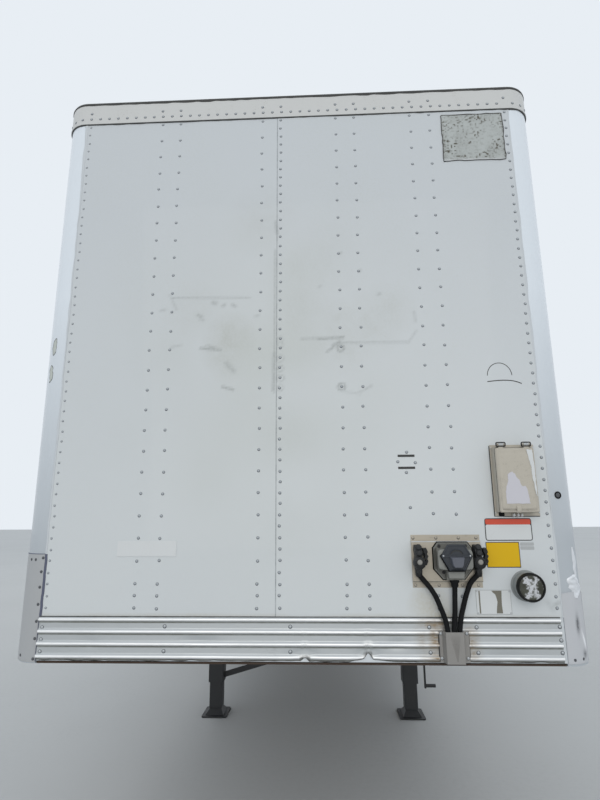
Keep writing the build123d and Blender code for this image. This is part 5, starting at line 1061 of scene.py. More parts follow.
@dataclass
class NoseWall:
    """The nose's big sheet: a lapped joint, faint waves, rows of rivets, scuffs and stains.

    Attributes:
        pitch: Distance between the grid's points.
        proud: How far the sheet stands in front of the CAD wall.
        seam_x: Where the right sheet laps over the left one.
        columns: X of each rivet column at the full pitch.
        fine_columns: X of each column at half the pitch, at the joint and both edges.
        row_top: Height of the highest rivet.
        row_pitch: Distance between rivets in a column.
        plate_rivets: X and z of the five rivets of an old plate.
        covered: Left, bottom, right and top of what hides the rivets under it.
    """

    pitch: float = 0.0095
    proud: float = 0.0003
    seam_x: float = -0.088
    columns: tuple[float, ...] = (-0.728, -0.626, -0.172, 0.228, 0.328, 0.631, 0.733)
    fine_columns: tuple[float, ...] = (-1.135, -0.072, 1.138)
    row_top: float = 3.956
    row_pitch: float = 0.1008
    plate_rivets: Outline = ((0.525, 1.870), (0.521, 2.124), (0.478, 2.077), (0.560, 2.073), (0.518, 2.026))
    covered: Outline = ((0.50, 1.50, 0.84, 1.76), (0.90, 1.82, 1.12, 2.16), (0.79, 3.66, 1.12, 9.0))

    def face_y(self, x: np.ndarray, z: np.ndarray) -> np.ndarray:
        """The sheet's depth: nose - proud - lap - waves.

        Waves are 0.5 mm of slow ripple and a 0.2 mm hollow along each rivet column; all of it
        stays under the 3 mm lips that lie on the wall.
        """
        lap = 0.0008 * (x > self.seam_x)
        waves = 0.0005 * ripple(x, z, 0.45, 3) + 0.0002 * ripple(x, z, 0.12, 4)
        hollow = sum(0.0002 * np.exp(-(((x - c) / 0.03) ** 2)) for c in self.columns)
        return FRONT - self.proud - lap - waves + hollow

    def marks(self, x: np.ndarray, z: np.ndarray) -> dict[str, np.ndarray]:
        """Where the sheet is lightened towards the bottom by painted light, and where it is weathered,
        stained, scuffed, rusty and jointed.

        Stains are soft spots (x, z, reach, amount), scuffs are strokes (x0, z0, x1, z1, reach, amount) and
        rings (x, z, radius, width, amount); each counts where it is stronger than what is there.
        """
        # Painted light: the sheet grows lighter towards the bottom
        painted_light_low = np.clip((3.4 - z) / 1.8, 0, 1) * (0.35 + 0.3 * ripple(x, z, 0.5, 6))
        middle = np.exp(-(((x + 0.15) / 0.55) ** 2 + ((z - 2.5) / 0.75) ** 2))
        weathered = 0.6 * middle * (0.5 + ripple(x, z, 0.22, 7))
        stained = 0 * x
        for cx, cz, reach, amount in (
            (-0.33, 2.705, 0.075, 0.62), (-0.36, 2.62, 0.06, 0.5), (-0.34, 2.56, 0.05, 0.35),
            (0.24, 2.66, 0.09, 0.32), (0.21, 2.78, 0.08, 0.32), (0.36, 2.76, 0.1, 0.3),
            (0.47, 2.83, 0.08, 0.3), (0.05, 2.86, 0.1, 0.25), (-0.52, 2.86, 0.09, 0.25),
            (0.15, 2.66, 0.07, 0.25), (0.1, 3.1, 0.14, 0.2), (-0.15, 3.35, 0.12, 0.2),
        ):
            spot = near_line(x, z, (cx, cz, cx, cz), 2 * reach)
            stained = np.maximum(stained, 0.7 * amount * spot * (0.6 + 0.8 * ripple(x, z, 0.035, 9)))
        scuffed = 0 * x
        for x0, z0, x1, z1, reach, amount in (
            (-0.098, 3.177, -0.101, 2.421, 0.008, 0.55), (-0.101, 2.62, -0.104, 2.43, 0.012, 0.8),
            (-0.622, 2.924, -0.228, 2.916, 0.009, 0.5), (-0.638, 2.94, -0.6, 2.86, 0.01, 0.4),
            (-0.47, 2.652, -0.37, 2.64, 0.012, 0.8), (-0.44, 2.665, -0.40, 2.655, 0.01, 0.6),
            (-0.355, 2.452, -0.3, 2.436, 0.011, 0.8), (-0.62, 2.66, -0.57, 2.67, 0.01, 0.4),
            (-0.34, 2.57, -0.3, 2.53, 0.02, 0.5), (0.03, 2.69, 0.19, 2.693, 0.009, 0.6),
            (0.115, 2.687, 0.24, 2.694, 0.011, 0.9), (0.24, 2.665, 0.56, 2.662, 0.009, 0.5),
            (0.56, 2.662, 0.6, 2.72, 0.01, 0.35), (0.16, 2.62, 0.21, 2.66, 0.011, 0.7),
            (0.19, 2.655, 0.225, 2.67, 0.013, 0.8), (0.3, 2.41, 0.37, 2.44, 0.009, 0.35),
            (0.22, 2.42, 0.32, 2.405, 0.009, 0.3), (0.345, 2.43, 0.37, 2.445, 0.01, 0.5),
            (-0.414, 2.892, -0.4, 2.89, 0.018, 0.6), (-0.364, 2.875, -0.355, 2.88, 0.014, 0.6),
            (-0.315, 2.879, -0.3, 2.87, 0.014, 0.6), (-0.49, 2.827, -0.47, 2.82, 0.014, 0.6),
            (-0.479, 2.806, -0.46, 2.8, 0.012, 0.5), (-0.683, 2.857, -0.66, 2.86, 0.012, 0.4),
            (-0.198, 2.815, -0.18, 2.82, 0.012, 0.4), (-0.099, 3.34, -0.09, 3.27, 0.012, 0.6),
            (0.421, 2.917, 0.43, 2.92, 0.014, 0.5), (0.6, 2.77, 0.594, 2.818, 0.012, 0.4),
            (0.331, 3.041, 0.335, 3.05, 0.012, 0.5), (0.232, 3.144, 0.24, 3.15, 0.012, 0.5),
            (0.126, 2.964, 0.13, 2.97, 0.012, 0.4), (1.15, 1.46, 1.13, 1.45, 0.014, 0.6),
            (1.1, 1.46, 1.12, 1.43, 0.02, 0.3),
        ):
            scuffed = np.maximum(scuffed, 0.85 * amount * near_line(x, z, (x0, z0, x1, z1), reach))
        for cx, cz, reach, width, amount in (
            (-0.072, 2.688, 0.014, 0.007, 0.4), (-0.072, 2.66, 0.014, 0.007, 0.4),
            (-0.072, 2.59, 0.017, 0.007, 0.4), (-0.072, 2.54, 0.016, 0.007, 0.4),
            (-0.072, 2.49, 0.018, 0.007, 0.4), (-0.072, 2.44, 0.015, 0.007, 0.4),
            (0.227, 2.639, 0.017, 0.009, 0.75), (0.227, 2.442, 0.017, 0.009, 0.75),
        ):
            ring = np.abs(np.hypot(x - cx, z - cz) - reach)
            scuffed = np.maximum(scuffed, amount * np.clip(1 - ring / width, 0, 1))
        rusty = 0.6 * near_line(x, z, (0.59, 1.44, 0.62, 1.40), 0.11) * (0.4 + ripple(x, z, 0.06, 12))
        rusty = rusty + 0.5 * np.clip(1 - (z - PANEL_TOP) / 0.02, 0, 1) * ripple(x, z, 0.09, 14)
        joint = np.clip(1 - np.abs(x - self.seam_x + 0.0018) / 0.0035, 0, 1)
        joint = joint * (0.6 + 0.5 * ripple(x, z, 0.05, 16))
        return dict(
            painted_light_low=painted_light_low, weathered=weathered, stained=stained, scuffed=scuffed, rusty=rusty, joint=joint
        )

    def sheet(self) -> None:
        """Builds the sheet as a grid of (x, depth(x, z), z), with extra columns beside the joint."""
        wide = np.arange(-WALL_HALF + 0.002, WALL_HALF - 0.0019, self.pitch)
        beside = self.seam_x + np.array([-0.0055, -0.002, -0.0001, 0.0001, 0.002])
        x = np.unique(np.r_[wide[np.abs(wide - self.seam_x) > 0.007], beside, WALL_HALF - 0.002])
        z = np.linspace(PANEL_TOP + 0.001, RAIL_BOTTOM - 0.001, int((RAIL_BOTTOM - PANEL_TOP) / self.pitch))
        gx, gz = np.meshgrid(x, z)
        shape = lattice(np.stack([gx, self.face_y(gx, gz), gz], axis=-1))
        make_piece("nose_sheet", shape, NOSE_SHEET, weld=False, marks=self.marks(gx, gz))

    def rivets(self) -> None:
        """Rivet heads in the photograph's columns, seated on the waving sheet, smaller at the kerb edge."""
        rows = self.row_top - self.row_pitch * np.arange(25)
        rows = np.r_[rows, 1.486, 1.433]
        fine = self.row_top - self.row_pitch / 2 * np.arange(51)
        jitter = np.random.default_rng(5)
        spots = [(x, z) for x in self.columns for z in rows]
        spots += [(x, z) for x in self.fine_columns for z in fine]
        spots += self.plate_rivets
        xz = np.array(spots) + jitter.uniform(-0.0022, 0.0022, (len(spots), 2))
        hidden = np.zeros(len(xz), bool)
        for x0, z0, x1, z1 in self.covered:
            hidden |= (xz[:, 0] > x0) & (xz[:, 0] < x1) & (xz[:, 1] > z0) & (xz[:, 1] < z1)
        xz = xz[~hidden]
        places = upright(xz, self.face_y(*xz.T) + 0.0002)
        kerb = places[:, 0] < -1.1
        for name, chosen, wide, tall, dirt_shade_collar in (("", ~kerb, 1.0, 0.6, 1.35), ("_kerb", kerb, 0.8, 0.5, 1.3)):
            size = wide * NOSE_RIVET_R, tall * NOSE_RIVET_R
            riveted(f"nose_rivets{name}", places[chosen], Facing.NOSE.out, *size, PAINTED_RIVET, dirt_shade_collar=dirt_shade_collar)

    def sealant(self) -> None:
        """Ragged beads of pale sealant at both edges: half an ellipse whose width wanders with height."""
        for label, side, seed in (("kerb", -1, 21), ("driver", 1, 22)):
            z = np.linspace(PANEL_TOP, RAIL_BOTTOM, 190)
            wander = ripple(z, 0 * z, 0.06, seed)
            thick = 0.0025 + 0.0035 * ripple(z, 0 * z + 1, 0.09, seed + 5)
            thick = thick + (side < 0) * 0.004 * np.clip((z - 3.4) / 0.5, 0, 1)
            t = np.linspace(0, np.pi, 7)[:, None]
            x = side * (WALL_HALF - 0.001 + 0.004 * (wander - 0.5)) - thick * np.cos(t)
            y = FRONT - 0.0008 - 0.0022 * np.sin(t) + 0 * z
            shape = lattice(np.stack([x, y, z + 0 * t], axis=-1).transpose(1, 0, 2))
            make_piece(f"joint_sealant_{label}", shape, JOINT_SEALANT, weld=False)

    def adhesive(self) -> None:
        """Lines of old adhesive: an arch with its sill, and two short black strips."""
        t = np.linspace(0.05, np.pi - 0.05, 30)
        arch = np.c_[0.983 + 0.058 * np.cos(t), 2.482 + 0.065 * np.sin(t)]
        low = np.linspace(0, 1, 14)
        sill = np.c_[0.923 + 0.160 * low, 2.455 + 0.006 * np.sin(np.pi * low) - 0.012 * low**6]
        x = np.linspace(0.480, 0.558, 8)
        section = rounded(1.0, 1.0, 0.3, 2)
        lines = [(arch, section * (0.0032, 0.0012), 0), (sill, section * (0.0044, 0.0012), 0)]
        lines += [(np.c_[x, 0 * x + z], rounded(0.011, 0.0016, 0.0006, 2), 0.0015) for z in (2.106, 2.050)]
        shapes = []
        for flat, bar, sway in lines:
            y = self.face_y(*flat.T) - 0.0002
            path = np.c_[flat[:, 0], y, flat[:, 1] + sway * np.sin(9 * flat[:, 0])]
            shapes.append(swept(bar, path, (0, -1, 0)))
        make_piece("adhesive_lines", joined(shapes), DARK_LINE)

    def build(self) -> None:
        """Builds the sheet and everything on it."""
        self.sheet()
        self.rivets()
        self.sealant()
        self.adhesive()


@dataclass
class RibbedPanel:
    """The bent sheet with four rounded ridges along the foot of the nose.

    Attributes:
        ridges: Height of each ridge.
        ridge_half: Half the height that a ridge covers.
        base: How far the flat parts stand in front of the wall.
        rise: How far a ridge stands in front of the flats.
    """

    ridges: tuple[float, ...] = (1.387, 1.337, 1.286, 1.234)
    ridge_half: float = 0.0125
    base: float = 0.004
    rise: float = 0.0075

    def depth(self, x: np.ndarray, z: np.ndarray) -> np.ndarray:
        """How far the sheet stands out: base + rise * cos^2 on each ridge - dents + slow waves."""
        out = self.base + 0 * x
        for n, ridge in enumerate(self.ridges):
            wander = 0.0008 * (ripple(x, 0 * x + n, 0.4, 31 + n) - 0.5)
            gap = np.clip(np.abs(z - ridge - wander) / self.ridge_half, 0, 1)
            out = out + self.rise * np.cos(gap * np.pi / 2) ** 1.4
        for cx, cz, wx, wz, amount in (
            (0.04, 1.235, 0.05, 0.03, 0.007), (0.314, 1.238, 0.045, 0.03, 0.008),
            (-0.42, 1.30, 0.07, 0.015, 0.003), (0.9, 1.24, 0.08, 0.02, 0.003),
            (-0.92, 1.29, 0.05, 0.02, 0.002), (0.44, 1.29, 0.04, 0.02, 0.003),
        ):
            out = out - amount * np.exp(-(((x - cx) / wx) ** 2 + ((z - cz) / wz) ** 2))
        out = out + 0.0006 * (ripple(x, z, 0.30, 41) - 0.5)
        return np.clip(out, 0.0012, self.base + self.rise + 0.001)

    def bottom_edge(self, x: np.ndarray) -> np.ndarray:
        """Height of the torn lower edge: the straight edge with notches and small waves."""
        edge = PANEL_BOTTOM + 0.0035 * ripple(x, 0 * x, 0.07, 51) + 0.002 * ripple(x, 0 * x, 0.018, 52)
        for cx, half, lift in (
            (0.04, 0.018, 0.018), (0.314, 0.020, 0.026), (0.30, 0.07, 0.011), (0.36, 0.06, 0.007),
            (-0.46, 0.04, 0.004),
        ):
            edge = edge + lift * np.clip(1 - np.abs(x - cx) / half, 0, 1)
        return edge

    def build(self) -> None:
        """Builds the panel, a grid of (x, nose - depth, height) with returns to the wall, and its screws."""
        x = np.linspace(-WALL_HALF + 0.0005, WALL_HALF - 0.0140, 300)
        share = np.linspace(0, 1, 74)
        low = self.bottom_edge(x)
        gz = low[None] + (PANEL_TOP + 0.002 - low[None]) * share[:, None]
        gx = np.broadcast_to(x, gz.shape)
        depth = self.depth(gx, gz)
        front = np.stack([gx, FRONT - depth, gz], axis=-1)
        foot, head = (upright(np.c_[x, z], FRONT + 0.0005)[None] for z in (low, gz[-1]))
        points = np.concatenate([foot, front, head])
        make_piece(
            "wear_panel", lattice(points), MILL_ALUMINIUM, replaces=("ribbed_panel",), weld=False,
            marks=self.marks(points[..., 0], points[..., 2]), sharp=60,
        )
        screws = [(-1.140, z) for z in (1.353, 1.303, 1.253)] + [(1.138, z) for z in (1.362, 1.308, 1.258)]
        screws += [(x0, z) for x0 in (-0.583, -0.024, 0.581, 0.784) for z in (1.359, 1.257)]
        xz = np.array(screws)
        riveted(
            "panel_screws", upright(xz, FRONT - self.depth(*xz.T)), Facing.NOSE.out, 0.0064, 0.0045, ZINC_STUD_AND_HIGHLIGHT
        )

    def marks(self, x: np.ndarray, z: np.ndarray) -> dict[str, np.ndarray]:
        """Painted highlights on the crests, painted shade under each ridge, rust in runs, and painted shade
        along the torn foot, under its notches and at the top edge.
        """
        # Painted highlight along each crest, and a band of painted shade just under each ridge
        over = crest_highlight = np.zeros(x.shape)
        for ridge in self.ridges:
            over = np.maximum(over, np.clip(1.6 - np.abs(z - ridge + 0.0115) / 0.0032, 0, 1))
            crest_highlight = np.maximum(crest_highlight, 1.2 * np.exp(-(((z - ridge + 0.0005) / 0.0042) ** 2)))
        crest_highlight = crest_highlight * (0.75 + 0.4 * ripple(x, 0 * z + 5, 0.12, 60))
        dusty = over * (0.7 + 0.4 * ripple(x, 0 * z, 0.3, 61))
        rusty = 0.8 * near_line(x, z, (0.6, 1.33, 0.62, 1.25), 0.1) * (0.3 + ripple(x, z, 0.03, 62))
        for line, reach, amount in (
            ((0.755, 1.33, 0.76, 1.25), 0.05, 0.6), ((0.58, 1.37, 0.64, 1.37), 0.03, 0.9)
        ):
            rusty = np.maximum(rusty, amount * near_line(x, z, line, reach))
        # Painted shade along the torn foot, at the top edge and under the two notches
        dark = 1.2 * np.clip(1 - (z - self.bottom_edge(x)) / 0.006, 0, 1) * (0.4 + ripple(x, z, 0.05, 65))
        dark = np.maximum(dark, 1.3 * np.clip((z - PANEL_TOP + 0.0030) / 0.0030, 0, 1))
        for cx, half, top in ((0.04, 0.026, 1.243), (0.314, 0.020, 1.262)):
            beside = np.clip((1 - np.abs(x - cx) / half) * 3, 0, 1)
            dark = np.maximum(dark, 0.9 * beside * np.clip((top - z) / 0.01, 0, 1))
        return {"crest_highlight": crest_highlight, "dusty": dusty, "rusty": rusty, "dark": dark}


@dataclass
class NoseRail:
    """Rivets along the rail over the nose, with ragged dark sealant above the rail and a dark bead below it
    that is part joint sealant and part painted shade under the rail's lip.

    Attributes:
        face: Y of the rail's front.
        pitch: Distance between rivets.
        row_z: Height of the long row.
        upper_z: Height of the row of single rivets, one at each wall post.
    """

    face: float = FRONT - 0.004
    pitch: float = 0.0508
    row_z: float = 4.008
    upper_z: float = 4.043

    def bead(self, name: str, z: float, tall: float, proud: float, seed: int) -> None:
        """A dark bead that follows the rail round both posts; its height wanders by seeded ripple.

        Args:
            name: The piece's name.
            z: Height of the bead's middle.
            tall: Its usual height.
            proud: How far its middle stands in front of the post.
            seed: Picks the ripple.
        """
        bend = np.linspace(0, 0.28, 40)
        left, left_outs = post_surface(bend[::-1], z, -1, proud)
        right, right_outs = post_surface(bend, z, 1, proud)
        x = np.linspace(-CORNER_X, CORNER_X, 320)[1:-1]
        path = np.concatenate([left, upright(np.c_[x, 0 * x + z], FRONT - proud), right])
        along = np.r_[0, np.cumsum(np.linalg.norm(np.diff(path, axis=0), axis=1))]
        fine = ripple(along, 0 * along, 0.035, seed)
        slow = ripple(along, 0 * along + 3, 0.3, seed + 1)
        half = tall * (0.30 + 0.45 * fine * slow**0.5)
        t = round_angles(8)
        outs = np.concatenate([left_outs, 0 * np.c_[x, x, x] + Facing.NOSE.out, right_outs])
        points = path[:, None] + outs[:, None] * (0.0022 * np.cos(t))[None, :, None]
        points[..., 2] += half[:, None] * np.sin(t)[None]
        make_piece(name, lattice(points, wrap_columns=True), DARK_LINE, weld=False)

    def build(self) -> None:
        """Sets one row of rivets round the rail, a second at each post, and both beads."""
        x = np.arange(-1.134, 1.145, self.pitch)
        posts = np.array([-1.134, -0.731, -0.629, -0.172, -0.071, 0.228, 0.328, 0.631, 0.733, 1.138])
        places = [
            upright(np.r_[np.c_[x, 0 * x + self.row_z], np.c_[posts, 0 * posts + self.upper_z]], self.face)
        ]
        outs = [np.broadcast_to(Facing.NOSE.out, places[0].shape)]
        for side in (-1, 1):
            points, normals = post_surface(np.arange(0.022, 0.29, self.pitch), self.row_z, side, 0.004)
            places.append(points)
            outs.append(normals)
        riveted(
            "nose_rail_rivets", np.concatenate(places), np.concatenate(outs), NOSE_RIVET_R, 0.0033,
            PAINTED_RIVET,
        )
        # The bead under the rail is partly joint sealant and partly painted shade under the rail's lip
        self.bead("rail_joint_shade", RAIL_BOTTOM - 0.0015, 0.0095, 0.0024, 17)
        self.bead("roof_edge_sealant", RAIL_TOP + 0.004, 0.0140, 0.0044, 27)


@dataclass
class CornerPosts:
    """Marks and fasteners on the two rounded posts and the guard plate.

    Attributes:
        foil: Where each piece of foil starts and ends round the post, and its lowest and highest height.
        flakes: The same for the two places where paint has flaked off.
        plug: Distance round the post and height of the rubber plug.
    """

    foil: Outline = ((0.072, 0.104, 1.552, 1.690), (0.034, 0.124, 1.476, 1.574))
    flakes: Outline = ((0.058, 0.088, 2.498, 2.580), (0.047, 0.077, 2.638, 2.720))
    plug: tuple[float, float] = (0.032, 1.919)

    def patch(
        self, name: str, side: int, box: Sequence[float], finish: Finish, seed: int, proud: float
    ) -> None:
        """A thin sheet that follows a post, its outline a rectangle with each edge moved by seeded ripple.

        Args:
            name: The piece's name.
            side: 1 on the driver's side, -1 on the kerb side.
            box: Where it starts and ends round the post, and its lowest and highest height.
            finish: What it is made of.
            seed: Picks the ripple.
            proud: How far it stands off the post.
        """
        start, end, low, high = box
        u, v = np.meshgrid(np.linspace(0, 1, 14), np.linspace(0, 1, 26))
        slim = np.sin(np.pi * np.clip(v, 0.02, 0.98)) ** 0.45
        shift = 0.35 * (ripple(v * 3, 0 * v, 0.5, seed) - 0.5)
        width = slim * (0.7 + 0.5 * ripple(v * 4, 0 * v + 2, 0.6, seed + 1))
        along = start + (end - start) * (0.5 + shift + (u - 0.5) * width)
        z = low + (high - low) * v
        crumple = proud * (0.4 + ripple(u * 6, v * 9, 1.0, seed + 2))
        points, normals = post_surface(along, z, side, 0.0002)
        points = points + normals * crumple[..., None] * np.clip(4 * np.minimum(u, 1 - u), 0, 1)[..., None]
        if side < 0:
            points = points[:, ::-1]
        make_piece(name, lattice(points), finish, weld=False)

    def build(self) -> None:
        """Adds all of the posts' dressing."""
        self.patches()
        self.guard()
        self.dented_plate()

    def patches(self) -> None:
        """The foil, the flakes with painted shade round each, and the plug in its ring."""
        names, depths = ("torn_foil_strip", "torn_foil"), (0.0020, 0.0060)
        for name, box, seed, proud in zip(names, self.foil, (70, 71), depths):
            self.patch(name, 1, box, FOIL, seed, proud)
        for name, box, seed in zip(("low", "high"), self.flakes, (72, 74)):
            # A dark patch a little larger than each flake is painted shade round its lifted edge
            edge = np.array(box) + (-0.002, 0.003, -0.004, 0.004)
            self.patch(f"post_flake_shadow_{name}", -1, edge, RIVET_GRIME_SHADE, seed, 0.0004)
            self.patch(f"post_flakes_{name}", -1, box, FLAKED_PAINT, seed, 0.0014)
        place, normal = post_surface(*np.array([self.plug]).T, 1, 0.0)
        ring = turned(
            [(0.011, 0.0), (0.0165, 0.0), (0.0165, 0.003), (0.013, 0.004), (0.011, 0.003)], 20, ring=True
        )
        make_piece("post_plug_ring", ring.scattered(place, normal), HOSE_RUBBER_AND_SHADE)
        make_piece("post_plug", dome(0.0115, 0.004, 16).scattered(place, normal), DARK_STUD)

    def guard(self) -> None:
        """The guard's rivets, and sealant down its sides and over its top."""
        spots = [(0.006, z) for z in (1.591, 1.524, 1.450, 1.378, 1.306, 1.222)]
        spots += [(0.041, 1.644), (0.070, 1.644), (0.003, 1.652), (0.084, 1.231)]
        along, z = np.array(spots).T
        points, normals = post_surface(along, z, -1, 0.003)
        right, outs = post_surface(np.array([0.026, 0.072]), np.array([1.229, 1.230]), 1, 0.0026)
        riveted(
            "guard_rivets", np.r_[points, right], np.r_[normals, outs], NOSE_RIVET_R, 0.0032, DARK_STUD, 1.25
        )
        z = np.linspace(1.400, 1.668, 40)
        side = np.c_[-1.1535 + 0.0022 * (ripple(z, 0 * z, 0.02, 75) - 0.5), 0 * z + FRONT - 0.0016, z]
        z = np.linspace(1.212, 1.398, 12)
        low = np.c_[0 * z - 1.1572, 0 * z + FRONT - 0.0060, z]
        top = post_surface(np.linspace(-0.006, 0.26, 24), 1.6685, -1, 0.0016)[0]
        beads = [
            swept(rounded(width, 0.0030, 0.0010, 2), path, guide)
            for width, path, guide in (
                (0.0120, side, (0, -1, 0)), (0.0026, low, (0, -1, 0)), (0.0050, top, (0, 0, 1))
            )
        ]
        make_piece("guard_sealant", joined(beads), SLATE_SEALANT)

    def dented_plate(self) -> None:
        """The plate on the driver's side, with a wandering ridge and a hollow, painted shade in the hollow,
        under the ridge and over the side that turns away, and a painted highlight along the ridge.

        Each form is a bump exp(-(distance / width)^2) in u, the distance round the post, and v, the height
        as a share of the plate's; the ridge wanders as 0.010 sin(9 v).
        """
        u, v = np.meshgrid(np.linspace(-0.004, 0.170, 44), np.linspace(0, 1, 70))
        off_ridge = u - 0.088 - 0.010 * np.sin(9 * v)
        z = 1.213 + (1.497 + 0.006 * np.sin(30 * u) - 1.213) * v
        ridge = np.exp(-((off_ridge / 0.008) ** 2)) * np.exp(-(((v - 0.35) / 0.28) ** 4))
        hollow = np.exp(-(((u - 0.060) / 0.012) ** 2 + ((v - 0.535) / 0.15) ** 2))
        crumple = 0.0026 + 0.0030 * ridge - 0.0022 * hollow + 0.0008 * ripple(u + 1, z, 0.05, 76)
        # Painted shade in the hollow, under the ridge and over the side that turns away; below, a painted
        # highlight along the ridge
        dent_shade = 1.1 * np.exp(-(((u - 0.061) / 0.009) ** 2 + ((v - 0.535) / 0.12) ** 2))
        dent_shade = dent_shade + 0.5 * np.clip((u - 0.110) / 0.03, 0, 1)
        dent_shade = dent_shade + 0.9 * np.exp(-(((u - 0.088) / 0.012) ** 2 + ((v - 0.12) / 0.06) ** 2))
        bright = 1.1 * np.exp(-((off_ridge / 0.006) ** 2 + ((v - 0.31) / 0.11) ** 2))
        points, normals = post_surface(u, z, 1, 0.0)
        shape = lattice(points + normals * crumple[..., None])
        make_piece(
            "dented_post_plate", shape, DENTED_PAINT, weld=False, marks={"dent_shade": dent_shade, "bright": bright}
        )


@dataclass
class FittingGroup:
    """The plate with its socket, sprung lid, air couplings, lines and cover."""

    plate_face: float = FRONT - 0.012
    lip_face: float = FRONT - 0.003
    flange_face: float = FRONT - 0.020
    lid_face: float = FRONT - 0.083
    socket_x: float = 0.699
    coupling_xs: tuple[float, float] = (0.545, 0.804)

    def studs(self) -> None:
        """Rivets of the plate's two lips and of the cover's flanges, and strips along the plate's bends."""
        upper = [(x, self.lip_face, 1.734) for x in (0.531, 0.633, 0.733, 0.811)]
        lower = [(x, self.lip_face, 1.532) for x in (0.532, 0.635, 0.737, 0.807)]
        riveted(
            "plate_rivets", np.array(upper + lower), Facing.NOSE.out, 0.0060, 0.0036, STAINLESS, dirt_shade_collar=1.22
        )
        cover = np.array([(x, FRONT - 0.015, z) for x in (0.6268, 0.7372) for z in (1.336, 1.237)])
        riveted("cover_rivets", cover, Facing.NOSE.out, 0.0060, 0.0040, ZINC_STUD_AND_HIGHLIGHT, dirt_shade_collar=1.22)
        # Painted highlight: a bright strip along the upper bend; painted shadow: a dark strip along the lower
        # bend
        shine = prism(rounded(0.304, 0.0045, 0.001, 2), 0.0007).placed((0.673, self.plate_face, 1.7180))
        make_piece("plate_bend_shine", shine, ZINC_STUD_AND_HIGHLIGHT)
        groove = prism(rounded(0.306, 0.0026, 0.0008, 2), 0.0006)
        groove = groove.placed((0.673, self.plate_face + 0.0002, 1.5475))
        make_piece("plate_bend_shadow", groove, CAST_ALLOY_AND_SHADOW)

    def cover_stamping(self) -> None:
        """A shallow three-cornered hollow pressed into the cover with painted shade in it, and dark strips of
        painted shade down both of its sides.
        """
        u, v = np.meshgrid(np.linspace(-1, 1, 15), np.linspace(0, 1, 22))
        x = 0.6815 + (0.002 + 0.0235 * v) * u + 0.004 * (1 - v)
        z = 1.2300 + 0.1050 * v
        y = FRONT - 0.0463 - 0.0006 * (1 - np.abs(u))
        # Painted shade in the hollow, which is too shallow to shade itself
        hollow = 0.5 * (1 - np.abs(u) ** 5) * (1 - v**8)
        make_piece(
            "cover_hollow", lattice(np.stack([x, y, z], axis=-1)), COVER_METAL, weld=False,
            marks={"hollow": hollow},
        )
        # Dark strips down both sides of the cover are painted shade in the gaps beside it
        bar = prism([(-0.0015, -0.060), (0.0015, -0.060), (0.0010, 0.058), (-0.0010, 0.058)], 0.0100, -0.0020)
        bars = [bar.placed((x, FRONT, 1.286)) for x in (0.6180, 0.7480)]
        make_piece("cover_side_shade", joined(bars), DARK_LINE)

    def lid(self) -> None:
        """The sprung lid: a six-sided plate with a raised rim, a bar, a curved slot drawn as a dark strip of
        painted shade, and a tongue.
        """
        middle = np.array([self.socket_x, 1.6555])
        corners = np.array(
            [(0.667, 1.600), (0.731, 1.600), (0.765, 1.661), (0.736, 1.710), (0.662, 1.710), (0.633, 1.661)]
        )
        around = corners - middle
        at = (middle[0], self.lid_face, middle[1])
        rim = closed(around) * 0.93
        rim = np.c_[rim, np.full(len(rim), 0.0085)]
        tongue = [
            (-0.030, 0.003), (0.030, 0.003), (0.024, -0.030), (0.017, -0.042), (-0.017, -0.042),
            (-0.024, -0.030),
        ]
        t = np.linspace(0.2, np.pi - 0.2, 15)
        lip = np.c_[0.028 * np.cos(t), 0.012 + 0.022 * np.sin(t), np.full(15, 0.0095)]
        blocks = [
            prism(around, 0.0085, 0.0, 0.97), swept(rounded(0.0075, 0.0055, 0.002, 3), rim),
            prism(rounded(0.120, 0.0085, 0.003, 4) + (0.0, 0.005), 0.0135, 0.008, 0.97),
            swept(rounded(0.0045, 0.0060, 0.0015, 3), lip),
        ]
        eye = rounded(0.012, 0.014, 0.003, 3)
        blocks += [prism(eye + (x, 0.046), 0.002, -0.0115) for x in (-0.012, 0.012)]
        hinge = np.array([(self.socket_x + x, 1.703) for x in (-0.018, 0.018)])
        barrel = swept(round_section(0.0056, 12), upright(hinge, FRONT - 0.077))
        shape = joined([b.placed(at) for b in blocks] + [barrel])
        make_piece("socket_lid_shell", shape, LID_NYLON, "socket_lid", replaces=("socket_lid",), bevel=0.0010)
        make_piece(
            "socket_lid_tongue", prism(tongue, 0.0340, 0.008, 0.88).placed(at), LATCH_TONGUE, "socket_lid",
            bevel=0.0015,
        )
        edge_ring = around * 1.075
        edge_ring[:, 1] = np.minimum(edge_ring[:, 1], 0.0330)
        make_piece("socket_lid_gasket", prism(edge_ring, 0.0012, -0.0030).placed(at), HOSE_RUBBER_AND_SHADE, "socket_lid")
        # The slot is a dark strip on the face, painted shade where the slot would be
        slot = np.c_[0.024 * np.cos(t), 0.011 + 0.017 * np.sin(t), np.full(15, 0.0086)]
        groove = swept(rounded(0.0050, 0.0012, 0.0004, 2), slot).placed(at)
        make_piece("socket_lid_slot", groove, DARK_LINE, "socket_lid")
        screws = np.array([(x, self.lid_face - 0.0125, z) for x, z in ((0.642, 1.6625), (0.756, 1.6625))])
        make_piece("socket_lid_screws", dome(0.0038, 0.0022, 10).scattered(screws), ZINC_STUD_AND_HIGHLIGHT, "socket_lid")

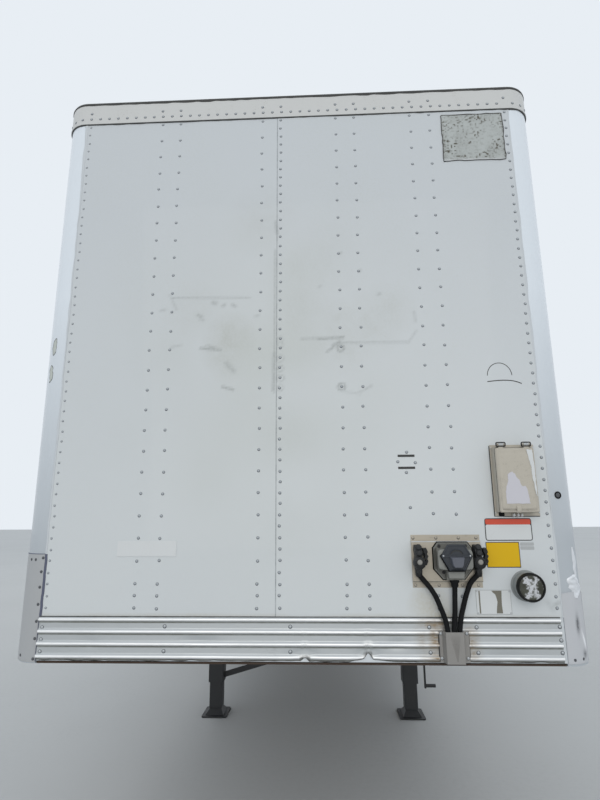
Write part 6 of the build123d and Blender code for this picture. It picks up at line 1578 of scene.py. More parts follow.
    def socket_details(self) -> None:
        """A rim, a shell round the barrel (superellipse outside, circle inside), spout, bolts, gland, and a
        black ring of painted shade round the flange.
        """
        outline = np.array([
            (-0.084, 1.602), (-0.084, 1.690), (-0.066, 1.714), (0.066, 1.714), (0.084, 1.690), (0.084, 1.602),
            (0.046, 1.558), (-0.046, 1.558),
        ]) + (self.socket_x, 0)
        middle = outline.mean(axis=0)
        inner, outer = (middle + (outline - middle) * size for size in (0.965, 1.025))
        turn = round_section(1.0, 56)
        square = (0.0755, 0.0430) * np.sign(turn) * np.abs(turn) ** 0.3
        circle = 0.0365 * turn + (0.0, 0.010)
        layers = (
            (square, 0.0475), (square, 0.0660), (0.985 * square, 0.0700), (0.94 * square, 0.0720),
            (circle, 0.0720), (circle, 0.0480),
        )
        rings = [np.c_[ring, np.full(len(ring), depth)] for ring, depth in layers]
        shell = lattice(np.stack(rings), wrap_columns=True)
        spout = np.array([(-0.038, 0.0145), (0.038, 0.0145), (0.034, -0.0145), (-0.034, -0.0145)])
        parts = [
            shell.placed((self.socket_x, FRONT, 1.645)),
            prism(spout, 0.020, 0.0, 0.92).placed((0.700, FRONT - 0.0460, 1.5805)),
        ]
        rim = frame_bar(inner, self.flange_face, rounded(0.0035, 0.004, 0.001, 2))
        make_piece("socket_rim", rim, SHELL_ALLOY)
        make_piece("socket_shell", joined(parts), SHELL_ALLOY, bevel=0.0006)
        # A black ring round the flange is painted shade at its edge
        edge_ring = frame_bar(outer, self.plate_face - 0.0012, rounded(0.0050, 0.0040, 0.001, 2))
        make_piece("socket_flange_shade_ring", edge_ring, HOSE_RUBBER_AND_SHADE)
        holes = np.array([(0.641, 1.699), (0.757, 1.699), (0.655, 1.587), (0.743, 1.587)])
        holes = upright(holes, self.flange_face)
        make_piece("socket_bolts", hex_bolt(0.0055, 0.004).scattered(holes), CAST_IRON)
        gland = turned(
            [(0.020, 0.0), (0.020, 0.012), (0.016, 0.014), (0.016, 0.026), (0.0135, 0.032), (0.0, 0.032)], 12
        )
        make_piece("cable_gland", gland.placed((0.697, FRONT - 0.030, 1.5585), Facing.GROUND), HOSE_RUBBER_AND_SHADE)

    def couplings(self) -> None:
        """The two air couplings: a cast bar with bumps, a round head with a dusty cap and a swing plate."""
        cast, dark, caps = [], [], []
        arm = np.array([
            (-0.015, 0.054), (0.015, 0.054), (0.018, 0.032), (0.014, 0.008), (0.019, -0.016),
            (0.0135, -0.056),
        ])
        arm = np.r_[arm, arm[::-1] * (-1, 1)]
        swing = np.array([
            (0.017, 0.041), (0.033, 0.043), (0.039, 0.026), (0.034, 0.018), (0.041, 0.008), (0.035, -0.004),
            (0.039, -0.014), (0.031, -0.033), (0.026, -0.024), (0.029, -0.010), (0.021, 0.000),
            (0.026, 0.014), (0.019, 0.026),
        ])
        head = turned([(0.0265, 0.030), (0.0265, 0.052), (0.0245, 0.062), (0.0190, 0.066), (0.0, 0.066)], 22)
        low_bump = turned([(0.013, 0.038), (0.0145, 0.048), (0.0105, 0.055), (0.0, 0.057)], 14)
        high_bump = turned([(0.013, 0.036), (0.0140, 0.046), (0.0095, 0.052), (0.0, 0.054)], 14)
        cap = turned([(0.0115, 0.065), (0.0110, 0.0705), (0.0080, 0.0735), (0.0, 0.0738)], 16)
        ring = turned([(0.0150, 0.064), (0.0215, 0.063), (0.0215, 0.069), (0.0150, 0.070)], 20, ring=True)
        inlet = prism(round_section(0.0165, 6), 0.022, 0.0, 0.96)
        for x in self.coupling_xs:
            at = (x, self.plate_face, 1.651)
            cast += [
                prism(arm, 0.044, 0.0, 0.88).placed(at),
                head.placed((x, self.plate_face, 1.630)),
                low_bump.placed((x + 0.001, self.plate_face, 1.672)),
                high_bump.placed((x - 0.001, self.plate_face, 1.696)),
                inlet.placed((x, FRONT - 0.030, 1.608), Facing.GROUND),
                prism(rounded(0.036, 0.013, 0.004, 3) + (0.020, 0.015), 0.030, 0.010).placed(at),
            ]
            caps.append(cap.placed((x - 0.002, self.plate_face, 1.635)))
            dark += [ring.placed((x, self.plate_face, 1.630)), prism(swing, 0.049, 0.026, 0.94).placed(at)]
        make_piece("coupling_castings", joined(cast), CAST_IRON, replaces=("air_couplings",), bevel=0.0014)
        make_piece("coupling_caps", joined(caps), COUPLING_FACE, bevel=0.0006)
        make_piece("coupling_swing_plates", joined(dark), BLACK_ENAMEL, bevel=0.0008)

    def ferrules(self) -> None:
        """Crimped sleeves where each line leaves its coupling."""
        sleeve = turned(
            [
                (0.0135, 0.0), (0.015, 0.003), (0.0142, 0.008), (0.015, 0.013), (0.0142, 0.018),
                (0.013, 0.024), (0.0116, 0.026),
            ],
            14,
        )
        shapes = [sleeve.placed((x, FRONT - 0.030, 1.596), Facing.GROUND) for x in self.coupling_xs]
        make_piece("line_ferrules", joined(shapes), BLACK_ENAMEL)

    def build(self) -> None:
        """Builds all of the group's dressing."""
        self.studs()
        self.cover_stamping()
        self.lid()
        self.socket_details()
        self.couplings()
        self.ferrules()


@dataclass
class DocumentBox:
    """The plastic document box: a bulging lid face, hinge barrels, a latch and what is left of its labels."""

    lid_face: float = FRONT - 0.067
    centre: tuple[float, float] = (0.995, 1.986)
    hinge_xs: tuple[float, float] = (0.937, 1.050)
    hinge_z: float = 2.145

    def lid_depth(self, u: np.ndarray, v: np.ndarray) -> np.ndarray:
        """How far the lid's face bulges: 3.4 mm * (1 - u^8) (1 - v^8), a shallow frame and faint waves."""
        frame_dip = 0.0008 * np.exp(-(((np.maximum(np.abs(u), np.abs(v)) - 0.86) / 0.03) ** 2))
        return 0.0034 * (1 - u**8) * (1 - v**8) - frame_dip + 0.0005 * ripple(u + 2, v + 2, 0.3, 80)

    def facing_sheet(self, name: str, outline: np.ndarray, finish: Finish) -> None:
        """A thin sheet on the bulging face, ragged by up to 1.2 mm.

        Args:
            name: The piece's name.
            outline: Corners of the sheet, in x and z.
            finish: What it is made of.
        """
        share = np.linspace(0, 1, 6, endpoint=False)[:, None]
        fine = (
            outline[:, None] + (np.roll(outline, -1, axis=0) - outline)[:, None] * share[None]
        ).reshape(-1, 2)
        fine = fine + np.random.default_rng(81).uniform(-0.0012, 0.0012, fine.shape)
        make_piece(name, prism(fine, 0.0042, 0.0010).placed((0, self.lid_face, 0)), finish, "document_lid")

    def build(self) -> None:
        """Adds the lid's face, the hinge barrels, the latch, the labels, and painted shade in the gaps and in
        a hole.
        """
        x0, z0 = self.centre
        u, v = np.meshgrid(np.linspace(-1, 1, 40), np.linspace(-1, 1, 64))
        squeeze = 1 - 0.035 * np.abs(u * v) ** 6
        points = np.stack(
            [
                x0 + 0.0815 * u * squeeze, self.lid_face - self.lid_depth(u, v) + 0.0008,
                z0 + 0.1395 * v * squeeze,
            ],
            axis=-1,
        )
        edge = np.maximum(np.abs(u), np.abs(v))
        # Grime and painted shade round the lid's rim, most at its foot and left side
        low = np.clip(0.45 - 0.55 * v - 0.35 * u, 0.1, 1)
        grime_and_shade = 0.7 * np.exp(-(((edge - 0.925) / 0.022) ** 2)) * low * (0.5 + ripple(u + 2, v + 2, 0.2, 82))
        grime_and_shade = grime_and_shade + 0.55 * np.clip((-v - 0.955) / 0.03, 0, 1)
        make_piece(
            "document_lid_face", lattice(points), LID_PLASTIC, "document_lid", weld=False,
            marks={"grime_and_shade": grime_and_shade},
        )
        self.hinges()
        # Dark strips of painted shade in the gap round the lid and along the flange's left edge and foot
        gap = frame_bar(
            rounded(0.168, 0.284, 0.006, 4) + self.centre, FRONT - 0.0522, rounded(0.0030, 0.0040, 0.001, 2)
        )
        edge = np.array([(0.9030, 2.146), (0.9032, 2.00), (0.9030, 1.8265), (0.97, 1.8262), (1.104, 1.8262)])
        foot = swept(rounded(0.0050, 0.0020, 0.0008, 2), upright(edge, FRONT - 0.0020), (0, -1, 0))
        make_piece("document_gap_shade", joined([gap, foot]), DARK_LINE)
        # A black sheet of painted shade where a hole is in the box's corner
        hole = prism(rounded(0.026, 0.020, 0.006, 4), 0.0010).placed((0.934, FRONT - 0.003, 1.8365))
        make_piece("document_corner_hole", hole, HOSE_RUBBER_AND_SHADE)
        bend = ((0.0700, 1.872), (0.0725, 1.858), (0.0690, 1.846), (0.0600, 1.841))
        path = np.array([(0.990, FRONT - out, z) for out, z in bend])
        latch = swept(rounded(0.020, 0.0026, 0.001, 2), path, (0, -1, 0.2))
        make_piece("document_latch", latch, BOX_PLASTIC, "document_lid", bevel=0.0005)
        hooks = [
            prism(rounded(0.010, 0.014, 0.003, 3), 0.018, 0.0, 0.9).placed((x, FRONT - 0.003, 1.832))
            for x in (0.984, 1.003, 1.020)
        ]
        make_piece("document_catch", joined(hooks), LABEL_FILM, bevel=0.001)
        self.facing_sheet("torn_label", np.array([
            (0.939, 1.882), (0.939, 1.930), (0.945, 1.962), (0.954, 1.985), (0.953, 2.008), (0.963, 2.018),
            (0.974, 2.022), (0.986, 2.012), (0.992, 1.996), (1.003, 1.985), (1.008, 1.965), (1.014, 1.956),
            (1.026, 1.958), (1.034, 1.944), (1.037, 1.915), (1.041, 1.880),
        ]), TORN_LABEL)
        self.facing_sheet("torn_edge_label", np.array([
            (1.047, 2.121), (1.071, 2.119), (1.0735, 2.060), (1.0740, 1.990), (1.0742, 1.915), (1.069, 1.925),
            (1.066, 1.965), (1.060, 2.010), (1.061, 2.040), (1.054, 2.075),
        ]), LABEL_FILM)
        spots = np.array([(x, FRONT - 0.003, z) for x in (0.9085, 1.1015) for z in (1.842, 2.136)])
        make_piece("document_screws", dome(0.0035, 0.0025, 8).scattered(spots), ZINC_STUD_AND_HIGHLIGHT)

    def hinges(self) -> None:
        """Two hinge barrels on the lid, each in a frame on the box."""
        barrels, frames = [], []
        for x in self.hinge_xs:
            ends = np.array([(x - 0.0105, self.hinge_z), (x + 0.0105, self.hinge_z)])
            barrels.append(swept(round_section(0.0062, 12), upright(ends, FRONT - 0.061)))
            loop = rounded(0.041, 0.0180, 0.005, 4) + (x, self.hinge_z)
            frames.append(frame_bar(loop, FRONT - 0.0620, rounded(0.0048, 0.0050, 0.0015, 3)))
        make_piece("document_hinge_barrels", joined(barrels), ZINC_STUD_AND_HIGHLIGHT, "document_lid")
        make_piece("document_hinge_frames", joined(frames), BLACK_ENAMEL)


@dataclass
class Canister:
    """The round document canister: a drawn body, a rubber ring and a clouded cap."""

    centre: tuple[float, float, float] = (1.012, FRONT, 1.529)
    cap_r: float = 0.0525

    def build(self) -> None:
        """Turns the body, the ring and the cap; the cap's haze and residue are painted by radius."""
        body = turned(
            [
                (0.0, 0.0005), (0.066, 0.0005), (0.066, 0.003), (0.058, 0.004), (0.0575, 0.047),
                (0.0585, 0.052), (0.0, 0.052),
            ],
            48,
        )
        make_piece("canister_body", body.placed(self.centre), CANISTER_BODY, replaces=("round_canister",))
        ring = turned(
            [
                (0.0505, 0.050), (0.0600, 0.050), (0.0605, 0.054), (0.0600, 0.066), (0.0575, 0.0705),
                (0.0525, 0.0705), (0.0505, 0.067),
            ],
            56,
            ring=True,
        )
        make_piece("canister_ring", ring.placed(self.centre), CANISTER_RING)
        r, a = np.meshgrid(np.linspace(self.cap_r, 0.0, 22), round_angles(72), indexing="ij")
        x, z = r * np.cos(a), r * np.sin(a)
        out = 0.0655 + 0.0035 * np.cos(r / self.cap_r * np.pi / 2)
        cap = lattice(np.stack([x, z, out], axis=-1), wrap_columns=True)
        arms = [
            (-0.026, 0.036, 0.022, -0.036), (0.024, 0.036, -0.018, -0.038), (-0.012, 0.03, -0.008, 0.0),
            (0.016, -0.02, 0.026, -0.032),
        ]
        residue = np.max([near_line(x, z, arm, 0.0215) for arm in arms], axis=0)
        residue = np.clip(2.1 * (residue - 0.30) + 2.2 * (ripple(x + 1, z + 1, 0.006, 91) - 0.55), 0, 1.1)
        hazy = 0.75 * ripple(x + 1, z + 1, 0.022, 92) ** 2 * (1 - (r / self.cap_r) ** 6)
        make_piece(
            "canister_cap", cap.placed(self.centre), CANISTER_CAP,
            marks={"residue": residue, "hazy": hazy},
        )


@dataclass
class Labels:
    """Blank labels and plates, each a thin sheet on the nose wall."""

    face: float = FRONT - 0.0022

    def plate(
        self, name: str, box: Sequence[float], finish: Finish, radius: float = 0.003, lift: float = 0.0
    ) -> None:
        """A thin plate over (x0, z0, x1, z1) with rounded corners.

        Args:
            name: The piece's name.
            box: Left, bottom, right and top.
            finish: What it is made of.
            radius: Radius of its corners.
            lift: How far it stands in front of the other labels.
        """
        x0, z0, x1, z1 = box
        outline = rounded(x1 - x0, z1 - z0, radius, 4)
        shape = prism(outline, 0.0003 + lift, -0.002).placed(((x0 + x1) / 2, self.face, (z0 + z1) / 2))
        make_piece(name, shape, finish)

    def build(self) -> None:
        """Adds each label where the photograph has it, with nothing written on it."""
        for name, box, *rest in (
            ("strip_label", (-0.821, 1.657, -0.547, 1.725), LABEL_FILM),
            ("bordered_label_edge", (0.8545, 1.720, 1.0620, 1.818), LABEL_BLACK, 0.010),
            ("bordered_label", (0.8582, 1.7238, 1.0583, 1.7900), LABEL_FILM, 0.0060, 0.0003),
            ("bordered_label_band", (0.8582, 1.7905, 1.0583, 1.8142), LABEL_ORANGE, 0.0060, 0.0004),
            ("yellow_label_edge", (0.852, 1.605, 0.999, 1.7145), LABEL_BLACK, 0.002),
            ("yellow_label", (0.8550, 1.6085, 0.9960, 1.7115), LABEL_YELLOW, 0.002, 0.0003),
            ("small_label_upper", (1.004, 1.6985, 1.064, 1.712), LABEL_GREY),
            ("small_label_lower", (1.004, 1.681, 1.064, 1.6955), LABEL_GREY),
            ("data_plate_edge", (0.791, 1.410, 0.943, 1.512), LABEL_GREY, 0.002),
            ("data_plate", (0.7935, 1.4125, 0.9405, 1.5095), LABEL_FILM, 0.002, 0.0002),
            ("data_plate_wear_slim", (0.8035, 1.414, 0.8095, 1.508), WORN_FILM, 0.001, 0.0004),
        ):
            self.plate(name, box, *rest)
        worn = np.array([
            (0.860, 1.5085), (0.904, 1.5085), (0.902, 1.480), (0.901, 1.450), (0.903, 1.415), (0.876, 1.415),
            (0.879, 1.440), (0.883, 1.462), (0.879, 1.482), (0.875, 1.494), (0.866, 1.500),
        ])
        make_piece("data_plate_wear_wide", prism(worn, 0.0008, -0.001).placed((0, self.face, 0)), WORN_FILM)
        spots = np.array([(x, self.face - 0.0005, z) for x in (0.7975, 0.9365) for z in (1.4165, 1.5055)])
        make_piece("data_plate_rivets", dome(0.0035, 0.002, 8).scattered(spots), ZINC_STUD_AND_HIGHLIGHT)


@dataclass
class PatchPlate:
    """The riveted patch in the top corner, with its sealant and weathering."""

    box: tuple[float, float, float, float] = (0.798, 3.665, 1.120, 3.945)

    def build(self) -> None:
        """Builds the patch as a waving grid, a ragged bead round it and small rivets."""
        x0, z0, x1, z1 = self.box
        x, z = np.meshgrid(np.linspace(x0, x1, 108), np.linspace(z0, z1, 94))
        rim = np.clip(np.minimum(np.minimum(x - x0, x1 - x), np.minimum(z - z0, z1 - z)) / 0.01, 0, 1)
        y = FRONT - 0.0030 - 0.0016 * rim - 0.0010 * ripple(x, z, 0.09, 95)
        thick = 0.1 + 1.3 * ripple(x, z, 0.045, 99) ** 2
        specked = 1.9 * ripple(x, z, 0.0085, 96) ** 5 * thick + 0.2 * ripple(x, z, 0.04, 97) ** 2
        specked = specked + 0.8 * (1 - rim) * ripple(x, z, 0.02, 94)
        bright = 0.9 * np.clip(1 - (z - z0) / 0.012, 0, 1)
        make_piece(
            "patch_sheet", lattice(np.stack([x, y, z], axis=-1)), PATCH_METAL, replaces=("patch_plate",),
            weld=False, marks={"specked": specked, "bright": bright},
        )
        loop = rounded(x1 - x0 + 0.002, z1 - z0 + 0.002, 0.004, 3)
        share = np.linspace(0, 1, 12, endpoint=False)[:, None]
        dense = (loop[:, None] + (np.roll(loop, -1, axis=0) - loop)[:, None] * share[None]).reshape(-1, 2)
        dense = closed(dense) + ((x0 + x1) / 2, (z0 + z1) / 2)
        wobble = 0.0070 * (ripple(dense[:, 0], dense[:, 1], 0.010, 98) - 0.5)
        path = np.c_[dense[:, 0] + wobble, 0 * wobble + FRONT - 0.0035, dense[:, 1] + wobble]
        make_piece("patch_sealant", swept(rounded(0.0034, 0.0034, 0.0012, 3), path, (0, -1, 0)), DARK_LINE)
        edge = 0.012
        wide, tall = x1 - x0 - 2 * edge, z1 - z0 - 2 * edge
        spots = [(x0 + edge + wide * n / 6, z) for n in range(7) for z in (z0 + edge, z1 - edge)]
        spots += [(x, z0 + edge + tall * n / 5) for n in range(1, 5) for x in (x0 + edge, x1 - edge)]
        places = upright(np.array(spots), FRONT - 0.0048)
        make_piece("patch_rivets", dome(0.0042, 0.0022).scattered(places), PATCH_METAL)


@dataclass
class Sides:
    """Rows of rivets, lap joints and reflective tape along both sides.

    Attributes:
        post_pitch: Distance between the posts behind the side sheet.
        row_pitch: Distance between rivets in a column, and along the rails.
        tape_spans: Where each strip of tape starts and ends along the trailer.
    """

    post_pitch: float = 0.4064
    row_pitch: float = 0.1016
    tape_spans: Outline = ((-7.2, -5.4), (-4.2, -2.4), (-1.2, 0.6), (1.8, 3.6), (4.8, 6.6), (7.0, 7.9))

    def build(self) -> None:
        """Builds the rivets, the lap strips and the tape of each side."""
        posts = np.arange(FRONT + 0.24, REAR - 0.14, self.post_pitch)
        rows = np.arange(1.46, 3.93, self.row_pitch)
        y, z = [a.ravel() for a in np.meshgrid(posts, rows)]
        laps = posts[3::3]
        beside = np.r_[laps - 0.018, laps + 0.018]
        ly, lz = [a.ravel() for a in np.meshgrid(beside, rows + self.row_pitch / 2)]
        y, z = np.r_[y, ly], np.r_[z, lz]
        rail_y = np.arange(FRONT + 0.32, REAR - 0.12, self.row_pitch)
        for label, side, facing in (("driver", 1, Facing.DRIVER), ("kerb", -1, Facing.KERB)):
            places = np.c_[0 * y + side * SKIN_X, y, z]
            heads = dome(SIDE_RIVET_R, 0.0035).scattered(places, facing.out)
            make_piece(f"side_rivets_{label}", heads, PAINTED_RIVET)
            rail = [np.c_[0 * rail_y + side * RAIL_X, rail_y, 0 * rail_y + h] for h in (1.3868, 3.998, 4.076)]
            heads = dome(SIDE_RIVET_R, 0.0031).scattered(np.concatenate(rail), facing.out)
            make_piece(f"rail_rivets_{label}", heads, ZINC_STUD_AND_HIGHLIGHT)
            places = np.c_[0 * laps + side * SKIN_X, laps, 0 * laps + 2.687]
            strip = prism(rounded(0.058, 2.572, 0.002, 2), 0.001).scattered(places, facing.out)
            make_piece(f"lap_strips_{label}", strip, SIDE_SHEET)
            tape = [
                tape_strip(end - start, 0.0005).placed((side * RAIL_X, (start + end) / 2, 1.266), facing)
                for start, end in self.tape_spans
            ]
            make_piece(f"side_tape_{label}", joined(tape), SIDE_TAPE)


@dataclass
class RoofDressing:
    """Lap joints of the roof sheet and the rivets along both edges of it."""

    def build(self) -> None:
        """Adds beads across the roof and a row of rivets inside each edge seal."""
        y = np.arange(FRONT + 0.5 + 0.3, REAR - 0.2, 1.2192 * 2)
        x = np.linspace(-1.255, 1.255, 40)
        beads = []
        for n, joint in enumerate(y):
            path = np.c_[x, joint + 0.004 * (ripple(x, 0 * x + n, 0.1, 101) - 0.5), 0 * x + 4.1012]
            beads.append(swept(rounded(0.028, 0.003, 0.0014, 3), path))
        make_piece("roof_lap_sealant", joined(beads), ROOF_SEALANT)
        edge_y = np.arange(FRONT + 0.2, REAR - 0.12, 0.1524)
        spots = np.concatenate([np.c_[0 * edge_y + s * 1.245, edge_y, 0 * edge_y + 4.101] for s in (-1, 1)])
        make_piece("roof_rivets", dome(SIDE_RIVET_R, 0.003).scattered(spots, Facing.SKY.out), ZINC_STUD_AND_HIGHLIGHT)


@dataclass
class RearEnd:
    """Gaskets, bolts, lamp grommets and tape on the doors and their frame."""

    inner: float = 0.003
    outer: float = 1.2195
    low: float = 1.348
    high: float = 3.979
    hinge_zs: tuple[float, ...] = (1.480, 2.080, 2.680, 3.280, 3.850)
    keeper_zs: tuple[float, ...] = (1.428, 1.780, 2.670, 3.320, 3.939)

    def build(self) -> None:
        """Dresses both doors, the sill, the header and the underride guard."""
        for label, side in (("left", -1), ("right", 1)):
            middle = side * (self.inner + self.outer) / 2
            wide, tall = self.outer - self.inner - 0.016, self.high - self.low - 0.016
            loop = rounded(wide, tall, 0.01, 4) + (middle, (self.low + self.high) / 2)
            edge_ring = frame_bar(loop, REAR + 0.0005, rounded(0.014, 0.006, 0.002, 3), (0, 1, 0))
            make_piece(f"door_gasket_{label}", edge_ring, SPRING_RUBBER, f"door_{label}")
            spots = np.array([
                (side * x, REAR + 0.008, z + dz)
                for z in self.hinge_zs for x in (0.955, 1.035, 1.150) for dz in (-0.013, 0.013)
            ])
            bolts = hex_bolt(0.008, 0.006).scattered(spots, Facing.REAR.out)
            make_piece(f"hinge_bolts_{label}", bolts, ZINC_STUD_AND_HIGHLIGHT, f"door_{label}")
            spots = np.array([
                (side * (0.330 + dx), REAR + 0.032, z) for z in self.keeper_zs for dx in (-0.022, 0.022)
            ])
            bolts = hex_bolt(0.006, 0.005).scattered(spots, Facing.REAR.out)
            make_piece(f"rod_bracket_bolts_{label}", bolts, ZINC_STUD_AND_HIGHLIGHT, f"door_{label}")
            tape = tape_strip(1.0).placed((side * 0.660, REAR, 1.560), Facing.REAR)
            make_piece(f"door_tape_{label}", tape, REAR_TAPE, f"door_{label}")
        grommet = turned(
            [(0.050, 0.0), (0.058, 0.0), (0.059, 0.004), (0.056, 0.008), (0.050, 0.0075)], 32, ring=True
        )
        rings = [grommet.placed((s * x, REAR, 1.262), Facing.REAR) for s in (-1, 1) for x in (0.82, 0.96)]
        make_piece("lamp_grommets", joined(rings), HOSE_RUBBER_AND_SHADE)
        base = prism(rounded(0.112, 0.044, 0.006, 3), 0.005)
        bases = [base.placed((x, REAR, 4.05), Facing.REAR) for x in (-1.15, -0.1524, 0, 0.1524, 1.15)]
        make_piece("header_lamp_bases", joined(bases), HOSE_RUBBER_AND_SHADE, bevel=0.001)
        for name, length, y, z in (("sill_tape", 1.24, REAR, 1.240), ("guard_tape", 2.38, 8.042, 0.507)):
            make_piece(name, tape_strip(length).placed((0, y, z), Facing.REAR), REAR_TAPE)


@dataclass
class Wheels:
    """Treaded tyres, wheel nuts and hub caps of the four dual sets.

    Attributes:
        radius: Tyre radius.
        grooves: Offset of each groove from the tyre's middle.
        steps: Steps round the tyre.
    """

    radius: float = 0.508
    grooves: tuple[float, ...] = (-0.063, -0.021, 0.021, 0.063)
    steps: int = 168

    def profile(self) -> tuple[np.ndarray, np.ndarray]:
        """Offset and radius along one tyre's section, from one bead over the tread to the other."""
        side = np.array([
            (-0.104, 0.2865), (-0.106, 0.296), (-0.112, 0.304), (-0.118, 0.312), (-0.1225, 0.322),
            (-0.128, 0.333), (-0.1355, 0.356), (-0.1393, 0.380), (-0.1380, 0.400), (-0.1385, 0.404),
            (-0.1355, 0.424), (-0.1318, 0.444), (-0.1285, 0.460), (-0.1240, 0.474), (-0.1185, 0.486),
            (-0.1130, 0.4955), (-0.1060, 0.5005), (-0.097, 0.5030),
        ])
        tread = [(-0.090, 0.5042)]
        for groove in self.grooves:
            crown = self.radius - 0.42 * groove**2
            foot = crown - 0.0125
            tread += [(groove - 0.0062, crown), (groove - 0.0045, foot), (groove + 0.0045, foot)]
            tread += [(groove + 0.0062, crown)]
            rib = groove + 0.021
            tread += [(rib, self.radius - 0.42 * rib**2)] if groove < max(self.grooves) else []
        tread += [(0.090, 0.5042)]
        section = np.concatenate([side, np.array(tread), side[::-1] * (-1, 1)])
        return section[:, 0], section[:, 1]

    def tyre(self, middle_x: float, axle_y: float) -> tuple[Shape, np.ndarray]:
        """One tyre as (x, r cos t, r sin t), with shoulder notches and fine cuts in the ribs.

        Args:
            middle_x: X of the tyre's middle.
            axle_y: Y of the axle.

        Returns:
            The tyre and how dusty each of its points is.
        """
        offset, radius = self.profile()
        o, k = np.meshgrid(offset, np.arange(self.steps), indexing="ij")
        r = np.broadcast_to(radius[:, None], o.shape).copy()
        notch = (np.abs(o) > 0.095) & (np.abs(o) < 0.126) & (r > 0.47) & (k % 6 < 2)
        r[notch] -= 0.006
        cut = (np.abs(o) < 0.09) & (k % 3 == 0) & (r > 0.497)
        r[cut] -= 0.0016
        angle = np.broadcast_to(round_angles(self.steps), o.shape)
        points = np.stack([middle_x + o, axle_y + r * np.cos(angle), AXLE_Z + r * np.sin(angle)], axis=-1)
        dusty = np.clip(0.75 - (r - 0.30) / 0.16, 0, 0.75)
        dusty = dusty + 0.7 * (r < 0.5) * (np.abs(o) < 0.09) + 0.4 * notch
        dusty = dusty * (0.6 + 0.6 * ripple(angle * 5, o * 9, 0.5, 111))
        return lattice(points, wrap_rows=True, wrap_columns=True), dusty

    def circle(self, x: float, axle_y: float, radius: float, count: int) -> np.ndarray:
        """Rows of x, y, z evenly round an axle: (x, y + r cos t, z + r sin t)."""
        t = round_angles(count)
        return np.c_[0 * t + x, axle_y + radius * np.cos(t), AXLE_Z + radius * np.sin(t)]

    def build(self) -> None:
        """Builds the tyres, nuts and caps of each dual set; the tyres replace the plain CAD ones."""
        end = turned([(0.009, 0.022), (0.009, 0.036), (0.006, 0.038), (0.0, 0.038)], 8)
        nut = joined([hex_bolt(0.0165, 0.024), end])
        cap = turned(
            [
                (0.066, 0.0), (0.0655, 0.006), (0.058, 0.010), (0.040, 0.012), (0.038, 0.0095),
                (0.012, 0.0095), (0.011, 0.013), (0.0, 0.0135),
            ],
            28,
        )
        for axle, axle_y in AXLE_Y.items():
            for label, side in (("left", -1), ("right", 1)):
                body = f"wheel_set_{axle}_{label}"
                pair = [self.tyre(side * (DUAL_X + s * DUAL_HALF), axle_y) for s in (-1, 1)]
                marks = {"dusty": np.concatenate([p[1].ravel() for p in pair])}
                shape = joined([p[0] for p in pair])
                make_piece(
                    f"tread_{axle}_{label}", shape, TYRE_RUBBER, body, replaces=(f"tyres_{axle}_{label}",),
                    weld=False, marks=marks, sharp=32,
                )
                facing = Facing.DRIVER if side > 0 else Facing.KERB
                ring = self.circle(side * (DUAL_X + 0.012), axle_y, 0.143, 10)
                make_piece(f"wheel_nuts_{axle}_{label}", nut.scattered(ring, facing.out), ZINC_STUD_AND_HIGHLIGHT, body)
                centre = (side * 1.1178, axle_y, AXLE_Z)
                bolts = self.circle(side * 1.0852, axle_y, 0.088, 6)
                parts = [cap.placed(centre, facing), hex_bolt(0.0075, 0.007).scattered(bolts, facing.out)]
                make_piece(f"hub_cap_{axle}_{label}", joined(parts), GALVANISED, body)


@dataclass
class Bogie:
    """Fasteners and bands on the sliding running gear."""

    arm_x: float = 0.496

    def build(self) -> None:
        """Adds U-bolts over the axles, pivot nuts, clamp bands on the brake chambers and tank straps."""
        bolts, bands = [], []
        band = turned([(0.0762, -0.006), (0.0800, -0.006), (0.0800, 0.006), (0.0762, 0.006)], 28, ring=True)
        for axle_y in AXLE_Y.values():
            for side in (-1, 1):
                x = side * self.arm_x
                for dx in (-0.045, 0.045):
                    t = np.linspace(np.pi, 2 * np.pi, 13)
                    low = np.c_[0 * t + x + dx, axle_y + 0.0705 * np.cos(t), AXLE_Z + 0.0705 * np.sin(t)]
                    ends = np.array([(x + dx, axle_y + dy, 0.706) for dy in (-0.0705, 0.0705)])
                    bolts.append(swept(round_section(0.008, 8), np.r_[ends[:1], low, ends[1:]], (1, 0, 0)))
                facing = Facing.DRIVER if side > 0 else Facing.KERB
                pivot = np.array([(side * 0.554, axle_y - 0.56, 0.638)])
                bolts.append(hex_bolt(0.024, 0.020).scattered(pivot, facing.out))
                for dy in (0.028, 0.100, 0.172):
                    bands.append(band.placed((side * 0.320, axle_y + 0.19 + dy * 0.9, 0.650), Facing.REAR))
        make_piece("axle_u_bolts", joined(bolts), ZINC_STUD_AND_HIGHLIGHT, "bogie")
        make_piece("chamber_bands", joined(bands), ZINC_STUD_AND_HIGHLIGHT, "bogie")
        strap = turned([(0.1202, -0.018), (0.1225, -0.018), (0.1225, 0.018), (0.1202, 0.018)], 36, ring=True)
        straps = [strap.placed((x, 4.3105, 0.930), Facing.DRIVER) for x in (-0.22, 0.22)]
        make_piece("tank_straps", joined(straps), GALVANISED, "bogie")
        nuts = np.array([(s * x, 5.698, 1.0) for s in (-1, 1) for x in (0.72, 0.86, 1.0, 1.14, 1.22)])
        make_piece("flap_bolts", hex_bolt(0.010, 0.008).scattered(nuts, Facing.REAR.out), ZINC_STUD_AND_HIGHLIGHT, "bogie")


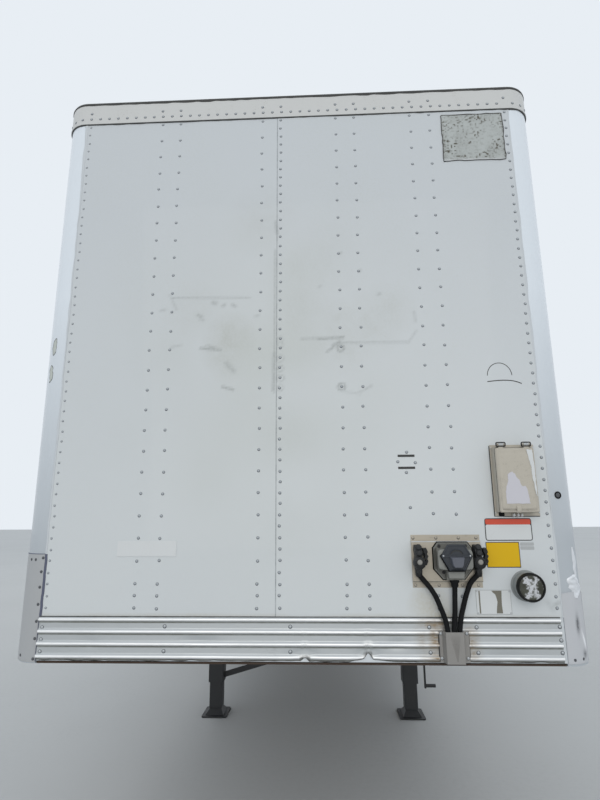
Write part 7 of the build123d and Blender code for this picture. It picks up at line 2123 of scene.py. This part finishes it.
@dataclass
class LandingGear:
    """Bolts of the landing legs' mounting plates and of the gear box."""

    leg_x: float = 0.919
    leg_y: float = FRONT + 2.959

    def build(self) -> None:
        """Adds the bolts of both legs' plates and of the gear box."""
        spots = np.array([
            (s * (self.leg_x + dx), self.leg_y + dy, 1.191)
            for s in (-1, 1) for dx in (-0.088, 0.088) for dy in (-0.17, -0.06, 0.06, 0.17)
        ])
        make_piece("leg_plate_bolts", hex_bolt(0.010, 0.010).scattered(spots, Facing.GROUND.out), ZINC_STUD_AND_HIGHLIGHT)
        face = self.leg_x + 0.071 + 0.048
        box = np.array(
            [(face, self.leg_y + dy, 0.64 + dz) for dy in (-0.045, 0.045) for dz in (-0.078, 0.078)]
        )
        make_piece("gear_box_bolts", hex_bolt(0.007, 0.006).scattered(box, Facing.DRIVER.out), ZINC_STUD_AND_HIGHLIGHT)


@dataclass
class Studio:
    """Camera at the photograph's place, a pale floor and soft light."""

    place: tuple[float, float, float] = (0.131, -10.475, 1.842)
    focal_px: float = 514.3
    yaw: float = -2.51
    pitch: float = 12.5
    roll: float = -0.35

    def camera(self) -> None:
        """Sets the camera: axes from yaw, pitch and roll, and the lens from the focal length in pixels."""
        yaw, pitch, roll = (math.radians(a) for a in (self.yaw, self.pitch, self.roll))
        ahead = np.array([math.sin(yaw) * math.cos(pitch), math.cos(yaw) * math.cos(pitch), math.sin(pitch)])
        right = np.array([math.cos(yaw), -math.sin(yaw), 0.0])
        up = np.cross(right, ahead)
        side = math.cos(roll) * right + math.sin(roll) * up
        rise = -math.sin(roll) * right + math.cos(roll) * up
        data = bpy.data.cameras.new("camera")
        data.sensor_width = 36.0
        data.lens = self.focal_px / 800 * 36.0
        data.clip_end = 200.0
        camera = bpy.data.objects.new("camera", data)
        bpy.context.scene.collection.objects.link(camera)
        pose = np.eye(4)
        pose[:3] = np.c_[side, rise, -ahead, self.place]
        camera.matrix_world = Matrix(pose.tolist())
        bpy.context.scene.camera = camera

    def light(self) -> None:
        """An even pale sky, a large soft light in front and a weaker one overhead."""
        world = bpy.data.worlds.new("overcast")
        world.use_nodes = True
        backdrop = world.node_tree.nodes["Background"]
        backdrop.inputs["Color"].default_value = linear("#e8eef4")
        backdrop.inputs["Strength"].default_value = 1.0
        bpy.context.scene.world = world
        for name, at, size, power in (
            ("window_front", (0.0, -20.0, 5.8), 10.0, 448.0), ("sky_top", (0.0, 6.0, 14.0), 14.0, 300.0)
        ):
            data = bpy.data.lights.new(name, "AREA")
            data.shape = "SQUARE"
            data.size = size
            data.energy = power
            data.color = linear("#fff8ee")[:3]
            lamp = bpy.data.objects.new(name, data)
            bpy.context.scene.collection.objects.link(lamp)
            aim = np.array([0.0, 0.0, 2.0]) - np.array(at)
            back = -aim / np.linalg.norm(aim)
            right = np.cross((0.0, 1.0, 0.0) if abs(back[2]) > 0.95 else (0.0, 0.0, 1.0), back)
            right /= np.linalg.norm(right)
            pose = np.eye(4)
            pose[:3] = np.c_[right, np.cross(back, right), back, np.array(at)]
            lamp.matrix_world = Matrix(pose.tolist())

    def floor(self) -> None:
        """A flat floor as a grid at height zero."""
        x, y = np.meshgrid(np.linspace(-60, 60, 13), np.linspace(-60, 60, 13))
        shape = lattice(np.stack([x, y, 0 * x - 0.0005], axis=-1))
        mesh = bpy.data.meshes.new("floor")
        mesh.from_pydata(shape.points.tolist(), [], shape.faces[0].tolist())
        mesh.materials.append(material_of(STUDIO_FLOOR))
        floor = bpy.data.objects.new("floor", mesh)
        bpy.context.scene.collection.objects.link(floor)

    def build(self) -> None:
        """Sets up the camera, light and floor."""
        bpy.context.scene.view_settings.view_transform = "Standard"
        self.camera()
        self.light()
        self.floor()


def dress_nodes() -> None:
    """Gives every CAD node its finish in its object's material slots."""
    for name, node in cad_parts.items():
        node.data.materials.clear()
        node.data.materials.append(material_of(NODE_FINISHES[name]))
        LOG.info("%s keeps its CAD shape in %s", name, NODE_FINISHES[name].name)


def main() -> None:
    """Builds the studio and every sub-assembly in order."""
    logging.basicConfig(level=logging.INFO, format="%(name)s %(message)s", stream=sys.stdout)
    Studio().build()
    dress_nodes()
    parts = (
        NoseWall(), RibbedPanel(), NoseRail(), CornerPosts(), FittingGroup(), DocumentBox(), Canister(),
        Labels(), PatchPlate(), Sides(), RoofDressing(), RearEnd(), Wheels(), Bogie(), LandingGear(),
    )
    for part in parts:
        part.build()
        LOG.info("%s is done", type(part).__name__)


if __name__ == "__main__":
    main()
